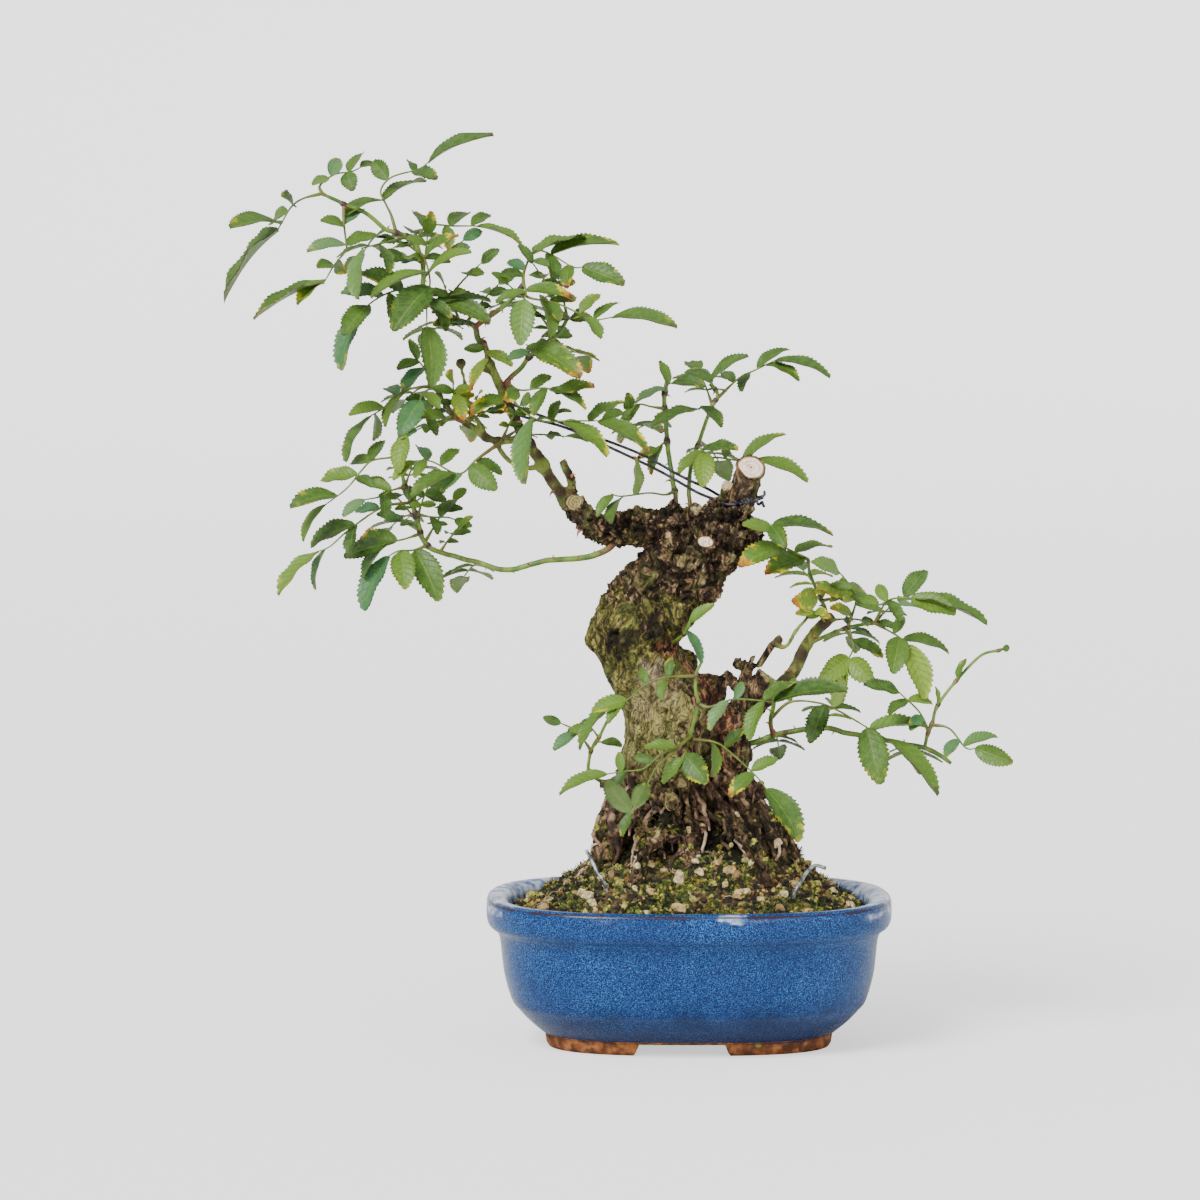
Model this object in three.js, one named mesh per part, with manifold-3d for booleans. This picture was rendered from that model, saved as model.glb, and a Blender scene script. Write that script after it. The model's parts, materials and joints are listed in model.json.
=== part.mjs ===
// A shrub rose grown as a bonsai in a small oval glazed pot.
// Millimetres, +Z up. The pot's centre line is the Z axis while the pieces are made, its long
// side runs along X, and the front of the tree faces -Y. The whole group is moved at the end so
// that the middle of its lowest face lies at the origin.

import * as THREE from 'three';
import { mergeVertices } from 'three/addons/utils/BufferGeometryUtils.js';
import Module from 'manifold-3d';

const wasm = await Module();
wasm.setup();

// Clearances between pieces that touch on the real tree
const GAP = 0.3;
const SOCKET_GAP = 0.4;

// Pot: half widths along X at each height, the long side first
const RIM_HALF_LENGTH = 75;
const RIM_HALF_DEPTH = 59.4;
const FOOT_HALF_LENGTH = 53;
const FOOT_HALF_DEPTH = 33.5;
const POT_HEIGHT = 55.5;
const POT_SQUARENESS = 2.7;
const POT_SIDES = 28;
const DRAIN_SIDES = 12;
const FOOT_HEIGHT = 4.6;
const FOOT_RECESS = 4;
const FOOT_DRAFT = 1;
const FOOT_WALL = 8;
const OVERRUN = 1;
const FOOT_CUT = { centre: -3, topWidth: 30, bottomWidth: 35 };
const FLOOR_TOP = 9;
const DRAIN_RADIUS = 6;
const DRAIN_SPACING = 28;
const POT_OUTSIDE = [
  [52.6, 4], [56.2, 7.2], [61.2, 11.6], [66, 17.5], [68.6, 27], [69.8, 38], [71, 42.4], [74.2, 45.4],
  [75, 49], [75, 53], [73.6, POT_HEIGHT],
];
const POT_INSIDE = [
  [68.6, POT_HEIGHT], [66.8, 52.5], [65.4, 40], [64, 28], [60, 15.5], [52, FLOOR_TOP],
];

// Soil: contact with the pot, then the mound that rises to the root collar
const SOIL_INSIDE = [[51.4, 9.4], [59.4, 15.7], [63.6, 28.1], [65, 40.1]];
// Each ring: half length, half depth, height, squareness, and how far it lies to the right
const SOIL_MOUND = [
  [66, 49, 50, 2.6, 0], [59, 43, 53.5, 2.4, 0.6], [52, 37, 58, 2.2, 1.6], [45, 31.5, 63, 2.1, 2.4],
  [38, 26.5, 68.5, 2, 3], [31, 21, 72, 2, 3], [14, 10, 73.5, 2, 3],
];
const PEBBLES = [
  [-4, -41, 2.9], [-14, -33, 2.1], [17, -36, 1.8], [-52, -18, 2.2], [-8, 38, 2.3], [30, 38, 2],
];
const PEBBLE_STRETCH = [1.2, 1, 0.85];
const PEBBLE_TURN = 0.9;

// Drainage mesh over each hole in the pot's floor
const MESH_SIZE = 19;
const MESH_THICKNESS = 1;
const MESH_SLOTS = 2;
const MESH_SLOT_SIZE = 5.6;
const MESH_PITCH = 8;

// Wires: the aluminium tie that anchors the roots, and the black guy wire
const WIRE_SIDES = 5;
const TIE_RADIUS = 0.7;
const TIE_STEPS = 28;
const TIE_ROUTE = [
  [-38, -19, 74], [-36, -23, 71], [-34, -26, 67], [-31, -28, 62], [-29, -22, 48], [-28, -8, 26],
  [-28, 0, 12], [-26, 0, 2.6], [0, 0, 2.2], [26, 0, 2.6], [28, 0, 12], [31, -10, 28],
  [35, -27, 48], [38, -30, 59], [40, -29, 63], [43, -25, 67], [46, -23, 69], [50, -23, 68],
];
const GUY_RADIUS = 0.55;
const GUY_STEPS = 38;
const GUY_ROUTE = [
  [27, -8.5, 203.5], [22, -7, 201.5], [16, -6, 200], [12, -4, 202], [4, -4.5, 204.5],
  [-11, -5, 213], [-31, -5, 222.5], [-47, -5.5, 229.5], [-60.5, -5.6, 232.8], [-66, -5.2, 235.2],
  [-69.6, -3.2, 237.8], [-68.2, 0.5, 238.6], [-60, 2.2, 235], [-46, 2, 230], [-37, 1.5, 226.3],
  [-18, 1.2, 219], [-3.4, 1, 211], [7, 3, 206], [13, 6, 202.5], [20, 7, 202], [26, 3, 203],
  [27.8, -3, 204], [27.5, -6.5, 205.5],
];

// Trunk: each ring gives its middle, its half width along X and its half depth along Y
const TRUNK_SIDES = 12;
const TRUNK_RINGS = [
  [0, 0, 61, 26, 18], [-2, 0, 76, 25, 17], [-5, 0, 86, 22, 16],
  [-5, 0, 95, 22, 15.5], [-4, 0, 108, 21.5, 15], [-4, 0, 116, 19.5, 15], [-6, 0, 126, 19, 15],
  [-12, 0, 135, 18.5, 14], [-16, 0, 142, 16.5, 13.5], [-21, 0, 149, 17, 13],
  [-18, 0, 156.5, 18.5, 14], [-12, 0, 164, 21.5, 15], [-8, 0, 172, 20.5, 15],
  [0, 0, 180, 20, 14], [5, 0, 188, 18.5, 12.5], [8, 0, 195, 14, 9.5], [11, 0, 200, 8, 6],
];
const BARK_RELIEF = 0.07;
const BARK_WAVES = [{ count: 3, rise: 17, share: 1 }, { count: 7, rise: 9, share: 0.7 }];
const LARGE_KNOB = 7.5;

// Limbs of the trunk: radii from first to last point, number of sides, and the route
const LIMBS = [
  { name: 'left arm', radii: [9.5, 8, 7, 6], sides: 8,
    route: [[8, 0, 188], [-10, 0, 191], [-22, -1, 192], [-30, -2, 191.5]] },
  { name: 'branch base', radii: [6.6, 6, 4.6, 4.3, 3], sides: 7,
    route: [[-24, 0, 191], [-33.5, -1, 191.8], [-39.5, -2, 196.4], [-44, -2, 201],
      [-47.2, -2, 205.6]] },
  { name: 'main branch', radii: [2.6, 2.3, 2.1, 1.9], sides: 6,
    route: [[-45, -2, 202], [-50.6, -2, 209], [-54.6, -2, 216], [-58, -2, 221], [-62, -2, 228],
      [-66, -2, 235], [-69, -3, 242], [-72.6, -3, 250.4]] },
  { name: 'branch spur', radii: [2, 1.5], sides: 5,
    route: [[-43.5, -2, 202], [-43.6, -4, 209], [-47, -5, 217]] },
  { name: 'mid left branch', radii: [2, 1.5], sides: 5,
    route: [[-60, -2, 225], [-68, -1, 224], [-75, 0, 225], [-80, 1, 229], [-84, 2, 231.5]] },
  { name: 'loop branch', radii: [1.5, 1.3], sides: 5,
    route: [[-53, -2, 215], [-60, 0, 214], [-67, 0, 217], [-72, 0, 224]] },
  { name: 'mid left twig', radii: [1.2, 0.9], sides: 5,
    route: [[-75, 0, 225], [-77, 0, 230], [-81, 0, 236], [-83, 0, 246], [-84.5, 0, 252]] },
  { name: 'cut stump', radii: [6.4, 5.4, 5.1, 4.8], sides: 8,
    route: [[14, 0, 192], [18, 0, 199], [20.5, 0, 206], [22, -0.6, 213]] },
  { name: 'thick stub', radii: [6.5, 5.6, 5.2], sides: 8,
    route: [[8, -3, 114], [18, -4, 122], [30, -4, 137]] },
  { name: 'right branch', radii: [4, 3, 2.7, 2.5], sides: 6,
    route: [[24, 0, 124], [32, 3, 131], [39, 6, 138], [43, 9, 146], [48, 12, 153], [54, 14, 158]] },
  { name: 'thin branch', radii: [1.9, 1.4], sides: 5,
    route: [[20, -6, 126], [21, -6, 138], [26, -6, 145], [34, -4, 151.5]] },
  { name: 'thin twig', radii: [1, 0.8], sides: 5,
    route: [[31, -5, 149], [35.5, -5, 148], [39.5, -4, 154], [44, -2, 159]] },
  { name: 'left root', radii: [7, 5.4, 4.6, 3.6], sides: 6,
    route: [[-18, -3, 98], [-26, -6, 88], [-30, -8, 77], [-35, -11, 62]] },
  { name: 'low left stub', radii: [3.6, 2.9], sides: 6, route: [[-22, -4, 95], [-34, -7, 97.5]] },
  { name: 'right root', radii: [3.4, 2.2, 2.6, 3], sides: 6,
    route: [[16, -7, 104], [23, -9, 94], [27.5, -11, 86], [31, -13, 78], [36, -14.5, 62]] },
  { name: 'diagonal root', radii: [2.2, 2.7, 3], sides: 6,
    route: [[-2, -13, 99], [9, -16.5, 92], [17, -20, 82], [24, -24, 73], [28, -27, 61]] },
  { name: 'front root', radii: [4.5, 3.4, 3], sides: 6,
    route: [[-14, -12, 92], [-16, -18, 80], [-20, -26, 62]] },
  { name: 'middle root', radii: [3.6, 2.8], sides: 6,
    route: [[2, -12, 92], [1, -18, 80], [-2, -25, 62]] },
  { name: 'far right root', radii: [6, 5, 4], sides: 6,
    route: [[14, 2, 98], [24, 4, 86], [33, 5, 76], [42, 6, 60]] },
  { name: 'rear root', radii: [6, 4.6, 3.6], sides: 6,
    route: [[-8, 10, 96], [-12, 18, 82], [-17, 27, 62]] },
  { name: 'rear right root', radii: [5.4, 4, 3.2], sides: 6,
    route: [[8, 9, 96], [14, 17, 82], [22, 26, 62]] },
];
const KNOBS = [
  [-21, -4, 195, 4.6], [-8, -4, 196.5, 4.2], [1.5, -3, 197, 3.8], [23.5, -2, 189, 4.6],
  [-2, -13, 179, 4.6], [-14, -12, 153, 4.2], [13, -9, 118, 9], [16, -6, 108, 8],
  [-24, -8, 134, 5], [-35, -4, 150, 4], [12, 10, 178, 5], [-20, 10, 160, 6], [-2, 12, 140, 6],
  [8, 10, 112, 7], [-74.5, -3, 252, 3.1], [-54.2, -3, 215, 3.4], [7, -4, 131.5, 7.4],
];
// Hollows in the wood: middle, then the reach along X, Y and Z
const HOLLOWS = [
  [-12, -20, 86, 7, 8, 6], [14, -13, 192, 3.6, 3, 3], [-28, -15, 149, 3.6, 3.4, 3],
  [-22.5, -16, 116, 3.4, 4, 3],
];

// A tube's first side starts across the Y axis, or across X where the tube runs nearly along Y
const NEARLY_ALONG = 0.9;
// Triangles thinner than the sliver are cleared, and points nearer than the weld are one
const SLIVER = 0.03;
const WELD = 1e-4;

// Leaves and their stems
const STEM_SIDES = 5;
const BLADE_THICKNESS = 0.7;
const RIB_RADII = [0.72, 0.62];
const RIB_SIDES = 3;
const ARCH = 0.1;
const FOOT_OFFSET = 0.12;
const END_OVERLAP = 0.8;
const LEAST_LEAFLET = 11;
const RIB_SLACK = 1.6;
const STEM_SLACK = 0.9;
const LEAST_WIDTH = 0.52;
const FULL_WIDTH = 0.56;
// Leaflets of a rear leaf: place on the rib, then how much they head onward and sideways
const REAR_LEAFLETS = [
  { share: 1, onward: 1, turn: 0, scale: 1 },
  { share: 0.7, onward: 0.55, turn: 1, scale: 0.9 },
  { share: 0.7, onward: 0.55, turn: -1, scale: 0.9 },
];
const REAR_DROOP = 0.25;
// Half outline of a leaflet: how far along it, then how far out, in lengths and widths
const SMALL_EDGE = [[0.32, 0.48], [0.7, 0.4]];
const MIDDLE_EDGE = [[0.24, 0.42], [0.56, 0.5], [0.62, 0.36]];
const LARGE_EDGE = [[0.18, 0.37], [0.48, 0.5], [0.53, 0.4], [0.8, 0.32]];
const MIDDLE_LENGTH = 19;
const LARGE_LENGTH = 27;

// Shoots: stems with their first and last radius, then leaves. A leaf has its rib, and leaflets
// that give how far along the rib they stand, their tip, and their width as seen from the front.
// A rear leaf is a plain pair-and-end leaf: where its rib starts, where it ends, leaflet length.
const SHOOTS = {
  shoot_crown: {
    stems: [
      { radii: [1.7, 0.95], points: [[-73.5, -3, 251], [-75, -3, 258], [-78, -3, 262], [-79, -3, 266],
          [-84, -3, 268],
        [-89, -3, 269], [-95, -3, 274], [-98, -3, 279], [-98, -2, 285], [-99, -1, 292], [-104, 0, 299],
        [-112, -1, 302], [-118, -2, 307], [-127, -3, 311], [-135, -4, 315]] },
      { radii: [1.5, 1], points: [[-79, -3, 266], [-75, -6, 269], [-68, -8, 274], [-63, -9, 279],
          [-61, -9, 282]] },
    ],
    leaves: [
      { rib: [[-135, -4, 315], [-142, -8, 313], [-146, -10, 310], [-149, -12, 305], [-151, -14, 301]],
        leaflets: [[1, -170, -22, 275, 3], [0.85, -167, -30, 302, 4], [0.95, -164, -4, 290, 4],
          [0.5, -149, -22, 314, 3], [0.65, -154, 2, 304, 4]] },
      { rib: [[-135, -4, 315], [-136, 2, 318], [-131, 8, 322], [-125, 12, 323], [-121, 14, 325]],
        leaflets: [[0.45, -139, 0, 318, 4], [0.5, -130, 14, 328, 6], [0.8, -121, 22, 330, 4],
          [0.75, -124, 6, 316, 7], [1, -116, 22, 326, 3]] },
      { rib: [[-108, 0, 300], [-110, 4, 307], [-112, 6, 311], [-114, 8, 316], [-110, 10, 321],
          [-100, 12, 324],
        [-96, 12, 327]],
        leaflets: [[1, -72, 4, 336, 5], [0.82, -104, 20, 327, 3], [0.82, -93, 2, 320, 5],
          [0.58, -117, 16, 327, 7], [0.36, -127, -4, 307, 3], [0.36, -98, 20, 320, 3]] },
      { rib: [[-127, -3, 311], [-127, -6, 305], [-126, -10, 297], [-126, -12, 294], [-130, -14, 289],
          [-134, -18, 282]],
        leaflets: [[0.24, -135, -14, 305, 4], [0.24, -120, 2, 309, 4], [0.47, -140, -16, 294, 4],
          [0.47, -115, -2, 300, 5], [0.75, -136, -24, 288, 4], [0.72, -126, -4, 286, 5],
          [0.93, -143, -26, 275, 4], [1, -159, -24, 269, 3]] },
      { rib: [[-104, 0, 299], [-112, -10, 297], [-120, -20, 295]],
        leaflets: [[1, -121, -30, 277, 6], [0.6, -110, -20, 286, 4]] },
      { rib: [[-98, -3, 279], [-105, -12, 280], [-112, -16, 278], [-118, -18, 274], [-120, -20, 271]],
        leaflets: [[0.35, -120, -20, 286, 7], [0.62, -127, -24, 279, 5], [0.85, -126, -30, 264, 8],
          [1, -128, -24, 251, 6], [0.55, -109, -20, 268, 5]] },
      { rib: [[-101, 1, 296], [-97, 6, 303], [-87, 10, 303], [-78, 12, 303]],
        leaflets: [[1, -61, 6, 296, 3], [0.3, -102, 16, 308, 4], [0.65, -82, 22, 308, 5],
          [0.6, -89, 4, 294, 5], [0.92, -74, 20, 307, 4]] },
      { rib: [[-99, -2, 294], [-97, -12, 291], [-95, -18, 283], [-96, -22, 276], [-96, -24, 266]],
        leaflets: [[0.25, -85, -18, 300, 4], [0.45, -80, -24, 294, 4], [0.45, -116, -28, 277, 5],
          [0.6, -108, -34, 265, 12], [1, -94, -32, 245, 10], [0.75, -87, -28, 270, 4]] },
      { rib: [[-98, -3, 279], [-94, -12, 276], [-90, -14, 275]],
        leaflets: [[1, -73, -20, 268, 6], [0.8, -73, -6, 276, 4], [0.4, -89, -16, 265, 5]] },
      { rib: [[-76, -3, 260], [-75, -8, 257], [-74, -10, 254]],
        leaflets: [[1, -80, -14, 244, 4], [0.6, -65, -12, 252, 4], [0.3, -83, -8, 258, 4]] },
      { rib: [[-61, -9, 282], [-61, -4, 286], [-58, 2, 293], [-55, 4, 294], [-50, 4, 292],
          [-43, 0, 288], [-39, -2, 288]],
        leaflets: [[0.42, -38, 14, 299, 3], [0.62, -26, 14, 296, 3], [0.6, -50, -6, 283, 6],
          [0.84, -45, -8, 280, 6], [1, -24, -8, 282, 8], [0.14, -70, -10, 285, 4],
          [0.2, -67, 4, 290, 4], [0.3, -52, -12, 288, 3]] },
      { rib: [[-61, -9, 282], [-60, -14, 279], [-61, -18, 276]],
        leaflets: [[0.4, -43, -14, 277, 5], [1, -62, -26, 260, 10], [0.5, -71, -18, 275, 4]] },
      { rib: [[-62, -9, 280], [-59, -14, 277], [-49, -16, 275], [-40, -18, 271], [-35, -18, 269],
          [-28, -18, 270]],
        leaflets: [[1, -5, -26, 266, 5], [0.82, -26, -10, 275, 3], [0.36, -48, -22, 268, 4],
          [0.3, -51, -28, 263, 5], [0.42, -42, -8, 277, 4], [0.68, -33, -12, 278, 4],
          [0.72, -33, -26, 262, 4]] },
    ],
    rear: [
      [[-99, -1, 292], [-102, 24, 300], 15], [[-112, -1, 302], [-122, 22, 292], 14],
      [[-89, -3, 269], [-96, 24, 262], 15], [[-68, -8, 274], [-62, 20, 272], 15],
    ],
  },
  shoot_mid_right: {
    stems: [{ radii: [1.4, 1], points: [[-66.4, -2.2, 241], [-67, -3, 246], [-62, -4, 251],
        [-59, -6, 255], [-53, -6, 259],
      [-48, -4, 264], [-45, -2, 269]] }],
    leaves: [
      { rib: [[-59, -6, 255], [-59, -12, 258], [-60, -14, 260]],
        leaflets: [[1, -40, -26, 248, 9], [0.5, -67, -16, 254, 4]] },
      { rib: [[-67, -3, 245], [-62, -10, 243], [-53, -14, 244], [-49, -16, 242]],
        leaflets: [[1, -35, -18, 245, 5], [0.85, -38, -22, 237, 4], [0.8, -57, -22, 234, 5],
          [0.3, -68, -18, 239, 6], [0.55, -51, -6, 248, 4]] },
      { rib: [[-67, -3, 243.5], [-63, -10, 237], [-55, -14, 232], [-44, -16, 232], [-33, -16, 232]],
        leaflets: [[1, -15, -18, 221, 6], [0.7, -30, -24, 220, 6], [0.42, -60, -22, 209, 7],
          [0.15, -81, -14, 235, 4], [0.6, -48, -8, 239, 4], [0.9, -24, -8, 239, 4]] },
    ],
    rear: [[[-53, -6, 259], [-42, 18, 254], 14]],
  },
  shoot_mid_left: {
    stems: [{ radii: [1.2, 1], points: [[-82, 1.5, 230.5], [-86, 2, 232], [-90, 3, 237],
        [-93, 4, 242], [-95, 4, 244]] }],
    leaves: [
      { rib: [[-95, 4, 244], [-103, 2, 243], [-109, 0, 240], [-113, -2, 236], [-118, -4, 233]],
        leaflets: [[0.5, -112, 12, 243, 4], [0.75, -125, -10, 234, 5], [1, -127, -10, 217, 3],
          [0.35, -112, -10, 230, 4], [0.9, -117, 4, 224, 4]] },
      { rib: [[-94, 4, 244], [-98, -8, 242], [-99, -14, 239]],
        leaflets: [[1, -106, -24, 227, 9], [0.6, -92, -14, 236, 4]] },
      { rib: [[-92, 4, 241], [-96, -4, 235], [-102, -6, 229], [-105, -8, 226]],
        leaflets: [[1, -107, -14, 213, 7], [0.5, -93, -6, 226, 4]] },
      { rib: [[-90, 3, 237], [-87, -6, 240], [-86, -10, 242]],
        leaflets: [[1, -83, -16, 232, 6], [0.5, -79, -8, 241, 4]] },
      { rib: [[-87, 2, 233], [-90, -6, 233]],
        leaflets: [[1, -99, -14, 233, 4]] },
      { rib: [[-95, 4, 244], [-98, 10, 250], [-101, 12, 254]],
        leaflets: [[1, -104, 14, 261, 4], [0.9, -108, 4, 250, 4], [0.7, -106, 2, 242, 5],
            [0.6, -92, 16, 253, 4]] },
    ],
    rear: [[[-95, 4, 244], [-106, 30, 238], 14], [[-90, 3, 237], [-84, 27, 228], 13]],
  },
  shoot_mid_low: {
    stems: [{ radii: [1, 0.9], points: [[-69, -1.5, 224.5], [-70, -6, 223], [-72, -8, 222]] }],
    leaves: [
      { rib: [[-72, -8, 222], [-79, -12, 217], [-83, -14, 213], [-87, -14, 213], [-95, -12, 217],
          [-102, -10, 217]],
        leaflets: [[0.33, -71, -20, 207, 9], [0.25, -69, -8, 212, 4], [0.68, -85, -6, 221, 4],
          [0.52, -102, -22, 205, 4], [0.45, -91, -20, 206, 4], [0.85, -101, -16, 211, 4],
          [1, -109, -12, 210, 4], [0.85, -100, 0, 222, 4]] },
    ],
    rear: [],
  },
  shoot_low_left: {
    stems: [{ radii: [1.7, 1.4, 1.35, 1.25, 1], points: [[-26, -2, 188.5], [-29.5, -4, 184.6],
        [-34.5, -5, 182.2], [-41, -5.2, 180.8], [-53, -6, 180],
      [-64, -6, 177], [-70, -6, 177], [-77, -5, 179], [-92, -4, 183], [-96, -4, 185], [-99, -3, 189],
      [-101, -2, 197], [-103, -2, 202], [-105, -2, 207], [-106, -2, 213]] }],
    leaves: [
      { rib: [[-106, -2, 213], [-107, -4, 218], [-111, -8, 218], [-117, -10, 217], [-121, -12, 213],
          [-126, -14, 207],
        [-134, -16, 201]],
        leaflets: [[0.42, -125, -2, 216, 4], [0.42, -113, 0, 224, 5], [0.6, -136, -6, 210, 5],
          [0.85, -146, -24, 201, 5], [1, -142, -18, 188, 3], [0.62, -116, -20, 208, 4]] },
      { rib: [[-105, -2, 207], [-110, -10, 206], [-114, -14, 204], [-120, -16, 203]],
        leaflets: [[0.4, -119, -6, 209, 4], [1, -127, -20, 197, 4], [0.6, -112, -20, 197, 5]] },
      { rib: [[-103, -2, 201], [-113, -12, 200], [-125, -16, 192], [-132, -18, 186], [-137, -18, 184]],
        leaflets: [[0.35, -123, -6, 198, 4], [0.6, -140, -8, 186, 5], [1, -151, -24, 169, 4],
          [0.92, -138, -16, 170, 2], [0.6, -124, -24, 183, 5]] },
      { rib: [[-100, -3, 190], [-105, -6, 188], [-110, -8, 187], [-113, -10, 186]],
        leaflets: [[0.6, -122, -2, 188, 7], [1, -127, -14, 182, 7], [0.8, -120, -18, 175, 4]] },
      { rib: [[-97, -4, 185], [-102, -8, 184], [-107, -12, 184], [-111, -14, 182]],
        leaflets: [[0.65, -104, -22, 171, 10], [1, -120, -20, 163, 7], [0.3, -92, -16, 166, 11]] },
      { rib: [[-101, -2, 197], [-95, -4, 196], [-89, -6, 196], [-86, -8, 195]],
        leaflets: [[1, -80, -10, 193, 4], [0.6, -86, 6, 202, 4], [0.4, -93, -12, 190, 4]] },
      { rib: [[-101, -2, 196], [-103, 6, 200], [-100, 8, 202], [-95, 8, 206]],
        leaflets: [[1, -90, 6, 210, 4], [0.5, -106, 16, 207, 5], [0.8, -90, 12, 201, 4]] },
    ],
    rear: [[[-77, -5, 179], [-84, 20, 172], 14], [[-101, -2, 197], [-112, 24, 190], 14],
      [[-105, -2, 207], [-102, 22, 214], 13]],
  },
  shoot_back_left: {
    stems: [{ radii: [1.3, 1.15], points: [[-5, 4, 194], [-5, 7, 202], [-6, 10, 209], [-8, 16, 223],
        [-9, 20, 238], [-8, 22, 246]] }],
    leaves: [
      { rib: [[-9, 21, 241], [-8, 16, 244], [-6, 12, 245]],
        leaflets: [[1, 6, 6, 244, 4], [0.3, -20, 14, 237, 3], [0.7, -11, 16, 253, 4]] },
      { rib: [[-9, 20, 235], [-14, 14, 236], [-19, 10, 237], [-25, 6, 234]],
        leaflets: [[1, -32, 0, 232, 4], [0.85, -23, 0, 242, 5], [0.6, -25, 8, 228, 4]] },
      { rib: [[-8, 16, 223], [-10, 13, 222], [-12, 11, 220]],
        leaflets: [[1, -19, 7, 217, 4], [0.5, -14, 8, 211, 4]] },
      { rib: [[-6, 8, 205], [-9, 0, 204], [-15, -6, 205], [-25, -10, 204], [-29, -11, 205]],
        leaflets: [[0.72, -20, -13, 219, 4], [1, -34, -16, 197, 4], [0.85, -29, -22, 195, 3]] },
    ],
    rear: [[[-8, 18, 230], [-20, 42, 226], 14]],
  },
  shoot_back_right: {
    stems: [{ radii: [1.2, 0.9], points: [[1, 4, 194], [0, 9, 205], [1, 16, 214], [4, 20, 223],
        [9, 25, 236], [11, 26, 239],
      [10, 27, 242], [8, 27, 244]] }],
    leaves: [
      { rib: [[10, 27, 242], [9, 25, 244], [8, 24, 246]],
        leaflets: [[1, 22, 18, 255, 4], [0.6, -1, 34, 249, 4]] },
      { rib: [[10, 26, 238], [19, 30, 246], [25, 30, 249], [33, 28, 253]],
        leaflets: [[0.35, 13, 38, 248, 4], [0.6, 20, 22, 241, 4], [0.72, 38, 38, 257, 3],
          [1, 53, 22, 247, 4], [0.85, 41, 18, 246, 4]] },
      { rib: [[8, 25, 235], [5, 18, 236], [4, 14, 235]],
        leaflets: [[1, -14, 6, 229, 3], [0.6, 12, 8, 229, 5]] },
      { rib: [[4, 19, 221], [5, 12, 220], [6, 8, 219]],
        leaflets: [[1, 5, 0, 207, 9], [0.6, 18, 4, 221, 4], [0.7, -4, 6, 211, 4]] },
      { rib: [[2, 17, 215], [10, 16, 217], [18, 14, 216], [25, 12, 216]],
        leaflets: [[0.8, 36, 18, 226, 4], [1, 44, 4, 209, 5], [0.5, 13, 22, 223, 4]] },
    ],
    rear: [[[4, 20, 223], [12, 44, 214], 15], [[9, 25, 236], [4, 46, 248], 13]],
  },
  shoot_right_top: {
    stems: [{ radii: [1, 0.8], points: [[51, 12.5, 155.5], [51, 12, 160], [49, 8, 165], [45, 2, 174],
        [44, 0, 180]] }],
    leaves: [
      { rib: [[44, 0, 180], [37, -6, 184], [32, -10, 187], [30, -12, 194]],
        leaflets: [[0.1, 28, -14, 176, 7], [0.5, 18, -18, 179, 7], [1, 35, -22, 186, 7],
            [0.98, 53, -6, 190, 4],
          [0.3, 53, 4, 185, 3], [0.9, 19, -16, 194, 5]] },
      { rib: [[49, 8, 165], [48, 4, 166], [47, 2, 166]],
        leaflets: [[1, 38, -8, 165, 9]] },
    ],
    rear: [[[49, 8, 165], [43, 32, 174], 14]],
  },
  shoot_right_upper: {
    stems: [{ radii: [1.1, 0.8], points: [[42, 9, 145], [47, 9, 149], [59, 8, 154], [69, 6, 156]] }],
    leaves: [
      { rib: [[59, 8, 154], [62, 4, 165], [59, 0, 171], [55, -4, 176]],
        leaflets: [[1, 45, -12, 180, 5], [0.72, 66, 6, 166, 5], [0.5, 49, -4, 169, 6],
          [0.35, 73, 10, 159, 3], [0.2, 52, -2, 162, 4]] },
      { rib: [[69, 6, 156], [73, 2, 164], [78, -2, 166], [84, -4, 166]],
        leaflets: [[0.45, 70, 8, 170, 5], [0.8, 88, 6, 176, 7], [0.9, 98, -10, 161, 8],
          [1, 110, -4, 156, 3], [0.5, 78, -6, 157, 5]] },
      { rib: [[69, 6, 156], [78, 2, 151], [81, 0, 148]],
        leaflets: [[0.55, 80, 8, 158, 4], [0.8, 97, 8, 145, 3], [0.7, 75, -10, 139, 10],
            [1, 87, -8, 129, 10]] },
      { rib: [[58, 8, 154], [61, 2, 148], [59, 0, 143], [58, -2, 140]],
        leaflets: [[0.75, 48, -8, 136, 9], [0.8, 68, -6, 135, 9], [1, 54, -4, 127, 6],
            [0.35, 72, 4, 143, 4]] },
    ],
    rear: [[[59, 8, 154], [62, 32, 148], 14], [[69, 6, 156], [80, 28, 162], 13]],
  },
  shoot_right_long: {
    stems: [
      { radii: [1.6, 1.4, 1.2], points: [[11, 0, 111], [18, 0, 111], [24, -1, 112], [32, -2, 115],
          [41, -4, 117],
        [50, -5, 118], [59, -6, 116], [70, -6, 114], [80, -6, 112], [89, -6, 110], [97, -6, 105]] },
      { radii: [0.9, 0.7], points: [[87, -6, 110.5], [88, -5, 115], [90, -4, 120], [92, -2, 126],
          [99, 0, 135],
        [108, 2, 144], [115, 3, 146], [117, 3, 147]] },
      { radii: [1.2, 1.1], points: [[31, -2, 114.5], [30, -8, 121], [31, -12.5, 128], [30, -13, 137]] },
    ],
    leaves: [
      { rib: [[89, -5, 116], [85, -8, 124], [79, -10, 130], [77, -11, 132]],
        leaflets: [[1, 64, -14, 135, 4], [0.75, 90, -4, 127, 3], [0.75, 73, -18, 124, 4],
            [0.35, 81, -16, 118, 5]] },
      { rib: [[90, -4, 119], [96, -8, 118], [102, -10, 111], [106, -10, 111]],
        leaflets: [[0.6, 94, -16, 108, 4], [0.75, 114, -4, 115, 3], [1, 120, -14, 106, 8]] },
      { rib: [[31, -5, 125], [37, -10, 128], [47, -12, 128], [55, -13, 125], [67, -14, 118],
          [74, -14, 114]],
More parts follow.
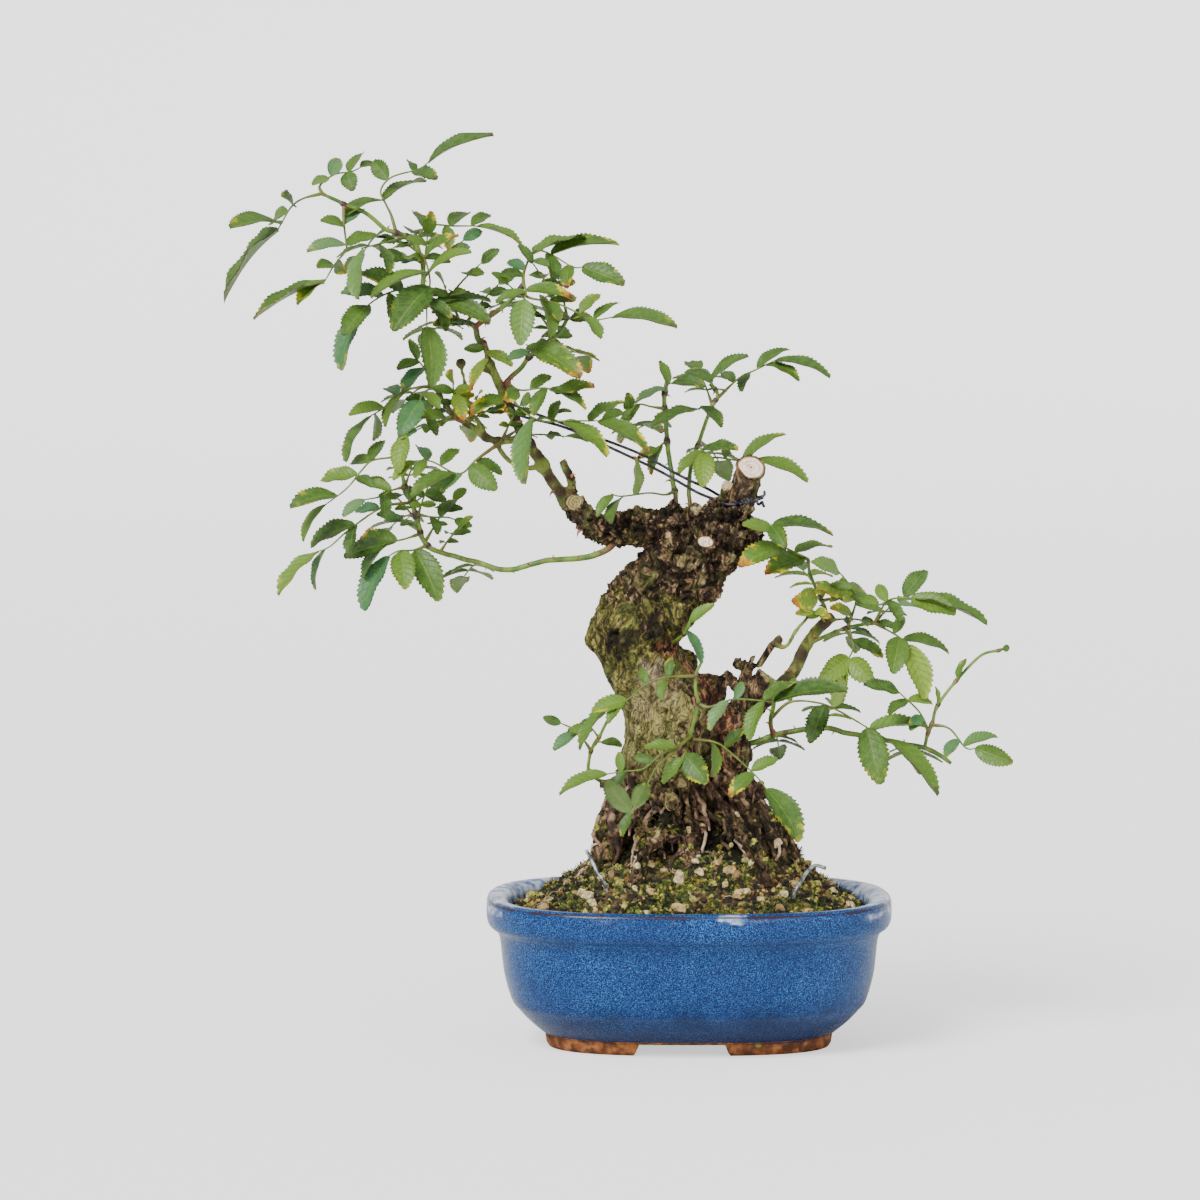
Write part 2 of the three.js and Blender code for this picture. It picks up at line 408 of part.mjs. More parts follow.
        leaflets: [[0.45, 44, -20, 114, 8], [0.5, 56, -17, 138, 5], [0.8, 70, -22, 99, 12],
          [1, 91, -18, 94, 6], [0.82, 88, -9, 119, 4], [0.2, 39, -2, 136, 4]] },
      { rib: [[92, -2, 126], [92, -3, 127]], leaflets: [[1, 91, -2, 133, 2]] },
      { rib: [[99, 0, 135], [100, 0, 136]], leaflets: [[1, 103, 1, 143, 2]] },
      { rib: [[115, 3, 146], [117, 3, 147]], leaflets: [[1, 123, 4, 147, 3]] },
    ],
    rear: [[[50, -5, 118], [54, 20, 124], 14], [[80, -6, 112], [85, 18, 104], 14], [[32, -2, 115],
        [34, 22, 108], 13]],
  },
  shoot_front: {
    stems: [{ radii: [1, 0.8], points: [[0, -11, 112], [0, -22, 115], [1, -26, 121], [3, -27, 129],
        [2, -28, 134],
      [2, -28, 140], [4, -26, 144]] }],
    leaves: [
      { rib: [[2, -28, 139], [-9, -30, 139], [-17, -31, 136], [-23, -31, 131], [-29, -30, 130]],
        leaflets: [[0.3, -7, -26, 146, 4], [0.55, -18, -26, 142, 4], [0.35, -10, -36, 131, 4],
          [0.82, -36, -34, 127, 6], [0.85, -30, -38, 123, 4], [1, -41, -32, 113, 3]] },
      { rib: [[3, -27, 129], [7, -29, 128], [16, -30, 131], [31, -30, 130]],
        leaflets: [[0.4, 7, -36, 120, 5], [0.85, 21, -36, 117, 5], [1, 57, -30, 134, 4],
          [0.85, 39, -24, 137, 4], [0.5, 19, -26, 137, 4]] },
      { rib: [[0, -23, 117], [-6, -30, 113], [-11, -33, 111], [-17, -34, 106], [-24, -34, 105],
          [-31, -34, 104]],
        leaflets: [[0.22, -17, -30, 113, 4], [0.5, -21, -32, 110, 4], [1, -48, -36, 97, 4],
          [0.85, -26, -32, 112, 4], [0.8, -29, -38, 97, 4]] },
      { rib: [[-10, -33, 111], [-12, -35, 107], [-15, -37, 102], [-22, -40, 90]],
        leaflets: [[1, -31, -44, 103, 8], [0.93, -16, -46, 102, 7], [1, -25, -42, 82, 4]] },
      { rib: [[0, -21, 114], [-2, -28, 111], [-3, -30, 109]],
        leaflets: [[0.8, 6, -36, 101, 10], [1, -10, -30, 100, 5]] },
      { rib: [[0, -23, 116], [9, -28, 115], [14, -30, 112], [24, -32, 103], [28, -33, 98]],
        leaflets: [[0.25, 8, -34, 103, 4], [0.4, 20, -28, 120, 4], [0.75, 32, -30, 109, 4],
          [0.78, 14, -38, 96, 6], [1, 40, -38, 80, 9]] },
    ],
    rear: [],
  },
  shoot_left_twig: {
    stems: [{ radii: [0.9, 0.75], points: [[-32, -5, 97.5], [-37, -10, 102], [-37, -12, 107],
        [-36, -13, 111], [-33, -14, 116],
      [-30, -16, 122], [-27, -17, 124]] }],
    leaves: [
      { rib: [[-36, -13, 110], [-38, -14, 113], [-42, -15, 118], [-48, -15, 121]],
        leaflets: [[1, -54, -15, 123, 4], [0.55, -50, -19, 111, 4], [0.5, -36, -11, 122, 3]] },
      { rib: [[-33, -14, 115], [-36, -16, 119]], leaflets: [[1, -45, -18, 118, 4]] },
      { rib: [[-34, -13, 113], [-32, -17, 114]], leaflets: [[1, -25, -22, 113, 3]] },
    ],
    rear: [],
  },
  shoot_bud: {
    stems: [{ radii: [0.9, 0.8], points: [[-6, -8, 150], [-2, -18, 154], [0, -21, 159]] }],
    leaves: [
      { rib: [[-2, -18, 154], [0, -21, 159]], leaflets: [[1, 9, -22, 165, 4], [0.3, 4, -22, 143, 4]] },
    ],
    rear: [],
  },
};

const GREEN_HUES = [0x557d32, 0x5a8a38, 0x4b7a46, 0x648c37, 0x4b825a, 0x6a8f3c];

const vector = (p) => new THREE.Vector3(p[0], p[1], p[2]);

// Turns a closed geometry into a solid
function solid(geometry) {
  const bare = geometry.index ? geometry.clone() : geometry;
  bare.deleteAttribute('normal');
  bare.deleteAttribute('uv');
  const merged = mergeVertices(bare, WELD);
  return new wasm.Manifold(new wasm.Mesh({
    numProp: 3,
    vertProperties: new Float32Array(merged.attributes.position.array),
    triVerts: new Uint32Array(merged.index.array),
  }));
}

// Turns a solid back into a geometry, without the slivers that joining leaves
function geometryOf(body) {
  const mesh = body.simplify(SLIVER).getMesh();
  const positions = new Float32Array(mesh.vertProperties);
  const geometry = new THREE.BufferGeometry();
  geometry.setAttribute('position', new THREE.BufferAttribute(positions, 3));
  geometry.setIndex(new THREE.BufferAttribute(new Uint32Array(mesh.triVerts), 1));
  geometry.computeVertexNormals();
  return geometry;
}

const join = (bodies) => bodies.reduce((whole, body) => whole.add(body));

// Closes a stack of rings with the same number of points into one skin with flat ends
function loft(rings) {
  const count = rings[0].length;
  const positions = [];
  const index = [];
  rings.forEach((ring) => ring.forEach((p) => positions.push(p.x, p.y, p.z)));
  for (let r = 0; r + 1 < rings.length; r += 1) {
    for (let i = 0; i < count; i += 1) {
      const a = r * count + i;
      const b = r * count + ((i + 1) % count);
      index.push(a, b, b + count, a, b + count, a + count);
    }
  }
  const top = (rings.length - 1) * count;
  for (let i = 1; i + 1 < count; i += 1) {
    index.push(0, i + 1, i);
    index.push(top, top + i, top + i + 1);
  }
  const geometry = new THREE.BufferGeometry();
  geometry.setAttribute('position', new THREE.Float32BufferAttribute(positions, 3));
  geometry.setIndex(index);
  return geometry;
}

// Value along an evenly spread list of values
function along(values, t) {
  if (values.length === 1) return values[0];
  const place = t * (values.length - 1);
  const low = Math.min(Math.floor(place), values.length - 2);
  return values[low] + (values[low + 1] - values[low]) * (place - low);
}

// Round limb along a route, its radius running through the given radii
function limb(route, radii, sides, grow = 0) {
  const points = route.map(vector);
  const last = points.length - 1;
  const tangents = points.map((_, i) => (
    points[Math.min(i + 1, last)].clone().sub(points[Math.max(i - 1, 0)]).normalize()));
  const across = new THREE.Vector3(0, 1, 0);
  if (Math.abs(tangents[0].dot(across)) > NEARLY_ALONG) across.set(1, 0, 0);
  const rings = points.map((p, i) => {
    across.addScaledVector(tangents[i], -across.dot(tangents[i])).normalize();
    const up = new THREE.Vector3().crossVectors(tangents[i], across);
    const radius = along(radii, i / last) + grow;
    const centre = p.clone();
    if (grow > 0 && i === 0) centre.addScaledVector(tangents[0], -grow);
    return Array.from({ length: sides }, (_, k) => {
      const angle = (2 * Math.PI * k) / sides;
      return centre.clone()
        .addScaledVector(across, radius * Math.cos(angle))
        .addScaledVector(up, radius * Math.sin(angle));
    });
  });
  return solid(loft(rings));
}

// Smooth route with a set number of steps through a few points
function smooth(route, steps) {
  const curve = new THREE.CatmullRomCurve3(route.map(vector), false, 'centripetal');
  return curve.getSpacedPoints(steps).map((p) => [p.x, p.y, p.z]);
}

// Ring of a squarish oval
function oval(halfLength, halfDepth, z, squareness, sides) {
  return Array.from({ length: sides }, (_, i) => {
    const angle = (2 * Math.PI * i) / sides;
    const c = Math.cos(angle);
    const s = Math.sin(angle);
    return new THREE.Vector3(
      halfLength * Math.sign(c) * Math.abs(c) ** (2 / squareness),
      halfDepth * Math.sign(s) * Math.abs(s) ** (2 / squareness),
      z,
    );
  });
}

// The pot is as much shallower than it is long at the rim, and a little more at the foot
function potDepth(halfLength, z) {
  const rimLoss = RIM_HALF_LENGTH - RIM_HALF_DEPTH;
  const footLoss = FOOT_HALF_LENGTH - FOOT_HALF_DEPTH;
  return halfLength - THREE.MathUtils.lerp(footLoss, rimLoss, Math.min(1, z / POT_HEIGHT));
}

function potRing([halfLength, z]) {
  return oval(halfLength, potDepth(halfLength, z), z, POT_SQUARENESS, POT_SIDES);
}

function upright(radius, bottom, top, x, y) {
  const height = top - bottom;
  const geometry = new THREE.CylinderGeometry(radius, radius, height, DRAIN_SIDES);
  geometry.rotateX(Math.PI / 2);
  geometry.translate(x, y, bottom + height / 2);
  return solid(geometry);
}

function block(width, depth, height, x, y, z) {
  const geometry = new THREE.BoxGeometry(width, depth, height);
  geometry.translate(x, y, z);
  return solid(geometry);
}

function makePot() {
  const body = solid(loft([...POT_OUTSIDE, ...POT_INSIDE].map(potRing)));
  const footRing = (loss, z) => (
    oval(FOOT_HALF_LENGTH - loss, FOOT_HALF_DEPTH - loss, z, POT_SQUARENESS, POT_SIDES));
  const footOutside = solid(loft([footRing(FOOT_DRAFT, 0), footRing(0, FOOT_HEIGHT + OVERRUN)]));
  const footInside = solid(loft([footRing(FOOT_WALL, -OVERRUN), footRing(FOOT_WALL, FOOT_RECESS)]));
  const halfTop = FOOT_CUT.topWidth / 2;
  const halfBottom = FOOT_CUT.bottomWidth / 2;
  const notch = new THREE.Shape([
    new THREE.Vector2(-halfBottom, -OVERRUN), new THREE.Vector2(halfBottom, -OVERRUN),
    new THREE.Vector2(halfTop, FOOT_RECESS), new THREE.Vector2(-halfTop, FOOT_RECESS),
  ]);
  const cut = new THREE.ExtrudeGeometry(notch, { depth: 2 * RIM_HALF_DEPTH, bevelEnabled: false });
  cut.rotateX(Math.PI / 2);
  cut.translate(FOOT_CUT.centre, RIM_HALF_DEPTH, 0);
  const drains = [-1, 1].map((side) => (
    upright(DRAIN_RADIUS, OVERRUN, FLOOR_TOP + OVERRUN, side * DRAIN_SPACING, 0)));
  return [footInside, solid(cut)]
    .reduce((foot, hole) => foot.subtract(hole), footOutside)
    .add(body)
    .subtract(join(drains));
}

function makeMesh(side) {
  const middle = FLOOR_TOP + GAP + MESH_THICKNESS / 2;
  let plate = block(MESH_SIZE, MESH_SIZE, MESH_THICKNESS, side * DRAIN_SPACING, 0, middle);
  for (let i = 0; i < MESH_SLOTS; i += 1) {
    for (let k = 0; k < MESH_SLOTS; k += 1) {
      const x = side * DRAIN_SPACING + (i - (MESH_SLOTS - 1) / 2) * MESH_PITCH;
      const y = (k - (MESH_SLOTS - 1) / 2) * MESH_PITCH;
      plate = plate.subtract(block(MESH_SLOT_SIZE, MESH_SLOT_SIZE, 2 * MESH_THICKNESS, x, y, middle));
    }
  }
  return plate;
}

// Height of the mound over a point of its plan
function moundHeight(x, y) {
  const share = ([halfLength, halfDepth, , squareness, right]) => (
    (Math.abs(x - right) / halfLength) ** squareness + (Math.abs(y) / halfDepth) ** squareness);
  const inner = SOIL_MOUND.findIndex((ring) => share(ring) > 1);
  if (inner <= 0) return SOIL_MOUND[inner === 0 ? 0 : SOIL_MOUND.length - 1][2];
  const low = share(SOIL_MOUND[inner - 1]);
  const high = share(SOIL_MOUND[inner]);
  return THREE.MathUtils.lerp(SOIL_MOUND[inner - 1][2], SOIL_MOUND[inner][2], (1 - low) / (high - low));
}

function pebble([x, y, radius], turn) {
  const z = moundHeight(x, y);
  const geometry = new THREE.IcosahedronGeometry(radius, 0);
  geometry.scale(...PEBBLE_STRETCH);
  geometry.rotateZ(turn);
  geometry.translate(x, y, z);
  return solid(geometry);
}

function makeSoil() {
  const inside = SOIL_INSIDE.map(([halfLength, z]) => (
    oval(halfLength, potDepth(halfLength, z), z, POT_SQUARENESS, POT_SIDES)));
  const mound = SOIL_MOUND.map(([halfLength, halfDepth, z, squareness, right]) => (
    oval(halfLength, halfDepth, z, squareness, POT_SIDES).map((p) => p.setX(p.x + right))));
  const heap = solid(loft([...inside, ...mound]));
  const stones = PEBBLES.map((spot, i) => pebble(spot, i * PEBBLE_TURN));
  const pocket = MESH_SIZE + 2 * GAP;
  const pockets = [-1, 1].map((side) => (
    block(pocket, pocket, 2 * (MESH_THICKNESS + GAP), side * DRAIN_SPACING, 0, FLOOR_TOP + GAP)));
  return join([heap, ...stones]).subtract(join(pockets));
}

// Trunk ring: an oval with shallow furrows that wander with height
function trunkRing([x, y, z, halfWidth, halfDepth], grow) {
  return Array.from({ length: TRUNK_SIDES }, (_, i) => {
    const angle = (2 * Math.PI * i) / TRUNK_SIDES;
    const wave = BARK_WAVES.reduce((sum, { count, rise, share }) => (
      sum + share * Math.sin(count * angle + z / rise)), 0);
    const relief = 1 + BARK_RELIEF * wave;
    return new THREE.Vector3(
      x + (halfWidth * relief + grow) * Math.cos(angle),
      y + (halfDepth * relief + grow) * Math.sin(angle),
      z === TRUNK_RINGS[0][2] ? z - grow : z,
    );
  });
}

function lump([x, y, z, radius]) {
  const geometry = new THREE.IcosahedronGeometry(radius, radius > LARGE_KNOB ? 1 : 0);
  geometry.translate(x, y, z);
  return solid(geometry);
}

// Room in the soil for the foot of the trunk and its roots
function rootRoom(grow) {
  const core = solid(loft(TRUNK_RINGS.slice(0, 4).map((ring) => trunkRing(ring, grow))));
  const roots = LIMBS.filter(({ name }) => name.includes('root'));
  return join([core, ...roots.map(({ route, radii, sides }) => limb(route, radii, sides, grow))]);
}

function makeTrunk() {
  const core = solid(loft(TRUNK_RINGS.map((ring) => trunkRing(ring, 0))));
  const limbs = LIMBS.map(({ route, radii, sides }) => limb(route, radii, sides));
  const whole = join([core, ...limbs, ...KNOBS.map(lump)]);
  const hollows = HOLLOWS.map(([x, y, z, rx, ry, rz]) => {
    const geometry = new THREE.IcosahedronGeometry(1, 0);
    geometry.scale(rx, ry, rz);
    geometry.translate(x, y, z);
    return solid(geometry);
  });
  return hollows.reduce((body, hollow) => body.subtract(hollow), whole);
}

// A leaflet is turned about its length until the front sees the given width of it, its
// upper face kept upward
function turnedNormal(direction, width, seenWidth) {
  const toFront = new THREE.Vector3(0, -1, 0);
  const facing = toFront.clone().addScaledVector(direction, -toFront.dot(direction)).normalize();
  const aside = new THREE.Vector3().crossVectors(direction, facing);
  const cosine = Math.min(1, seenWidth / width);
  const sine = Math.sqrt(1 - cosine * cosine);
  const sign = aside.z >= 0 ? 1 : -1;
  return facing.multiplyScalar(cosine).addScaledVector(aside, sign * sine).normalize();
}

// The longer a leaflet is, the more of its toothed edge is drawn
function edgeOf(length) {
  if (length > LARGE_LENGTH) return LARGE_EDGE;
  return length > MIDDLE_LENGTH ? MIDDLE_EDGE : SMALL_EDGE;
}

// Thin arched blade with a toothed edge. Both faces share one split into triangles.
function leaflet(foot, tip, width, normal) {
  const direction = tip.clone().sub(foot).normalize();
  const base = foot.clone().addScaledVector(direction, FOOT_OFFSET);
  const length = base.distanceTo(tip);
  const side = new THREE.Vector3().crossVectors(direction, normal).normalize();
  const half = edgeOf(length);
  const outline = [[0, 0], ...half, [1, 0], ...half.slice().reverse().map(([u, w]) => [u, -w])];
  const positions = [];
  [0.5, -0.5].forEach((face) => outline.forEach(([u, w]) => {
    const p = base.clone()
      .addScaledVector(direction, u * length)
      .addScaledVector(side, w * width)
      .addScaledVector(normal, 4 * ARCH * u * (1 - u) * length + face * BLADE_THICKNESS);
    positions.push(p.x, p.y, p.z);
  }));
  const count = outline.length;
  const rungs = [[0, 1, count - 1]];
  for (let i = 1; i < half.length; i += 1) {
    rungs.push([i, i + 1, count - i], [i + 1, count - i - 1, count - i]);
  }
  rungs.push([half.length, half.length + 1, half.length + 2]);
  const index = [];
  rungs.forEach(([a, b, c]) => index.push(a, b, c, a + count, c + count, b + count));
  for (let i = 0; i < count; i += 1) {
    const j = (i + 1) % count;
    index.push(i, i + count, j, j, i + count, j + count);
  }
  const geometry = new THREE.BufferGeometry();
  geometry.setAttribute('position', new THREE.Float32BufferAttribute(positions, 3));
  geometry.setIndex(index);
  return solid(geometry);
}

// Point part of the way along a rib, by length. An end leaflet starts a little short of its end.
function ribPoint(rib, share) {
  const points = rib.map(vector);
  const path = new THREE.CurvePath();
  for (let i = 0; i + 1 < points.length; i += 1) {
    path.add(new THREE.LineCurve3(points[i], points[i + 1]));
  }
  return path.getPointAt(Math.min(share, 1 - END_OVERLAP / path.getLength()));
}

// Route without the points that lie closer than the slack to the line past them
function thinned(route, slack) {
  const kept = [route[0]];
  for (let i = 1; i + 1 < route.length; i += 1) {
    const chord = new THREE.Line3(vector(kept[kept.length - 1]), vector(route[i + 1]));
    const point = vector(route[i]);
    const foot = chord.closestPointToPoint(point, true, new THREE.Vector3());
    if (foot.distanceTo(point) > slack) kept.push(route[i]);
  }
  return [...kept, route[route.length - 1]];
}

// Nearest point on a shoot's stems, where a rib is rooted
function rootedOn(stems, start) {
  const from = vector(start);
  const nearest = stems.flatMap((stem) => {
    const points = thinned(stem.points, STEM_SLACK).map(vector);
    return points.slice(1).map((end, i) => (
      new THREE.Line3(points[i], end).closestPointToPoint(from, true, new THREE.Vector3())));
  });
  nearest.sort((a, b) => a.distanceTo(from) - b.distanceTo(from));
  return nearest[0].toArray();
}

function leafFromFront({ rib, leaflets }, stems) {
  const spine = thinned([rootedOn(stems, rib[0]), ...rib.slice(1)], RIB_SLACK);
  const bodies = [limb(spine, RIB_RADII, RIB_SIDES)];
  leaflets.forEach(([share, x, y, z, seenWidth]) => {
    const foot = ribPoint(spine, share);
    const tip = new THREE.Vector3(x, y, z);
    const length = foot.distanceTo(tip);
    if (length < LEAST_LEAFLET) return;
    const width = Math.max(seenWidth, LEAST_WIDTH * length);
    const normal = turnedNormal(tip.clone().sub(foot).normalize(), width, seenWidth);
    bodies.push(leaflet(foot, tip, width, normal));
  });
  return join(bodies);
}

// Leaf on the far side of the tree: one pair of leaflets and one at the end, faces up
function rearLeaf([start, end, length]) {
  const rib = [start, end];
  const up = new THREE.Vector3(0, 0, 1);
  const direction = vector(end).sub(vector(start)).normalize();
  const aside = new THREE.Vector3().crossVectors(direction, up).normalize();
  const bodies = [limb(rib, RIB_RADII, RIB_SIDES)];
  REAR_LEAFLETS.forEach(({ share, onward, turn, scale }) => {
    const foot = ribPoint(rib, share);
    const heading = direction.clone().multiplyScalar(onward).addScaledVector(aside, turn);
    heading.addScaledVector(up, -REAR_DROOP).normalize();
    const tip = foot.clone().addScaledVector(heading, length * scale);
    const normal = up.clone().addScaledVector(heading, -up.dot(heading)).normalize();
    bodies.push(leaflet(foot, tip, FULL_WIDTH * length * scale, normal));
  });
  return join(bodies);
}

function makeShoot({ stems, leaves, rear }) {
  return join([
    ...stems.map(({ points, radii }) => limb(thinned(points, STEM_SLACK), radii, STEM_SIDES)),
    ...leaves.map((leaf) => leafFromFront(leaf, stems)),
    ...rear.map(rearLeaf),
  ]);
}

// Room for a shoot's stem in the wood that carries it
function socketOf({ stems, leaves }) {
  const ribs = leaves.map(({ rib }) => (
    limb(thinned(rib, RIB_SLACK), RIB_RADII, RIB_SIDES, SOCKET_GAP)));
  const [{ points, radii }] = stems;
  return join([limb(thinned(points, STEM_SLACK), radii, STEM_SIDES, SOCKET_GAP), ...ribs]);
}

function dressed(name, body, color, roughness, metalness = 0) {
  const material = new THREE.MeshStandardMaterial({ color, roughness, metalness });
  const mesh = new THREE.Mesh(geometryOf(body), material);
  mesh.name = name;
  return mesh;
}

const tieRoute = smooth(TIE_ROUTE, TIE_STEPS);
const guyRoute = smooth(GUY_ROUTE, GUY_STEPS);
const tieRoom = limb(tieRoute, [TIE_RADIUS], WIRE_SIDES, SOCKET_GAP);
const guyRoom = limb(guyRoute, [GUY_RADIUS], WIRE_SIDES, SOCKET_GAP);

const trunk = [tieRoom, guyRoom, ...Object.values(SHOOTS).map(socketOf)]
  .reduce((body, room) => body.subtract(room), makeTrunk());
const soil = makeSoil().subtract(rootRoom(SOCKET_GAP)).subtract(tieRoom);

const bonsai = new THREE.Group();
bonsai.add(dressed('pot', makePot(), 0x2d5fa5, 0.25));
[['drain_mesh_left', -1], ['drain_mesh_right', 1]].forEach(([name, side]) => {
  bonsai.add(dressed(name, makeMesh(side).subtract(tieRoom), 0x2b2b2b, 0.6));
});
bonsai.add(dressed('soil', soil, 0x3c321e, 0.95));
bonsai.add(dressed('tie_wire', limb(tieRoute, [TIE_RADIUS], WIRE_SIDES), 0x828c91, 0.4, 0.9));
bonsai.add(dressed('trunk', trunk, 0x5f4632, 0.9));
bonsai.add(dressed('guy_wire', limb(guyRoute, [GUY_RADIUS], WIRE_SIDES), 0x23232d, 0.5, 0.2));
Object.entries(SHOOTS).forEach(([name, shoot], i) => {
  bonsai.add(dressed(name, makeShoot(shoot), GREEN_HUES[i % GREEN_HUES.length], 0.5));
});

const bounds = new THREE.Box3().setFromObject(bonsai);
const middle = bounds.getCenter(new THREE.Vector3());
bonsai.position.set(-middle.x, -middle.y, -bounds.min.z);

export default bonsai;
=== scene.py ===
"""Looks of a shrub rose grown as a bonsai in a blue glazed pot.

The solid model is loaded as a fixed frame and every piece here stands in its place. Sizes in
the tables are millimetres from the pot's centre line on the ground: X along the pot's long
side, the front of the tree towards -Y, Z up.
"""

import json
import logging
import math
import random
from collections.abc import Sequence
from dataclasses import dataclass
from enum import Enum

import bpy
import numpy as np
from mathutils import Matrix, Vector, noise
from mathutils.bvhtree import BVHTree
from mathutils.kdtree import KDTree

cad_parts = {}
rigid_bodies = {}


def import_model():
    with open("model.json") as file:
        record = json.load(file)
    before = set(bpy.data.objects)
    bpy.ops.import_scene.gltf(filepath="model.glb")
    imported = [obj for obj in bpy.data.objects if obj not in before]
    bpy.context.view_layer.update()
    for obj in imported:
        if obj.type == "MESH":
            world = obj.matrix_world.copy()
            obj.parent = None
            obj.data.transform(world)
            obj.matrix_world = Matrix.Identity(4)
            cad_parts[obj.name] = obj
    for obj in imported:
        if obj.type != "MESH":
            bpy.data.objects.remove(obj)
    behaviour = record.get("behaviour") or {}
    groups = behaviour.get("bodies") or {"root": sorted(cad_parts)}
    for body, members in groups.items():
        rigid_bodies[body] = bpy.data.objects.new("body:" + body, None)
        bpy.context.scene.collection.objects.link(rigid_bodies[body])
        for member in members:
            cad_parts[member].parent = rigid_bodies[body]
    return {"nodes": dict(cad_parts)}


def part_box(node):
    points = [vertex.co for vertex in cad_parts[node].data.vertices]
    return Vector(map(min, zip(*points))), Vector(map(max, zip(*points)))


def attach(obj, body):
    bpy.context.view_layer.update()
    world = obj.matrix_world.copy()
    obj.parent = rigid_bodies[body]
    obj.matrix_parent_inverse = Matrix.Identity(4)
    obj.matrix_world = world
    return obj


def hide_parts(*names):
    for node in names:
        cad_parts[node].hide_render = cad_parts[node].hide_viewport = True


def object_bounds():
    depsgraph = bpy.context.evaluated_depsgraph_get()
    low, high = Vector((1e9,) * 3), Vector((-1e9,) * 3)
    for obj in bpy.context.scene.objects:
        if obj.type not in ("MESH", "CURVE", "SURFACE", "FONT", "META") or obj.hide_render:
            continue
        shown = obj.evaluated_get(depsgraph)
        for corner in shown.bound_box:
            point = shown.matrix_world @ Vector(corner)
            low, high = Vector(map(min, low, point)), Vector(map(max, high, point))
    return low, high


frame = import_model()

LOG = logging.getLogger("bonsai")
MM = 0.001
POT_LOW, POT_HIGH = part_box("pot")
CENTRE = np.array([(POT_LOW.x + POT_HIGH.x) / 2, (POT_LOW.y + POT_HIGH.y) / 2, POT_LOW.z])
CAD_BOX = [list(corner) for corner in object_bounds()]

Point = tuple[float, float, float]
Colour = tuple[float, float, float, float]
Pairs = tuple[tuple[float, float], ...]
Array = np.ndarray
Faces = list[Sequence[int]]
Socket = bpy.types.NodeSocket
Node = bpy.types.Node
NodeTree = bpy.types.NodeTree
Mesh = bpy.types.Mesh
Object = bpy.types.Object
Material = bpy.types.Material
Collection = bpy.types.Collection


@dataclass(frozen=True)
class StemPlan:
    """Green stem: radii from its foot to its end, and the points it runs through."""

    radii: tuple[float, ...]
    points: list[Point]


@dataclass(frozen=True)
class LeafPlan:
    """Compound leaf: the points of its rib, then each leaflet.

    A leaflet gives its place along the rib, its tip, and its width as seen from the front.
    """

    rib: list[Point]
    leaflets: list[tuple[float, float, float, float, float]]


@dataclass(frozen=True)
class ShootPlan:
    """Leafy shoot. A rear leaf gives where its rib starts and ends and a leaflet length."""

    stems: list[StemPlan]
    leaves: list[LeafPlan]
    rear: list[tuple[Point, Point, float]]


@dataclass(frozen=True)
class LimbPlan:
    """Woody limb of the trunk: name, radii from its foot to its end, and its route."""

    name: str
    radii: tuple[float, ...]
    route: list[Point]


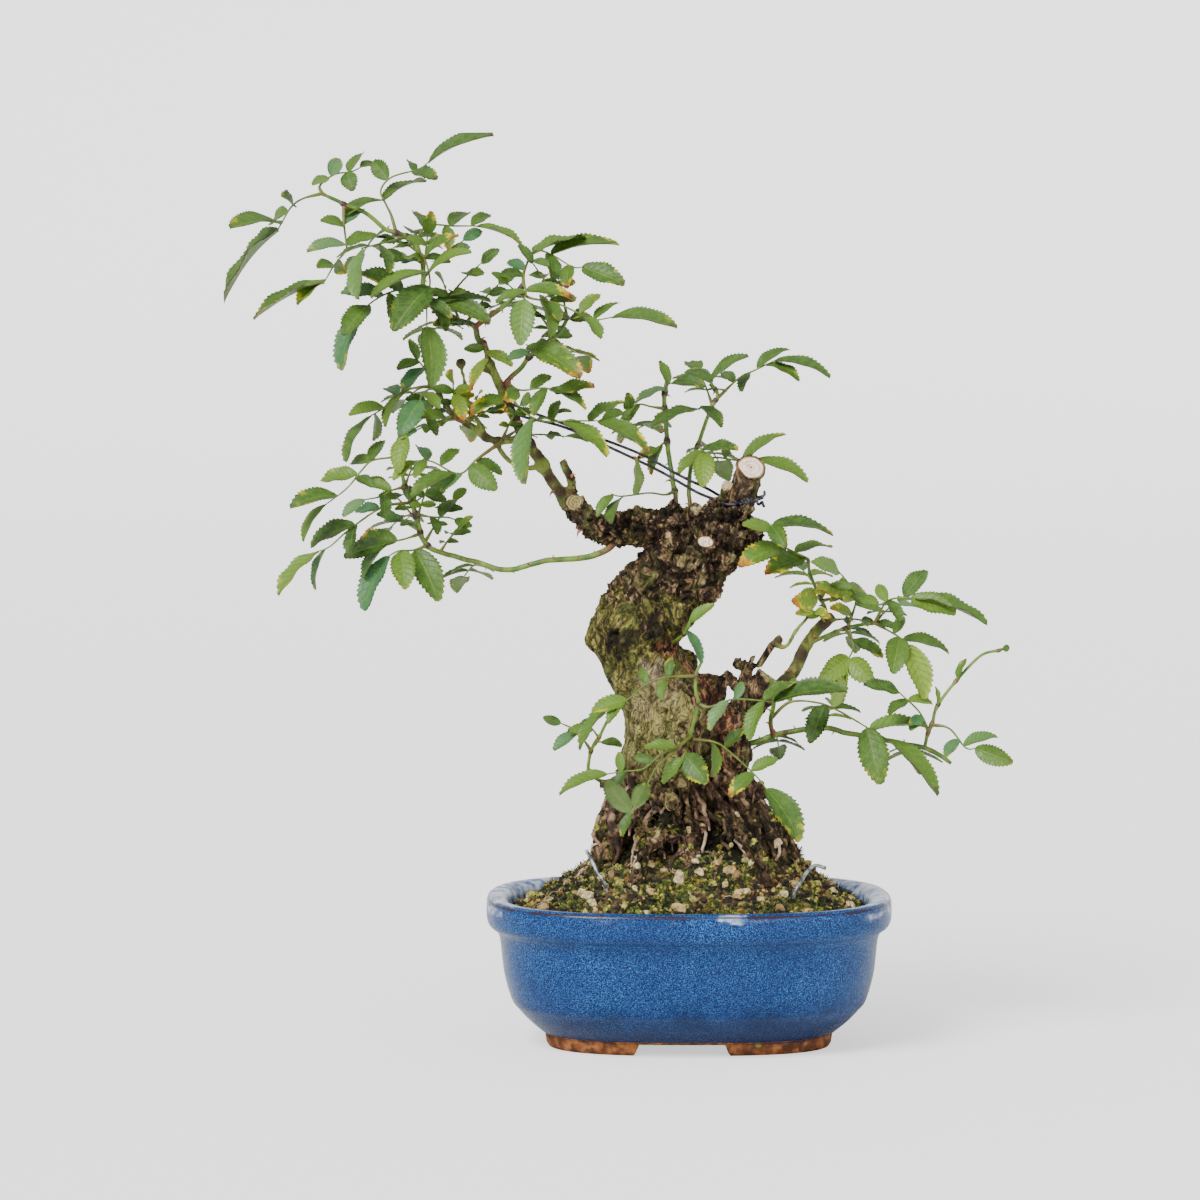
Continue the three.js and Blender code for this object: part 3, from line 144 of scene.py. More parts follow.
SHOOTS: dict[str, ShootPlan] = {
    "shoot_crown": ShootPlan([
        StemPlan((1.7, 0.95), [(-73.5, -3, 251), (-75, -3, 258), (-78, -3, 262), (-79, -3, 266),
            (-84, -3, 268), (-89, -3, 269), (-95, -3, 274), (-98, -3, 279), (-98, -2, 285),
            (-99, -1, 292), (-104, 0, 299), (-112, -1, 302), (-118, -2, 307), (-127, -3, 311),
            (-135, -4, 315)]),
        StemPlan((1.5, 1), [(-79, -3, 266), (-75, -6, 269), (-68, -8, 274), (-63, -9, 279),
            (-61, -9, 282)])], [
        LeafPlan([(-135, -4, 315), (-142, -8, 313), (-146, -10, 310), (-149, -12, 305),
            (-151, -14, 301)], [(1, -170, -22, 275, 3), (0.85, -167, -30, 302, 4),
            (0.95, -164, -4, 290, 4), (0.5, -149, -22, 314, 3), (0.65, -154, 2, 304, 4)]),
        LeafPlan([(-135, -4, 315), (-136, 2, 318), (-131, 8, 322), (-125, 12, 323),
            (-121, 14, 325)], [(0.45, -139, 0, 318, 4), (0.5, -130, 14, 328, 6),
            (0.8, -121, 22, 330, 4), (0.75, -124, 6, 316, 7), (1, -116, 22, 326, 3)]),
        LeafPlan([(-108, 0, 300), (-110, 4, 307), (-112, 6, 311), (-114, 8, 316), (-110, 10, 321),
            (-100, 12, 324), (-96, 12, 327)], [(1, -72, 4, 336, 5), (0.82, -104, 20, 327, 3),
            (0.82, -93, 2, 320, 5), (0.58, -117, 16, 327, 7), (0.36, -127, -4, 307, 3),
            (0.36, -98, 20, 320, 3)]),
        LeafPlan([(-127, -3, 311), (-127, -6, 305), (-126, -10, 297), (-126, -12, 294),
            (-130, -14, 289), (-134, -18, 282)],
            [(0.24, -135, -14, 305, 4), (0.24, -120, 2, 309, 4), (0.47, -140, -16, 294, 4),
            (0.47, -115, -2, 300, 5), (0.75, -136, -24, 288, 4), (0.72, -126, -4, 286, 5),
            (0.93, -143, -26, 275, 4), (1, -159, -24, 269, 3)]),
        LeafPlan([(-104, 0, 299), (-112, -10, 297), (-120, -20, 295)],
            [(1, -121, -30, 277, 6), (0.6, -110, -20, 286, 4)]),
        LeafPlan([(-98, -3, 279), (-105, -12, 280), (-112, -16, 278), (-118, -18, 274),
            (-120, -20, 271)], [(0.35, -120, -20, 286, 7), (0.62, -127, -24, 279, 5),
            (0.85, -126, -30, 264, 8), (1, -128, -24, 251, 6), (0.55, -109, -20, 268, 5)]),
        LeafPlan([(-101, 1, 296), (-97, 6, 303), (-87, 10, 303), (-78, 12, 303)],
            [(1, -61, 6, 296, 3), (0.3, -102, 16, 308, 4), (0.65, -82, 22, 308, 5),
            (0.6, -89, 4, 294, 5), (0.92, -74, 20, 307, 4)]),
        LeafPlan([(-99, -2, 294), (-97, -12, 291), (-95, -18, 283), (-96, -22, 276),
            (-96, -24, 266)], [(0.25, -85, -18, 300, 4), (0.45, -80, -24, 294, 4),
            (0.45, -116, -28, 277, 5), (0.6, -108, -34, 265, 12), (1, -94, -32, 245, 10),
            (0.75, -87, -28, 270, 4)]),
        LeafPlan([(-98, -3, 279), (-94, -12, 276), (-90, -14, 275)],
            [(1, -73, -20, 268, 6), (0.8, -73, -6, 276, 4), (0.4, -89, -16, 265, 5)]),
        LeafPlan([(-76, -3, 260), (-75, -8, 257), (-74, -10, 254)],
            [(1, -80, -14, 244, 4), (0.6, -65, -12, 252, 4), (0.3, -83, -8, 258, 4)]),
        LeafPlan([(-61, -9, 282), (-61, -4, 286), (-58, 2, 293), (-55, 4, 294), (-50, 4, 292),
            (-43, 0, 288), (-39, -2, 288)], [(0.42, -38, 14, 299, 3), (0.62, -26, 14, 296, 3),
            (0.6, -50, -6, 283, 6), (0.84, -45, -8, 280, 6), (1, -24, -8, 282, 8),
            (0.14, -70, -10, 285, 4), (0.2, -67, 4, 290, 4), (0.3, -52, -12, 288, 3)]),
        LeafPlan([(-61, -9, 282), (-60, -14, 279), (-61, -18, 276)],
            [(0.4, -43, -14, 277, 5), (1, -62, -26, 260, 10), (0.5, -71, -18, 275, 4)]),
        LeafPlan([(-62, -9, 280), (-59, -14, 277), (-49, -16, 275), (-40, -18, 271),
            (-35, -18, 269), (-28, -18, 270)], [(1, -5, -26, 266, 5), (0.82, -26, -10, 275, 3),
            (0.36, -48, -22, 268, 4), (0.3, -51, -28, 263, 5), (0.42, -42, -8, 277, 4),
            (0.68, -33, -12, 278, 4), (0.72, -33, -26, 262, 4)])], [
        ((-99, -1, 292), (-102, 24, 300), 15), ((-112, -1, 302), (-122, 22, 292), 14),
        ((-89, -3, 269), (-96, 24, 262), 15), ((-68, -8, 274), (-62, 20, 272), 15)]),
    "shoot_mid_right": ShootPlan([
        StemPlan((1.4, 1), [(-66.4, -2.2, 241), (-67, -3, 246), (-62, -4, 251), (-59, -6, 255),
            (-53, -6, 259), (-48, -4, 264), (-45, -2, 269)])], [
        LeafPlan([(-59, -6, 255), (-59, -12, 258), (-60, -14, 260)],
            [(1, -40, -26, 248, 9), (0.5, -67, -16, 254, 4)]),
        LeafPlan([(-67, -3, 245), (-62, -10, 243), (-53, -14, 244), (-49, -16, 242)],
            [(1, -35, -18, 245, 5), (0.85, -38, -22, 237, 4), (0.8, -57, -22, 234, 5),
            (0.3, -68, -18, 239, 6), (0.55, -51, -6, 248, 4)]),
        LeafPlan([(-67, -3, 243.5), (-63, -10, 237), (-55, -14, 232), (-44, -16, 232),
            (-33, -16, 232)], [(1, -15, -18, 221, 6), (0.7, -30, -24, 220, 6),
            (0.42, -60, -22, 209, 7), (0.15, -81, -14, 235, 4), (0.6, -48, -8, 239, 4),
            (0.9, -24, -8, 239, 4)])], [
        ((-53, -6, 259), (-42, 18, 254), 14)]),
    "shoot_mid_left": ShootPlan([
        StemPlan((1.2, 1), [(-82, 1.5, 230.5), (-86, 2, 232), (-90, 3, 237), (-93, 4, 242),
            (-95, 4, 244)])], [
        LeafPlan([(-95, 4, 244), (-103, 2, 243), (-109, 0, 240), (-113, -2, 236), (-118, -4, 233)],
            [(0.5, -112, 12, 243, 4), (0.75, -125, -10, 234, 5), (1, -127, -10, 217, 3),
            (0.35, -112, -10, 230, 4), (0.9, -117, 4, 224, 4)]),
        LeafPlan([(-94, 4, 244), (-98, -8, 242), (-99, -14, 239)],
            [(1, -106, -24, 227, 9), (0.6, -92, -14, 236, 4)]),
        LeafPlan([(-92, 4, 241), (-96, -4, 235), (-102, -6, 229), (-105, -8, 226)],
            [(1, -107, -14, 213, 7), (0.5, -93, -6, 226, 4)]),
        LeafPlan([(-90, 3, 237), (-87, -6, 240), (-86, -10, 242)],
            [(1, -83, -16, 232, 6), (0.5, -79, -8, 241, 4)]),
        LeafPlan([(-87, 2, 233), (-90, -6, 233)], [(1, -99, -14, 233, 4)]),
        LeafPlan([(-95, 4, 244), (-98, 10, 250), (-101, 12, 254)],
            [(1, -104, 14, 261, 4), (0.9, -108, 4, 250, 4), (0.7, -106, 2, 242, 5),
            (0.6, -92, 16, 253, 4)])], [
        ((-95, 4, 244), (-106, 30, 238), 14), ((-90, 3, 237), (-84, 27, 228), 13)]),
    "shoot_mid_low": ShootPlan([
        StemPlan((1, 0.9), [(-69, -1.5, 224.5), (-70, -6, 223), (-72, -8, 222)])], [
        LeafPlan([(-72, -8, 222), (-79, -12, 217), (-83, -14, 213), (-87, -14, 213),
            (-95, -12, 217), (-102, -10, 217)], [(0.33, -71, -20, 207, 9), (0.25, -69, -8, 212, 4),
            (0.68, -85, -6, 221, 4), (0.52, -102, -22, 205, 4), (0.45, -91, -20, 206, 4),
            (0.85, -101, -16, 211, 4), (1, -109, -12, 210, 4), (0.85, -100, 0, 222, 4)])], []),
    "shoot_low_left": ShootPlan([
        StemPlan((1.7, 1.4, 1.35, 1.25, 1), [(-26, -2, 188.5), (-29.5, -4, 184.6),
            (-34.5, -5, 182.2), (-41, -5.2, 180.8), (-53, -6, 180), (-64, -6, 177), (-70, -6, 177),
            (-77, -5, 179), (-92, -4, 183), (-96, -4, 185), (-99, -3, 189), (-101, -2, 197),
            (-103, -2, 202), (-105, -2, 207), (-106, -2, 213)])], [
        LeafPlan([(-106, -2, 213), (-107, -4, 218), (-111, -8, 218), (-117, -10, 217),
            (-121, -12, 213), (-126, -14, 207), (-134, -16, 201)],
            [(0.42, -125, -2, 216, 4), (0.42, -113, 0, 224, 5), (0.6, -136, -6, 210, 5),
            (0.85, -146, -24, 201, 5), (1, -142, -18, 188, 3), (0.62, -116, -20, 208, 4)]),
        LeafPlan([(-105, -2, 207), (-110, -10, 206), (-114, -14, 204), (-120, -16, 203)],
            [(0.4, -119, -6, 209, 4), (1, -127, -20, 197, 4), (0.6, -112, -20, 197, 5)]),
        LeafPlan([(-103, -2, 201), (-113, -12, 200), (-125, -16, 192), (-132, -18, 186),
            (-137, -18, 184)], [(0.35, -123, -6, 198, 4), (0.6, -140, -8, 186, 5),
            (1, -151, -24, 169, 4), (0.92, -138, -16, 170, 2), (0.6, -124, -24, 183, 5)]),
        LeafPlan([(-100, -3, 190), (-105, -6, 188), (-110, -8, 187), (-113, -10, 186)],
            [(0.6, -122, -2, 188, 7), (1, -127, -14, 182, 7), (0.8, -120, -18, 175, 4)]),
        LeafPlan([(-97, -4, 185), (-102, -8, 184), (-107, -12, 184), (-111, -14, 182)],
            [(0.65, -104, -22, 171, 10), (1, -120, -20, 163, 7), (0.3, -92, -16, 166, 11)]),
        LeafPlan([(-101, -2, 197), (-95, -4, 196), (-89, -6, 196), (-86, -8, 195)],
            [(1, -80, -10, 193, 4), (0.6, -86, 6, 202, 4), (0.4, -93, -12, 190, 4)]),
        LeafPlan([(-101, -2, 196), (-103, 6, 200), (-100, 8, 202), (-95, 8, 206)],
            [(1, -90, 6, 210, 4), (0.5, -106, 16, 207, 5), (0.8, -90, 12, 201, 4)])], [
        ((-77, -5, 179), (-84, 20, 172), 14), ((-101, -2, 197), (-112, 24, 190), 14),
        ((-105, -2, 207), (-102, 22, 214), 13)]),
    "shoot_back_left": ShootPlan([
        StemPlan((1.3, 1.15), [(-5, 4, 194), (-5, 7, 202), (-6, 10, 209), (-8, 16, 223),
            (-9, 20, 238), (-8, 22, 246)])], [
        LeafPlan([(-9, 21, 241), (-8, 16, 244), (-6, 12, 245)],
            [(1, 6, 6, 244, 4), (0.3, -20, 14, 237, 3), (0.7, -11, 16, 253, 4)]),
        LeafPlan([(-9, 20, 235), (-14, 14, 236), (-19, 10, 237), (-25, 6, 234)],
            [(1, -32, 0, 232, 4), (0.85, -23, 0, 242, 5), (0.6, -25, 8, 228, 4)]),
        LeafPlan([(-8, 16, 223), (-10, 13, 222), (-12, 11, 220)],
            [(1, -19, 7, 217, 4), (0.5, -14, 8, 211, 4)]),
        LeafPlan([(-6, 8, 205), (-9, 0, 204), (-15, -6, 205), (-25, -10, 204), (-29, -11, 205)],
            [(0.72, -20, -13, 219, 4), (1, -34, -16, 197, 4), (0.85, -29, -22, 195, 3)])], [
        ((-8, 18, 230), (-20, 42, 226), 14)]),
    "shoot_back_right": ShootPlan([
        StemPlan((1.2, 0.9), [(1, 4, 194), (0, 9, 205), (1, 16, 214), (4, 20, 223), (9, 25, 236),
            (11, 26, 239), (10, 27, 242), (8, 27, 244)])], [
        LeafPlan([(10, 27, 242), (9, 25, 244), (8, 24, 246)],
            [(1, 22, 18, 255, 4), (0.6, -1, 34, 249, 4)]),
        LeafPlan([(10, 26, 238), (19, 30, 246), (25, 30, 249), (33, 28, 253)],
            [(0.35, 13, 38, 248, 4), (0.6, 20, 22, 241, 4), (0.72, 38, 38, 257, 3),
            (1, 53, 22, 247, 4), (0.85, 41, 18, 246, 4)]),
        LeafPlan([(8, 25, 235), (5, 18, 236), (4, 14, 235)],
            [(1, -14, 6, 229, 3), (0.6, 12, 8, 229, 5)]),
        LeafPlan([(4, 19, 221), (5, 12, 220), (6, 8, 219)],
            [(1, 5, 0, 207, 9), (0.6, 18, 4, 221, 4), (0.7, -4, 6, 211, 4)]),
        LeafPlan([(2, 17, 215), (10, 16, 217), (18, 14, 216), (25, 12, 216)],
            [(0.8, 36, 18, 226, 4), (1, 44, 4, 209, 5), (0.5, 13, 22, 223, 4)])], [
        ((4, 20, 223), (12, 44, 214), 15), ((9, 25, 236), (4, 46, 248), 13)]),
    "shoot_right_top": ShootPlan([
        StemPlan((1, 0.8), [(51, 12.5, 155.5), (51, 12, 160), (49, 8, 165), (45, 2, 174),
            (44, 0, 180)])], [
        LeafPlan([(44, 0, 180), (37, -6, 184), (32, -10, 187), (30, -12, 194)],
            [(0.1, 28, -14, 176, 7), (0.5, 18, -18, 179, 7), (1, 35, -22, 186, 7),
            (0.98, 53, -6, 190, 4), (0.3, 53, 4, 185, 3), (0.9, 19, -16, 194, 5)]),
        LeafPlan([(49, 8, 165), (48, 4, 166), (47, 2, 166)], [(1, 38, -8, 165, 9)])], [
        ((49, 8, 165), (43, 32, 174), 14)]),
    "shoot_right_upper": ShootPlan([
        StemPlan((1.1, 0.8), [(42, 9, 145), (47, 9, 149), (59, 8, 154), (69, 6, 156)])], [
        LeafPlan([(59, 8, 154), (62, 4, 165), (59, 0, 171), (55, -4, 176)],
            [(1, 45, -12, 180, 5), (0.72, 66, 6, 166, 5), (0.5, 49, -4, 169, 6),
            (0.35, 73, 10, 159, 3), (0.2, 52, -2, 162, 4)]),
        LeafPlan([(69, 6, 156), (73, 2, 164), (78, -2, 166), (84, -4, 166)],
            [(0.45, 70, 8, 170, 5), (0.8, 88, 6, 176, 7), (0.9, 98, -10, 161, 8),
            (1, 110, -4, 156, 3), (0.5, 78, -6, 157, 5)]),
        LeafPlan([(69, 6, 156), (78, 2, 151), (81, 0, 148)],
            [(0.55, 80, 8, 158, 4), (0.8, 97, 8, 145, 3), (0.7, 75, -10, 139, 10),
            (1, 87, -8, 129, 10)]),
        LeafPlan([(58, 8, 154), (61, 2, 148), (59, 0, 143), (58, -2, 140)],
            [(0.75, 48, -8, 136, 9), (0.8, 68, -6, 135, 9), (1, 54, -4, 127, 6),
            (0.35, 72, 4, 143, 4)])], [
        ((59, 8, 154), (62, 32, 148), 14), ((69, 6, 156), (80, 28, 162), 13)]),
    "shoot_right_long": ShootPlan([
        StemPlan((1.6, 1.4, 1.2), [(11, 0, 111), (18, 0, 111), (24, -1, 112), (32, -2, 115),
            (41, -4, 117), (50, -5, 118), (59, -6, 116), (70, -6, 114), (80, -6, 112),
            (89, -6, 110), (97, -6, 105)]),
        StemPlan((0.9, 0.7), [(87, -6, 110.5), (88, -5, 115), (90, -4, 120), (92, -2, 126),
            (99, 0, 135), (108, 2, 144), (115, 3, 146), (117, 3, 147)]),
        StemPlan((1.2, 1.1), [(31, -2, 114.5), (30, -8, 121), (31, -12.5, 128), (30, -13, 137)])], [
        LeafPlan([(89, -5, 116), (85, -8, 124), (79, -10, 130), (77, -11, 132)],
            [(1, 64, -14, 135, 4), (0.75, 90, -4, 127, 3), (0.75, 73, -18, 124, 4),
            (0.35, 81, -16, 118, 5)]),
        LeafPlan([(90, -4, 119), (96, -8, 118), (102, -10, 111), (106, -10, 111)],
            [(0.6, 94, -16, 108, 4), (0.75, 114, -4, 115, 3), (1, 120, -14, 106, 8)]),
        LeafPlan([(31, -5, 125), (37, -10, 128), (47, -12, 128), (55, -13, 125), (67, -14, 118),
            (74, -14, 114)], [(0.45, 44, -20, 114, 8), (0.5, 56, -17, 138, 5),
            (0.8, 70, -22, 99, 12), (1, 91, -18, 94, 6), (0.82, 88, -9, 119, 4),
            (0.2, 39, -2, 136, 4)]),
        LeafPlan([(92, -2, 126), (92, -3, 127)], [(1, 91, -2, 133, 2)]),
        LeafPlan([(99, 0, 135), (100, 0, 136)], [(1, 103, 1, 143, 2)]),
        LeafPlan([(115, 3, 146), (117, 3, 147)], [(1, 123, 4, 147, 3)])], [
        ((50, -5, 118), (54, 20, 124), 14), ((80, -6, 112), (85, 18, 104), 14),
        ((32, -2, 115), (34, 22, 108), 13)]),
    "shoot_front": ShootPlan([
        StemPlan((1, 0.8), [(0, -11, 112), (0, -22, 115), (1, -26, 121), (3, -27, 129),
            (2, -28, 134), (2, -28, 140), (4, -26, 144)])], [
        LeafPlan([(2, -28, 139), (-9, -30, 139), (-17, -31, 136), (-23, -31, 131), (-29, -30, 130)],
            [(0.3, -7, -26, 146, 4), (0.55, -18, -26, 142, 4), (0.35, -10, -36, 131, 4),
            (0.82, -36, -34, 127, 6), (0.85, -30, -38, 123, 4), (1, -41, -32, 113, 3)]),
        LeafPlan([(3, -27, 129), (7, -29, 128), (16, -30, 131), (31, -30, 130)],
            [(0.4, 7, -36, 120, 5), (0.85, 21, -36, 117, 5), (1, 57, -30, 134, 4),
            (0.85, 39, -24, 137, 4), (0.5, 19, -26, 137, 4)]),
        LeafPlan([(0, -23, 117), (-6, -30, 113), (-11, -33, 111), (-17, -34, 106), (-24, -34, 105),
            (-31, -34, 104)], [(0.22, -17, -30, 113, 4), (0.5, -21, -32, 110, 4),
            (1, -48, -36, 97, 4), (0.85, -26, -32, 112, 4), (0.8, -29, -38, 97, 4)]),
        LeafPlan([(-10, -33, 111), (-12, -35, 107), (-15, -37, 102), (-22, -40, 90)],
            [(1, -31, -44, 103, 8), (0.93, -16, -46, 102, 7), (1, -25, -42, 82, 4)]),
        LeafPlan([(0, -21, 114), (-2, -28, 111), (-3, -30, 109)],
            [(0.8, 6, -36, 101, 10), (1, -10, -30, 100, 5)]),
        LeafPlan([(0, -23, 116), (9, -28, 115), (14, -30, 112), (24, -32, 103), (28, -33, 98)],
            [(0.25, 8, -34, 103, 4), (0.4, 20, -28, 120, 4), (0.75, 32, -30, 109, 4),
            (0.78, 14, -38, 96, 6), (1, 40, -38, 80, 9)])], []),
    "shoot_left_twig": ShootPlan([
        StemPlan((0.9, 0.75), [(-32, -5, 97.5), (-37, -10, 102), (-37, -12, 107), (-36, -13, 111),
            (-33, -14, 116), (-30, -16, 122), (-27, -17, 124)])], [
        LeafPlan([(-36, -13, 110), (-38, -14, 113), (-42, -15, 118), (-48, -15, 121)],
            [(1, -54, -15, 123, 4), (0.55, -50, -19, 111, 4), (0.5, -36, -11, 122, 3)]),
        LeafPlan([(-33, -14, 115), (-36, -16, 119)], [(1, -45, -18, 118, 4)]),
        LeafPlan([(-34, -13, 113), (-32, -17, 114)], [(1, -25, -22, 113, 3)])], []),
    "shoot_bud": ShootPlan([
        StemPlan((0.9, 0.8), [(-6, -8, 150), (-2, -18, 154), (0, -21, 159)])], [
        LeafPlan([(-2, -18, 154), (0, -21, 159)], [(1, 9, -22, 165, 4),
            (0.3, 4, -22, 143, 4)])], []),
}

LIMBS: list[LimbPlan] = [
    LimbPlan("left arm", (9.5, 8, 7, 6), [(8, 0, 188), (-10, 0, 191), (-22, -1, 192),
        (-30, -2, 191.5)]),
    LimbPlan("branch base", (6.6, 6, 4.6, 4.3, 3), [(-24, 0, 191), (-33.5, -1, 191.8),
        (-39.5, -2, 196.4), (-44, -2, 201), (-47.2, -2, 205.6)]),
    LimbPlan("main branch", (2.4, 2.1, 1.9, 1.7), [(-45, -2, 202), (-50.6, -2, 209),
        (-54.6, -2, 216), (-58, -2, 221), (-62, -2, 228), (-66, -2, 235), (-69, -3, 242),
        (-72.6, -3, 250.4)]),
    LimbPlan("branch spur", (2, 1.5), [(-43.5, -2, 202), (-43.6, -4, 209), (-47, -5, 217)]),
    LimbPlan("mid left branch", (1.7, 1.2), [(-60, -2, 225), (-68, -1, 224), (-75, 0, 225),
        (-80, 1, 229), (-84, 2, 231.5)]),
    LimbPlan("loop branch", (1.2, 1.0), [(-53, -2, 215), (-60, 0, 214), (-67, 0, 217),
        (-72, 0, 224)]),
    LimbPlan("mid left twig", (1.0, 0.8), [(-75, 0, 225), (-77, 0, 230), (-81, 0, 236),
        (-83, 0, 246), (-84.5, 0, 252)]),
    LimbPlan("cut stump", (6.4, 5.4, 5.1, 4.8), [(14, 0, 192), (18, 0, 199), (20.5, 0, 206),
        (22, -0.6, 213)]),
    LimbPlan("thick stub", (6.5, 5.6, 5.2), [(8, -3, 114), (18, -4, 122), (30, -4, 137)]),
    LimbPlan("right branch", (3.8, 2.6, 2.3, 2.1), [(24, 0, 124), (32, 3, 131), (39, 6, 138),
        (43, 9, 146), (48, 12, 153), (54, 14, 158)]),
    LimbPlan("thin branch", (1.9, 1.4), [(20, -6, 126), (21, -6, 138), (26, -6, 145),
        (34, -4, 151.5)]),
    LimbPlan("thin twig", (1, 0.8), [(31, -5, 149), (35.5, -5, 148), (39.5, -4, 154),
        (44, -2, 159)]),
    LimbPlan("left root", (7, 5.4, 4.6, 3.6), [(-18, -3, 98), (-26, -6, 88), (-30, -8, 77),
        (-35, -11, 62)]),
    LimbPlan("low left stub", (3.6, 2.9), [(-22, -4, 95), (-34, -7, 97.5)]),
    LimbPlan("right root", (3.4, 2.2, 2.6, 3), [(16, -7, 104), (23, -9, 94), (27.5, -11, 86),
        (31, -13, 78), (36, -14.5, 62)]),
    LimbPlan("diagonal root", (2.2, 2.7, 3), [(-2, -13, 99), (9, -16.5, 92), (17, -20, 82),
        (24, -24, 73), (28, -27, 61)]),
    LimbPlan("front root", (4.5, 3.4, 3), [(-14, -12, 92), (-16, -18, 80), (-20, -26, 62)]),
    LimbPlan("middle root", (3.6, 2.8), [(2, -12, 92), (1, -18, 80), (-2, -25, 62)]),
    LimbPlan("far right root", (6, 5, 4), [(14, 2, 98), (24, 4, 86), (33, 5, 76), (42, 6, 60)]),
    LimbPlan("rear root", (6, 4.6, 3.6), [(-8, 10, 96), (-12, 18, 82), (-17, 27, 62)]),
    LimbPlan("rear right root", (5.4, 4, 3.2), [(8, 9, 96), (14, 17, 82), (22, 26, 62)])]

TRUNK_RINGS: list[tuple[float, float, float, float, float]] = [
    (0, 0, 61, 26, 18), (-2, 0, 76, 25, 17), (-5, 0, 86, 22, 16), (-5, 0, 95, 22, 15.5),
    (-4, 0, 108, 21.5, 15), (-4, 0, 116, 19.5, 15), (-6, 0, 126, 19, 15), (-12, 0, 135, 18.5, 14),
    (-16, 0, 142, 16.5, 13.5), (-21, 0, 149, 17, 13), (-18, 0, 156.5, 18.5, 14),
    (-12, 0, 164, 21.5, 15), (-8, 0, 172, 20.5, 15), (0, 0, 180, 20, 14), (5, 0, 188, 18.5, 12.5),
    (8, 0, 195, 14, 9.5), (11, 0, 200, 8, 6)]
KNOBS: list[tuple[float, float, float, float]] = [
    (-21, -4, 195, 4.6), (-8, -4, 196.5, 4.2), (1.5, -3, 197, 3.8), (23.5, -2, 189, 4.6),
    (12, -2, 201.5, 2.6), (-2, -13, 179, 4.6), (5, -12.5, 185, 3), (-9, -11, 184, 2.6),
    (-14, -12, 154, 4.2), (13, -9, 118, 9), (16, -6, 108, 8), (-24, -8, 134, 5), (-35, -4, 150, 4),
    (12, 10, 178, 5), (-20, 10, 160, 6), (-2, 12, 140, 6), (8, 10, 112, 7), (-74.5, -3, 252, 3.1),
    (-84.5, 0, 252.5, 1.9), (-54.2, -3, 215, 3.2), (7, -4, 131.5, 7.2), (-0.5, -13.5, 182, 3.4),
    (-6.6, -5, 199.5, 3.6), (-14, -6, 193, 4.2), (9, -12, 201.5, 2.6), (20.5, -9, 197, 3.2),
    (11, -13.5, 190.5, 2.8), (18, -10, 190, 3), (-15, -11, 176, 4.5), (4, -13, 170, 3.8),
    (14, -10, 180, 4), (-5, -13, 160, 4.4), (-26, -7, 190, 3.4), (-3, -8, 193, 4), (8, -9, 192, 3),
    (18, -7, 196, 3)]
HOLLOWS: list[tuple[float, float, float, float]] = [
    (-12, -20, 86, 7), (14.5, -13, 196.4, 4.4), (-28, -15, 152, 2.4), (-24.5, -13, 113.5, 2),
    (-22, -14, 101, 2.2), (9, -15, 108, 2.6), (22, -12, 90, 3), (-2, -18, 84, 3.6),
    (-14, -15, 154.5, 1.8), (4, -20, 80, 3)]


@dataclass(frozen=True)
class Cut:
    """Flat pruning cut: middle of its face, the way it faces, and its radius."""

    middle: Point
    facing: Point
    radius: float
    fresh: float

    @property
    def clean(self) -> bool:
        """Whether the cut is fresh enough for a smooth face with a bark lip."""
        return self.fresh > 0.62


CUTS: list[Cut] = [
    Cut((22.6, -5.6, 214.3), (0.1, -0.82, 0.57), 4.9, 1),
    Cut((5.6, -18.6, 187.6), (0.05, -0.66, 0.75), 2.9, 1),
    Cut((-7.6, -17.2, 188.2), (0.1, -0.92, 0.3), 1.7, 0.6),
    Cut((-42.2, -6.8, 201.7), (-0.12, -0.96, 0.2), 2.9, 0.45),
    Cut((13.6, -5.6, 208.3), (-0.3, -0.85, 0.3), 2.2, 0.6),
    Cut((2.6, -13.6, 199.7), (0.1, -0.85, 0.5), 2.2, 0.6),
    Cut((-2.9, -23, 99.2), (0, -0.97, 0.15), 1.5, 0.4),
    Cut((-6.6, -23.4, 92.8), (0, -0.95, 0.2), 1.0, 0.58),
    Cut((30, -4.6, 137.5), (0.45, -0.35, 0.8), 5.6, 0.35),
    Cut((-34.6, -7.2, 97.5), (-0.9, -0.4, 0.1), 3.2, 0.6)]
STUBS: list[LimbPlan] = [
    LimbPlan("stump end", (5.6, 5.2, 4.9), [(19, 0, 203), (21, -2, 209), (22.8, -7, 216.5)]),
    LimbPlan("front stub", (3.8, 3.1, 2.8), [(4.4, -8, 174), (5.2, -14.5, 181), (5.6, -19.6, 191)]),
    LimbPlan("small stub", (3.8, 2.9, 2.0), [(-7.6, -8, 186), (-7.6, -14, 187.4),
        (-7.6, -19.5, 188.5)]),
    LimbPlan("arm scar", (3.7, 3.2), [(-42, -2, 200), (-42.2, -8.2, 201.9)]),
    LimbPlan("upper knob", (2.9, 2.3), [(13.5, -1, 200), (13.6, -7, 208.4)]),
    LimbPlan("broken stub", (3.6, 2.5), [(2, -5, 192), (2.6, -15, 200.6)]),
    LimbPlan("root stub", (2.4, 1.7), [(-2, -12, 100), (-2.9, -24.5, 99.2)]),
    LimbPlan("lower root stub", (2, 1.2), [(-6, -12, 94), (-6.6, -24.6, 92.6)]),
    LimbPlan("twig stub", (1.7, 1.9), [(22, -5, 128), (12.8, -7, 139)]),
    LimbPlan("twig stub end", (1.9, 2.1), [(22, -5, 140), (16.8, -6, 142.6)])]
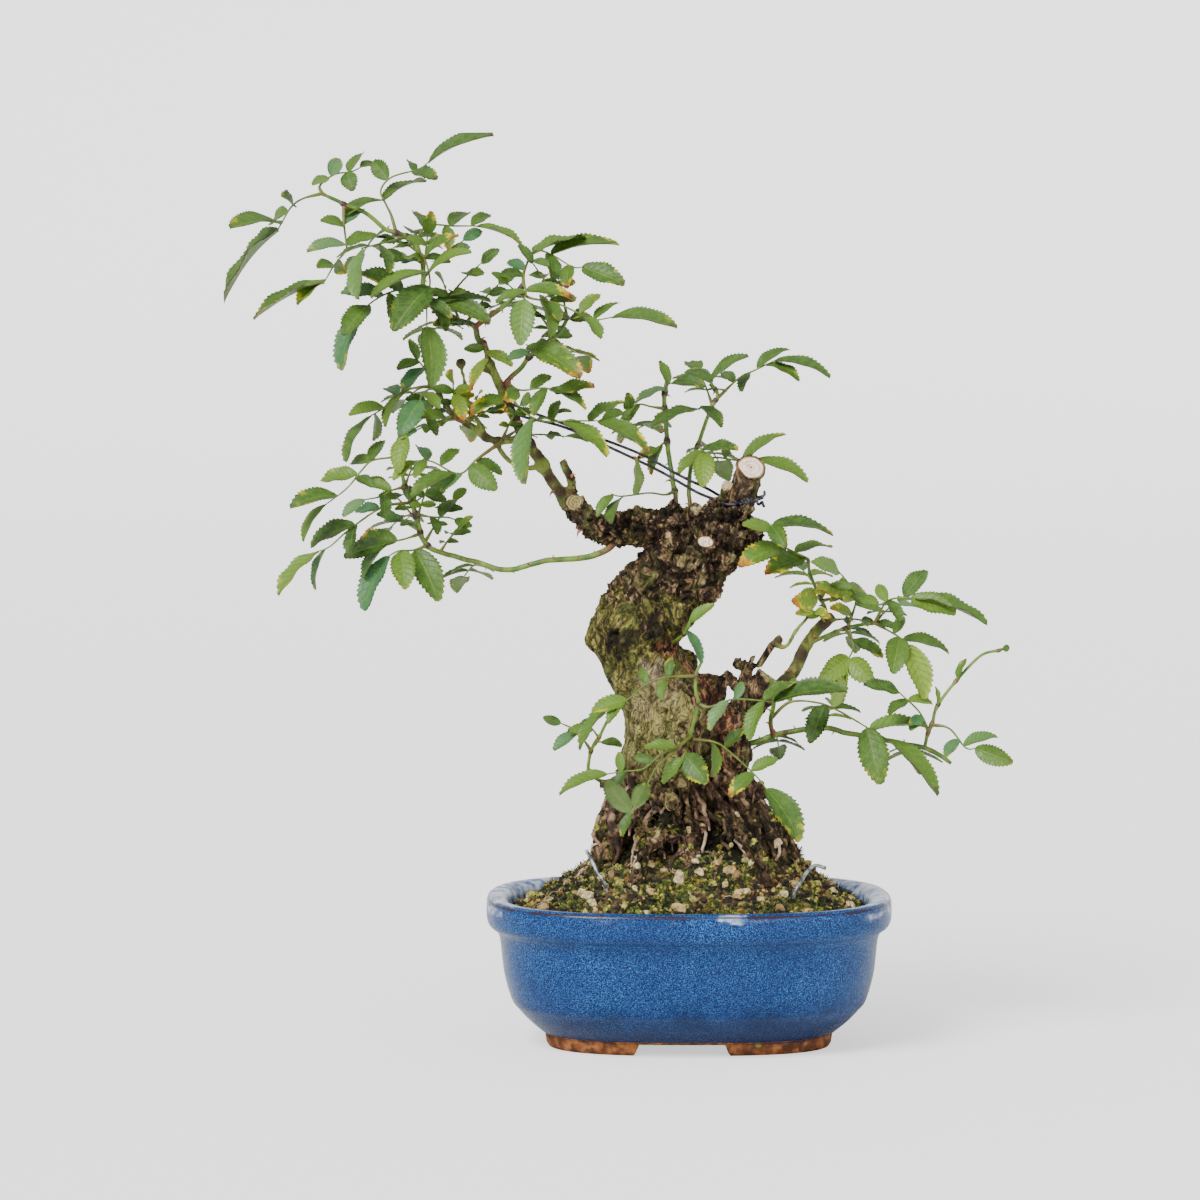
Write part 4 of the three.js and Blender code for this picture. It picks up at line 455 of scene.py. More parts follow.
ROOTS: list[LimbPlan] = [
    LimbPlan("curling root", (1.9, 1.5, 1.1), [(-2, -15, 101), (1, -20, 93), (7, -24, 88),
        (13, -26, 84), (15, -29, 76)]),
    LimbPlan("long brown root", (2.3, 2.2, 2.1, 2.0, 1.8), [(1, -15, 104), (7, -19.5, 97),
        (14, -22.5, 88.5), (21, -25.5, 79), (28, -28.5, 69)]),
    LimbPlan("hanging root", (1.4, 1, 0.8), [(-1, -16, 103), (-1.5, -22, 94), (1, -25, 83)]),
    LimbPlan("split root", (3, 2.4, 1.6), [(-6, -14, 96), (-9, -21, 84), (-18, -28, 73)]),
    LimbPlan("left buttress", (4, 3, 2.4), [(-20, -8, 92), (-27, -12, 82), (-30, -17, 70)]),
    LimbPlan("right buttress", (4.2, 3, 2.2), [(14, -8, 100), (21, -13, 88), (27, -17, 72)]),
    LimbPlan("outer right root", (1.7, 1.5, 1.4), [(15, -5, 105), (24, -7, 98), (31.5, -10, 90),
        (36, -11, 80), (40, -12, 70)]),
    LimbPlan("rear left root", (4, 3, 2.2), [(-18, 6, 96), (-27, 10, 82), (-33, 16, 68)]),
    LimbPlan("rear low root", (3, 2.4, 1.8), [(2, 12, 96), (3, 20, 84), (5, 30, 68)])]
SOIL_INSIDE: list[tuple[float, float]] = [
    (51.4, 9.4), (59.4, 15.7), (63.6, 28.1), (65, 40.1)]
SOIL_MOUND: list[tuple[float, float, float, float, float]] = [
    (66, 49, 50, 2.6, 0), (59, 43, 53.5, 2.4, 0.6), (52, 37, 58, 2.2, 1.6),
    (45, 31.5, 63, 2.1, 2.4), (38, 26.5, 68.5, 2, 3), (31, 21, 72, 2, 3), (14, 10, 73.5, 2, 3)]
TIE_ROUTE: list[Point] = [
    (-38, -19, 74), (-36, -23, 71), (-34, -26, 67), (-31, -28, 62), (-29, -22, 48), (-28, -8, 26),
    (-28, 0, 12), (-26, 0, 2.6), (0, 0, 2.2), (26, 0, 2.6), (28, 0, 12), (31, -10, 28),
    (35, -27, 48), (38, -30, 59), (40, -29, 63), (43, -25, 67), (46, -23, 69), (50, -23, 68)]
GUY_ROUTE: list[Point] = [
    (27, -8.5, 203.5), (22, -7, 201.5), (16, -6, 200), (12, -4, 202), (4, -4.5, 204.5),
    (-11, -5, 213), (-31, -5, 222.5), (-47, -5.5, 229.5), (-60.5, -5.6, 232.8), (-66, -5.2, 235.2),
    (-69.6, -3.2, 237.8), (-68.2, 0.5, 238.6), (-60, 2.2, 235), (-46, 2, 230), (-37, 1.5, 226.3),
    (-18, 1.2, 219), (-3.4, 1, 211), (7, 3, 206), (13, 6, 202.5), (20, 7, 202), (26, 3, 203),
    (27.8, -3, 204), (27.5, -6.5, 205.5)]

GUY_TAIL: list[Point] = [
    (27.6, -8, 200.8), (22.5, -7, 202.4), (16.8, -6.2, 201.4)]

# Dark swollen joints and old twig scars on the branches: middle and radius
JOINTS: list[tuple[float, float, float, float]] = [
    (-76, -3, 258, 1.6), (-68.6, -3, 244.6, 1.7), (-65.3, -3.4, 237.5, 2.0),
    (-63.8, -3.4, 233.5, 1.8), (-64, -1, 227.6, 1.6), (-57.7, -3, 223.6, 1.8),
    (-83.2, 1, 228.6, 1.7), (-83.9, 0, 252.6, 1.5), (-52.9, -3.4, 202, 1.3),
    (-40.6, -6, 190.5, 1.9), (-43.4, -6, 211.5, 1.5), (-55.3, -3, 218.8, 1.9),
    (-51.5, -3.6, 210.3, 1.4), (-75, 0, 225.2, 1.6), (-47.6, -4.6, 205.6, 1.7),
    (-70.5, -1, 224.2, 1.4), (35.5, 1, 134.5, 2.3), (41.8, 6, 143.8, 2.2), (50.6, 11, 155.2, 2.0),
    (27.5, -6.5, 146, 1.5), (33, -5, 150.5, 1.4)]

# Thorns on the woody branches: foot, the way each points, and length
BRANCH_THORNS: list[tuple[Point, Point, float]] = [
    ((-50.4, -3.6, 205.4), (-0.7, -0.4, -0.6), 2.6), ((-43.6, -5.6, 211.3), (0.6, -0.6, 0.5), 2.4),
    ((-40.2, -3.4, 190.4), (-0.5, -0.5, -0.7), 3.0), ((-59.4, -4, 226), (0.8, -0.4, 0.4), 2.0),
    ((-62.6, -3, 231), (-0.8, -0.4, 0.2), 2.2), ((31, -3, 126), (0.5, -0.7, 0.3), 2.4),
    ((37, 1, 139), (-0.7, -0.5, 0.4), 2.6), ((47, 8, 151), (-0.5, -0.6, 0.6), 2.4)]

# Wrinkled knots of the trunk as seen from the front: X, Z, radius, and from dark 0 to pale 1
KNOTS: list[tuple[float, float, float, float]] = [
    (-17.7, 196.6, 5.4, 0.35), (-5.9, 196.6, 5.0, 0.1), (2.7, 198.6, 3.4, 0.85),
    (-7, 186.9, 4.6, 0.4), (6.4, 187.5, 4.8, 0.55), (-1.1, 181.2, 4.8, 0.95),
    (-9.7, 181.8, 4.4, 0.4), (7.5, 192.5, 3, 0.75), (17.1, 188.2, 4.6, 0.8), (2.7, 175.9, 5.4, 0.5),
    (12, 180.5, 5, 0.45), (-12.4, 155, 5.2, 0.05), (-26.8, 151.7, 5.0, 0.05), (24, 190, 3.8, 0.5),
    (-21, 189.5, 4.2, 0.4), (-8, 170, 5, 0.55), (10, 168, 5, 0.4), (-3, 163, 4.6, 0.6),
    (-18, 163, 5.4, 0.65), (18, 175, 4.4, 0.5), (-27, 196, 3.6, 0.5), (-33, 193, 3.4, 0.55),
    (13.8, 207, 2.8, 0.8), (-14, 175, 4.4, 0.45), (-2, 190.5, 3, 0.45)]

# Coloured places of the trunk as seen from the front: X, Z, radius, soft edge and strength
MARKS: dict[str, list[tuple[float, float, float, float, float]]] = {
    "red": [
        (-9.5, 149.5, 2.5, 3, 1), (-5.5, 146, 3, 3, 1), (-1.5, 142, 3.2, 3, 1),
        (2.5, 138, 3.4, 3, 1), (6, 134, 3.6, 3, 1), (9.5, 129.5, 3.6, 3, 1),
        (12.5, 124, 3.6, 3.5, 1), (14, 116, 4, 4, 0.8), (13, 107, 4, 4, 0.7)],
    "pale": [
        (-13.2, 138, 3.4, 4, 1), (-9, 131, 3, 4, 0.5), (-18, 126, 2, 5, 0.5),
        (7.5, 193, 1.0, 1.6, 1), (22, 209, 3.5, 3, 0.2), (20, 205, 2, 3, 0.15),
        (-40, 198, 2, 4, 0.4)],
    # Painted shade: dark places in the hollows and folds of the trunk's front.
    "crevice_shade": [
        (14.5, 195.7, 3.0, 1.6, 1), (-28, 151.5, 3, 2, 0.9), (-22.5, 150.5, 2.4, 2.4, 0.75),
        (-12.4, 155, 2.6, 2.4, 0.8), (-15, 158.5, 1.4, 2, 0.6), (-22.5, 116, 1.6, 1.6, 0.8),
        (-14.5, 190, 1.4, 2, 0.6)],
}

# Small leaves that fill the shoots: where each rib starts and ends, and a leaflet's length
FILLERS: dict[str, list[tuple[Point, Point, float]]] = {
    "shoot_crown": [
        ((-90, -2, 286), (-96, -9, 301), 10), ((-88, 0, 284), (-83, 9, 298), 9),
        ((-94, 0, 290), (-106, -6, 292), 10), ((-86, 0, 280), (-76, -10, 290), 9),
        ((-84, 0, 274), (-90, -14, 281), 10), ((-82, 0, 270), (-70, 7, 282), 9),
        ((-98, 0, 294), (-110, 7, 298), 9), ((-84, 0, 272), (-97, 9, 276), 10),
        ((-80, 0, 266), (-88, -11, 268), 9)],
    "shoot_mid_right": [
        ((-60, 0, 276), (-58, -8, 290), 9), ((-58, 0, 278), (-49, 8, 286), 8),
        ((-62, 0, 272), (-67, -9, 282), 8), ((-60, 0, 268), (-53, -12, 272), 9),
        ((-54, 0, 272), (-43, -6, 270), 9), ((-62, 0, 268), (-48, 9, 264), 8)],
    "shoot_mid_left": [
        ((-84, 0, 236), (-87, -10, 246), 9), ((-88, 0, 232), (-98, 8, 238), 9),
        ((-80, 0, 230), (-78, -11, 240), 8), ((-90, 0, 228), (-101, -5, 228), 9),
        ((-78, 0, 228), (-72, -9, 236), 8)],
    "shoot_mid_low": [
        ((-60, 0, 226), (-50, -9, 234), 8), ((-56, 0, 224), (-45, -10, 226), 9),
        ((-60, 0, 228), (-62, -12, 238), 8)],
    "shoot_low_left": [
        ((-96, 0, 196), (-96, -9, 208), 9), ((-98, 0, 192), (-108, -7, 196), 9),
        ((-94, 0, 188), (-87, 9, 202), 8), ((-92, 0, 184), (-85, -9, 192), 9),
        ((-98, 0, 194), (-112, 6, 206), 9)],
    "shoot_right_top": [
        ((50, 0, 160), (54, -9, 172), 9), ((54, 0, 158), (64, -8, 166), 9),
        ((48, 0, 154), (44, -10, 162), 8), ((56, 0, 156), (70, 7, 156), 9)],
}

# Larger stones on the soil: X, Y, size and how mossy
STONES: list[tuple[float, float, float, float]] = [
    (-4, -29.5, 7.0, 0.1), (19.4, -33, 5.6, 0.2), (28, -24, 6.0, 0.3), (-14.7, -23, 4.6, 0.5),
    (-26, -26, 4.4, 0.95), (-37, -27, 6.2, 0.4), (-4, -41, 5.8, 0.5), (-14, -33, 4.6, 0.5),
    (17, -36, 4.6, 0.1), (-52, -18, 5.2, 0.9), (-8, 38, 5.4, 0.2), (30, 38, 4.6, 0.4),
    (-24, -38, 4.6, 0.95), (38, -22, 5.2, 0.4), (47, -14, 4.8, 0.9), (-45, -9, 4.6, 0.3),
    (8, -31, 4.8, 0.9), (53, 6, 5, 0.2), (-30, 24, 5.2, 0.4), (11, 34, 4.6, 0.95),
    (40, 20, 5.4, 0.2), (-50, 12, 5, 0.3), (1, -37, 4.0, 0.8), (26, -35, 4.0, 0.9),
    (14, -27, 5.0, 0.7), (-10, -27, 3.8, 0.3), (2, -24, 4.2, 0.2), (21, -22, 4.6, 0.95),
    (-20, -31, 4.0, 0.3), (34, -30, 4.2, 0.3), (-32, -20, 4.4, 0.85), (-42, -20, 4.2, 0.9),
    (10, -24, 3.6, 0.4), (-60, -4, 4.4, 0.5), (60, -6, 4.4, 0.6), (44, 4, 4.6, 0.9),
    (-40, 28, 4.8, 0.5), (22, 30, 5.0, 0.3), (-14, 33, 4.4, 0.9), (0, 28, 4.8, 0.2)]


class Tint(Enum):
    """Turn of a leaf's colour: how far towards light, how yellow its margin, how burnt."""

    MARGIN = (0.4, 0.7, 0.5)
    BURN = (0.4, 0.75, 1.0)
    YELLOW = (0.7, 1.0, 0.25)
    BLUE = (0.86, 0.1, 0.2)
    LIGHT = (0.62, 0.2, 0.0)
    PALE = (1.0, 0.0, 0.0)
    DARK = (0.05, 0.05, 0.3)
    DEEP = (0.22, 0.4, 0.3)


# Where leaves have turned, as seen from the front: X and Z
TURNED: list[tuple[float, float, Tint]] = [
    (-128, 279, Tint.MARGIN), (-91, 302, Tint.MARGIN), (-43, 277, Tint.BURN), (-40, 248, Tint.BURN),
    (-83, 232, Tint.YELLOW), (-80, 244, Tint.YELLOW), (-15, 221, Tint.BURN), (28, 176, Tint.BURN),
    (39, 165, Tint.YELLOW), (52, 163, Tint.YELLOW), (6, 98, Tint.MARGIN), (14, 93, Tint.MARGIN),
    (-121, 189, Tint.MARGIN), (-69, 238, Tint.BURN), (-122, 277, Tint.BLUE), (-62, 259, Tint.BLUE),
    (-106, 226, Tint.BLUE), (-120, 174, Tint.BLUE), (58, 132, Tint.BLUE), (87, 129, Tint.LIGHT),
    (55, 139, Tint.LIGHT), (50, 117, Tint.LIGHT), (4, 208, Tint.LIGHT), (-107, 213, Tint.LIGHT),
    (13, 107, Tint.PALE), (38, 83, Tint.DEEP), (-26, 91, Tint.DEEP), (-18, 92, Tint.DEEP),
    (3, 101, Tint.DEEP), (-31, 100, Tint.DARK), (-127, 182, Tint.DARK), (44, 113, Tint.DARK)]
TURNED_REACH = 7.0


def flowing(points: Sequence[Point], spacing: float) -> Array:
    """Smooth line through points.

    Args:
        points: Points that the line passes, in millimetres.
        spacing: Rough distance between the points of the result.

    Returns:
        The line's points, one row each.
    """
    p = np.array(points, float)
    if len(p) < 3:
        steps = max(2, int(np.linalg.norm(p[-1] - p[0]) / spacing) + 1)
        return p[0] + (p[-1] - p[0]) * np.linspace(0, 1, steps)[:, None]
    ends = np.vstack([2 * p[0] - p[1], p, 2 * p[-1] - p[-2]])
    line = []
    for a, b, c, d in zip(ends, ends[1:], ends[2:], ends[3:]):
        steps = max(1, round(float(np.linalg.norm(c - b)) / spacing))
        for t in np.arange(steps) / steps:
            line.append(0.5 * (2 * b + (c - a) * t + (2 * a - 5 * b + 4 * c - d) * t ** 2
                + (3 * b - a - 3 * c + d) * t ** 3))
    return np.array([*line, p[-1]])


def lengths_along(line: Array) -> Array:
    """Distance of each point of a line from its start."""
    return np.concatenate([[0], np.cumsum(np.linalg.norm(np.diff(line, axis=0), axis=1))])


def point_along(line: Array, share: float, short: float = 0.0) -> Array:
    """Point part of the way along a line.

    Args:
        line: Points of the line.
        share: How far along, from 0 to 1.
        short: How far before the end the last possible point lies.

    Returns:
        The point.
    """
    run = lengths_along(line)
    place = min(share * run[-1], run[-1] - short)
    return np.array([np.interp(place, run, line[:, i]) for i in range(3)])


def unit(v: Array | Sequence[float]) -> Array:
    """A vector at length one."""
    return np.array(v, float) / max(1e-9, float(np.linalg.norm(v)))


def columns(*parts: Array) -> Array:
    """Table with the given columns."""
    return np.stack(parts, axis=1)


def evenly(rows: Array, run: Array, count: int) -> Array:
    """Rows of a table read at even steps of the distance that runs along them."""
    even = np.linspace(0, run[-1], count)
    return columns(*(np.interp(even, run, part) for part in rows.T))


def spread(values: Sequence[float] | Array, count: int) -> Array:
    """Values spread evenly over a number of points."""
    return np.interp(np.linspace(0, 1, count), np.linspace(0, 1, len(values)), values)


def hump(values: Array, width: float) -> Array:
    """Bell curve that is 1 where a value is 0."""
    return np.exp(-(values / width) ** 2)


def grid_faces(rows: int, wide: int, start: int = 0, flip: bool = False) -> Array:
    """Four-sided faces of an open grid of points."""
    r, c = np.meshgrid(np.arange(rows - 1), np.arange(wide - 1), indexing="ij")
    a = (start + r * wide + c).ravel()
    faces = columns(a, a + 1, a + wide + 1, a + wide)
    return faces[:, ::-1] if flip else faces


def tube_faces(count: int, sides: int) -> Faces:
    """Faces of a closed tube of rings, its two ends included."""
    a = np.arange(count - 1)[:, None] * sides + np.arange(sides)
    b = np.arange(count - 1)[:, None] * sides + (np.arange(sides) + 1) % sides
    walls = np.stack([a, b, b + sides, a + sides], axis=2).reshape(-1, 4).tolist()
    return [*walls, tuple(range(sides))[::-1], tuple(range((count - 1) * sides, count * sides))]


def loft(rings: Sequence[Array]) -> tuple[Array, Faces]:
    """Closed skin through rings with the same number of points."""
    return np.vstack(rings), tube_faces(len(rings), len(rings[0]))


def sweep(line: Array, radii: Sequence[float] | Array, sides: int) -> tuple[Array, Faces]:
    """Round closed tube along a line.

    Args:
        line: Points of the tube's middle.
        radii: Radii, spread evenly from the first point to the last.
        sides: Number of sides.

    Returns:
        The points and the faces.
    """
    heading = np.gradient(line, axis=0)
    heading /= np.maximum(np.linalg.norm(heading, axis=1), 1e-9)[:, None]
    across = np.array([0.0, 1.0, 0.0]) if abs(heading[0][1]) < 0.9 else np.array([1.0, 0, 0])
    turn = np.arange(sides) * 2 * math.pi / sides
    rings = []
    for p, h, r in zip(line, heading, spread(radii, len(line))):
        across = unit(across - h * across.dot(h))
        up = np.cross(h, across)
        rings.append(p + r * (np.outer(np.cos(turn), across) + np.outer(np.sin(turn), up)))
    return loft(rings)


def squarish(half_x: float, half_y: float, z: float, power: float, sides: int) -> Array:
    """Ring of a squarish oval at one height."""
    angle = np.arange(sides) * 2 * math.pi / sides
    c, s = np.cos(angle), np.sin(angle)
    return columns(half_x * np.sign(c) * np.abs(c) ** (2 / power),
        half_y * np.sign(s) * np.abs(s) ** (2 / power), np.full(sides, z))


def ball(middle: Point, radius: float, rows: int = 8) -> tuple[Array, Faces]:
    """Round lump as a loft, its ends nearly closed."""
    tilt = np.linspace(-0.47, 0.47, rows) * math.pi
    rings = [squarish(radius * math.cos(t), radius * math.cos(t), radius * math.sin(t), 2, 12)
        for t in tilt]
    points, faces = loft(rings)
    return points + np.array(middle), faces


def write_layer(mesh: Mesh, name: str, rows: Array) -> None:
    """Stores three values for each point of a mesh under a name."""
    if name in mesh.attributes:
        mesh.attributes.remove(mesh.attributes[name])
    values = mesh.attributes.new(name, "FLOAT_VECTOR", "POINT")
    values.data.foreach_set("vector", rows.astype(np.float32).ravel())


class Draft:
    """Mesh that is being put together, in millimetres round the pot's centre line."""

    def __init__(self, *layers: str) -> None:
        """Starts empty, with the named layers of three values for each point."""
        self.points: list[Array] = []
        self.faces: list[Sequence[int]] = []
        self.layers: dict[str, list[Array]] = {name: [] for name in layers}
        self.count = 0
        self.smooth = True

    def add(self, points: Array, faces: Faces | Array, **layers: Array | Point) -> None:
        """Adds points and faces, with the value of each layer there."""
        rows = faces.tolist() if isinstance(faces, Array) else faces
        self.faces.extend([i + self.count for i in face] for face in rows)
        self.points.append(points)
        self.count += len(points)
        for name, stack in self.layers.items():
            stack.append(np.broadcast_to(np.array(layers.get(name, (0, 0, 0)), float),
                (len(points), 3)))

    def mesh(self, name: str, middle: Array = CENTRE) -> Mesh:
        """The finished mesh in metres, with the draft's origin at the given middle."""
        made = bpy.data.meshes.new(name)
        places = np.vstack(self.points) * MM + middle
        made.from_pydata(places.tolist(), [], self.faces)
        for layer, stack in self.layers.items():
            write_layer(made, layer, np.vstack(stack))
        if self.smooth:
            made.shade_smooth()
        return made

    def piece(self, name: str, material: Material) -> Object:
        """The finished object, in the scene and in its material."""
        return place_piece(name, self.mesh(name), material)


def in_scene(name: str, data: bpy.types.ID) -> Object:
    """New object of the scene that shows the given data."""
    made = bpy.data.objects.new(name, data)
    bpy.context.scene.collection.objects.link(made)
    return made


def place_piece(name: str, mesh: Mesh, material: Material) -> Object:
    """Puts a mesh in the scene as a piece in one material."""
    mesh.materials.clear()
    mesh.materials.append(material)
    return in_scene(name, mesh)


def settled(made: Object) -> Mesh:
    """Mesh of an object with its modifiers applied; the object itself is removed."""
    graph = bpy.context.evaluated_depsgraph_get()
    name = made.name
    mesh = bpy.data.meshes.new_from_object(made.evaluated_get(graph), preserve_all_data_layers=True,
        depsgraph=graph)
    bpy.data.objects.remove(made)
    mesh.name = name
    return mesh


def coordinates(mesh: Mesh) -> Array:
    """Points of a mesh, in millimetres round the pot's centre line."""
    flat = np.empty(len(mesh.vertices) * 3, np.float32)
    mesh.vertices.foreach_get("co", flat)
    return (flat.reshape(-1, 3).astype(float) - CENTRE) / MM


def move_points(mesh: Mesh, places: Array) -> None:
    """Moves a mesh's points to places given in millimetres."""
    mesh.vertices.foreach_set("co", (places * MM + CENTRE).astype(np.float32).ravel())
    mesh.update()


def normals_of(mesh: Mesh) -> Array:
    """Outward direction at each point of a mesh."""
    flat = np.empty(len(mesh.vertices) * 3, np.float32)
    mesh.vertex_normals.foreach_get("vector", flat)
    return flat.reshape(-1, 3).astype(float)


def ripples(places: Array, size: Point | float, seed: float, octaves: int = 3) -> Array:
    """Fractal noise at many places.

    Args:
        places: Points, one row each, in millimetres.
        size: Rough size of a ripple, or its size along X, Y and Z.
        seed: Shift that makes one field differ from another.
        octaves: Number of layers of finer ripples.

    Returns:
        One value about zero for each point.
    """
    scaled = places / np.array(size) + seed
    return np.array([noise.fractal(p, 1.0, 2.0, octaves) for p in scaled.tolist()])


def pushed(places: Array, reach: float, size: float, octaves: int, *seeds: float) -> Array:
    """Places pushed about by ripples, with one seed for each axis."""
    return places + reach * columns(*(ripples(places, size, seed, octaves) for seed in seeds))


def near(places: Array, middle: Point | Array, radius: float, soft: float) -> Array:
    """Share from 1 within a radius of a point to 0 outside a soft edge."""
    away = np.linalg.norm(places - np.array(middle), axis=1)
    return np.clip((radius + soft - away) / soft, 0, 1)


def between(values: Array, low: float, high: float) -> Array:
    """Smooth rise from 0 at low to 1 at high."""
    t = np.clip((values - low) / (high - low), 0, 1)
    return t * t * (3 - 2 * t)


def srgb(red: int, green: int, blue: int) -> Colour:
    """Colour from its usual 0 to 255 values."""
    shares = [level / 255 for level in (red, green, blue)]
    return *(s / 12.92 if s <= 0.04045 else ((s + 0.055) / 1.055) ** 2.4 for s in shares), 1.0


def enabled(sockets: Sequence[Socket], name: str | int) -> Socket:
    """The socket of a number, or of a name that the node's present options use."""
    if isinstance(name, int):
        return sockets[name]
    return next(s for s in sockets if s.name == name and s.enabled)


class Web:
    """Node tree, with short ways to add and join its nodes."""

    def __init__(self, tree: NodeTree) -> None:
        """Keeps the tree."""
        self.tree = tree

    def put(self, socket: Socket, value: object) -> None:
        """Links a socket to another, or sets its value."""
        if isinstance(value, Value):
            value = value.socket
        if isinstance(value, Socket):
            self.tree.links.new(value, socket)
        elif value is not None:
            socket.default_value = value

    def add(self, kind: str, feeds: dict[str | int, object] | None = None,
            **settings: object) -> Node:
        """Adds a node, sets its options and feeds its inputs, found by name or number."""
        node = self.tree.nodes.new(kind)
        for name, value in settings.items():
            setattr(node, name, value)
        for name, value in (feeds or {}).items():
            self.put(enabled(node.inputs, name), value)
        return node

    def out(self, output: str | int, kind: str, feeds: dict[str | int, object] | None = None,
            **settings: object) -> Socket:
        """Adds a node as add does, and gives one of its outputs."""
        return enabled(self.add(kind, feeds, **settings).outputs, output)


class Value:
    """Output of a shader node; arithmetic on it adds Math nodes."""

    def __init__(self, finish: "Finish", socket: Socket) -> None:
        """Keeps the output and the finish that it belongs to."""
        self.finish, self.socket = finish, socket

    def __add__(self, other: object) -> "Value":
        """Sum of two values."""
        return self.finish.sum("ADD", self, other)

    def __mul__(self, other: object) -> "Value":
        """Product of two values."""
        return self.finish.sum("MULTIPLY", self, other)

    def __sub__(self, other: object) -> "Value":
        """Difference of two values."""
        return self.finish.sum("SUBTRACT", self, other)

    def __rsub__(self, other: float) -> "Value":
        """Difference between a number and the value."""
        return self.finish.sum("SUBTRACT", other, self)

    def __abs__(self) -> "Value":
        """The value without its sign."""
        return self.finish.sum("ABSOLUTE", self)


def mottling_group() -> NodeTree:
    """Shared effect: soft patches from noise, spread to the full range.

    Returns:
        A group with inputs Vector, Scale, Detail, Low and High, and the output Patches.
    """
    web = Web(bpy.data.node_groups.new("Mottling", "ShaderNodeTree"))
    face = web.tree.interface
    face.new_socket(name="Vector", in_out="INPUT", socket_type="NodeSocketVector")
    for name, value in (("Scale", 200.0), ("Detail", 4.0), ("Low", 0.4), ("High", 0.6)):
        socket = face.new_socket(name=name, in_out="INPUT", socket_type="NodeSocketFloat")
        socket.default_value = value
    face.new_socket(name="Patches", in_out="OUTPUT", socket_type="NodeSocketFloat")
    given = web.add("NodeGroupInput").outputs
    cloud = web.add("ShaderNodeTexNoise", {n: given[n] for n in ("Vector", "Scale", "Detail")})
    spread = web.add("ShaderNodeMapRange", {"Value": cloud.outputs[0], "From Min": given["Low"],
        "From Max": given["High"]}, interpolation_type="SMOOTHSTEP")
    web.add("NodeGroupOutput", {"Patches": spread.outputs["Result"]})
    return web.tree


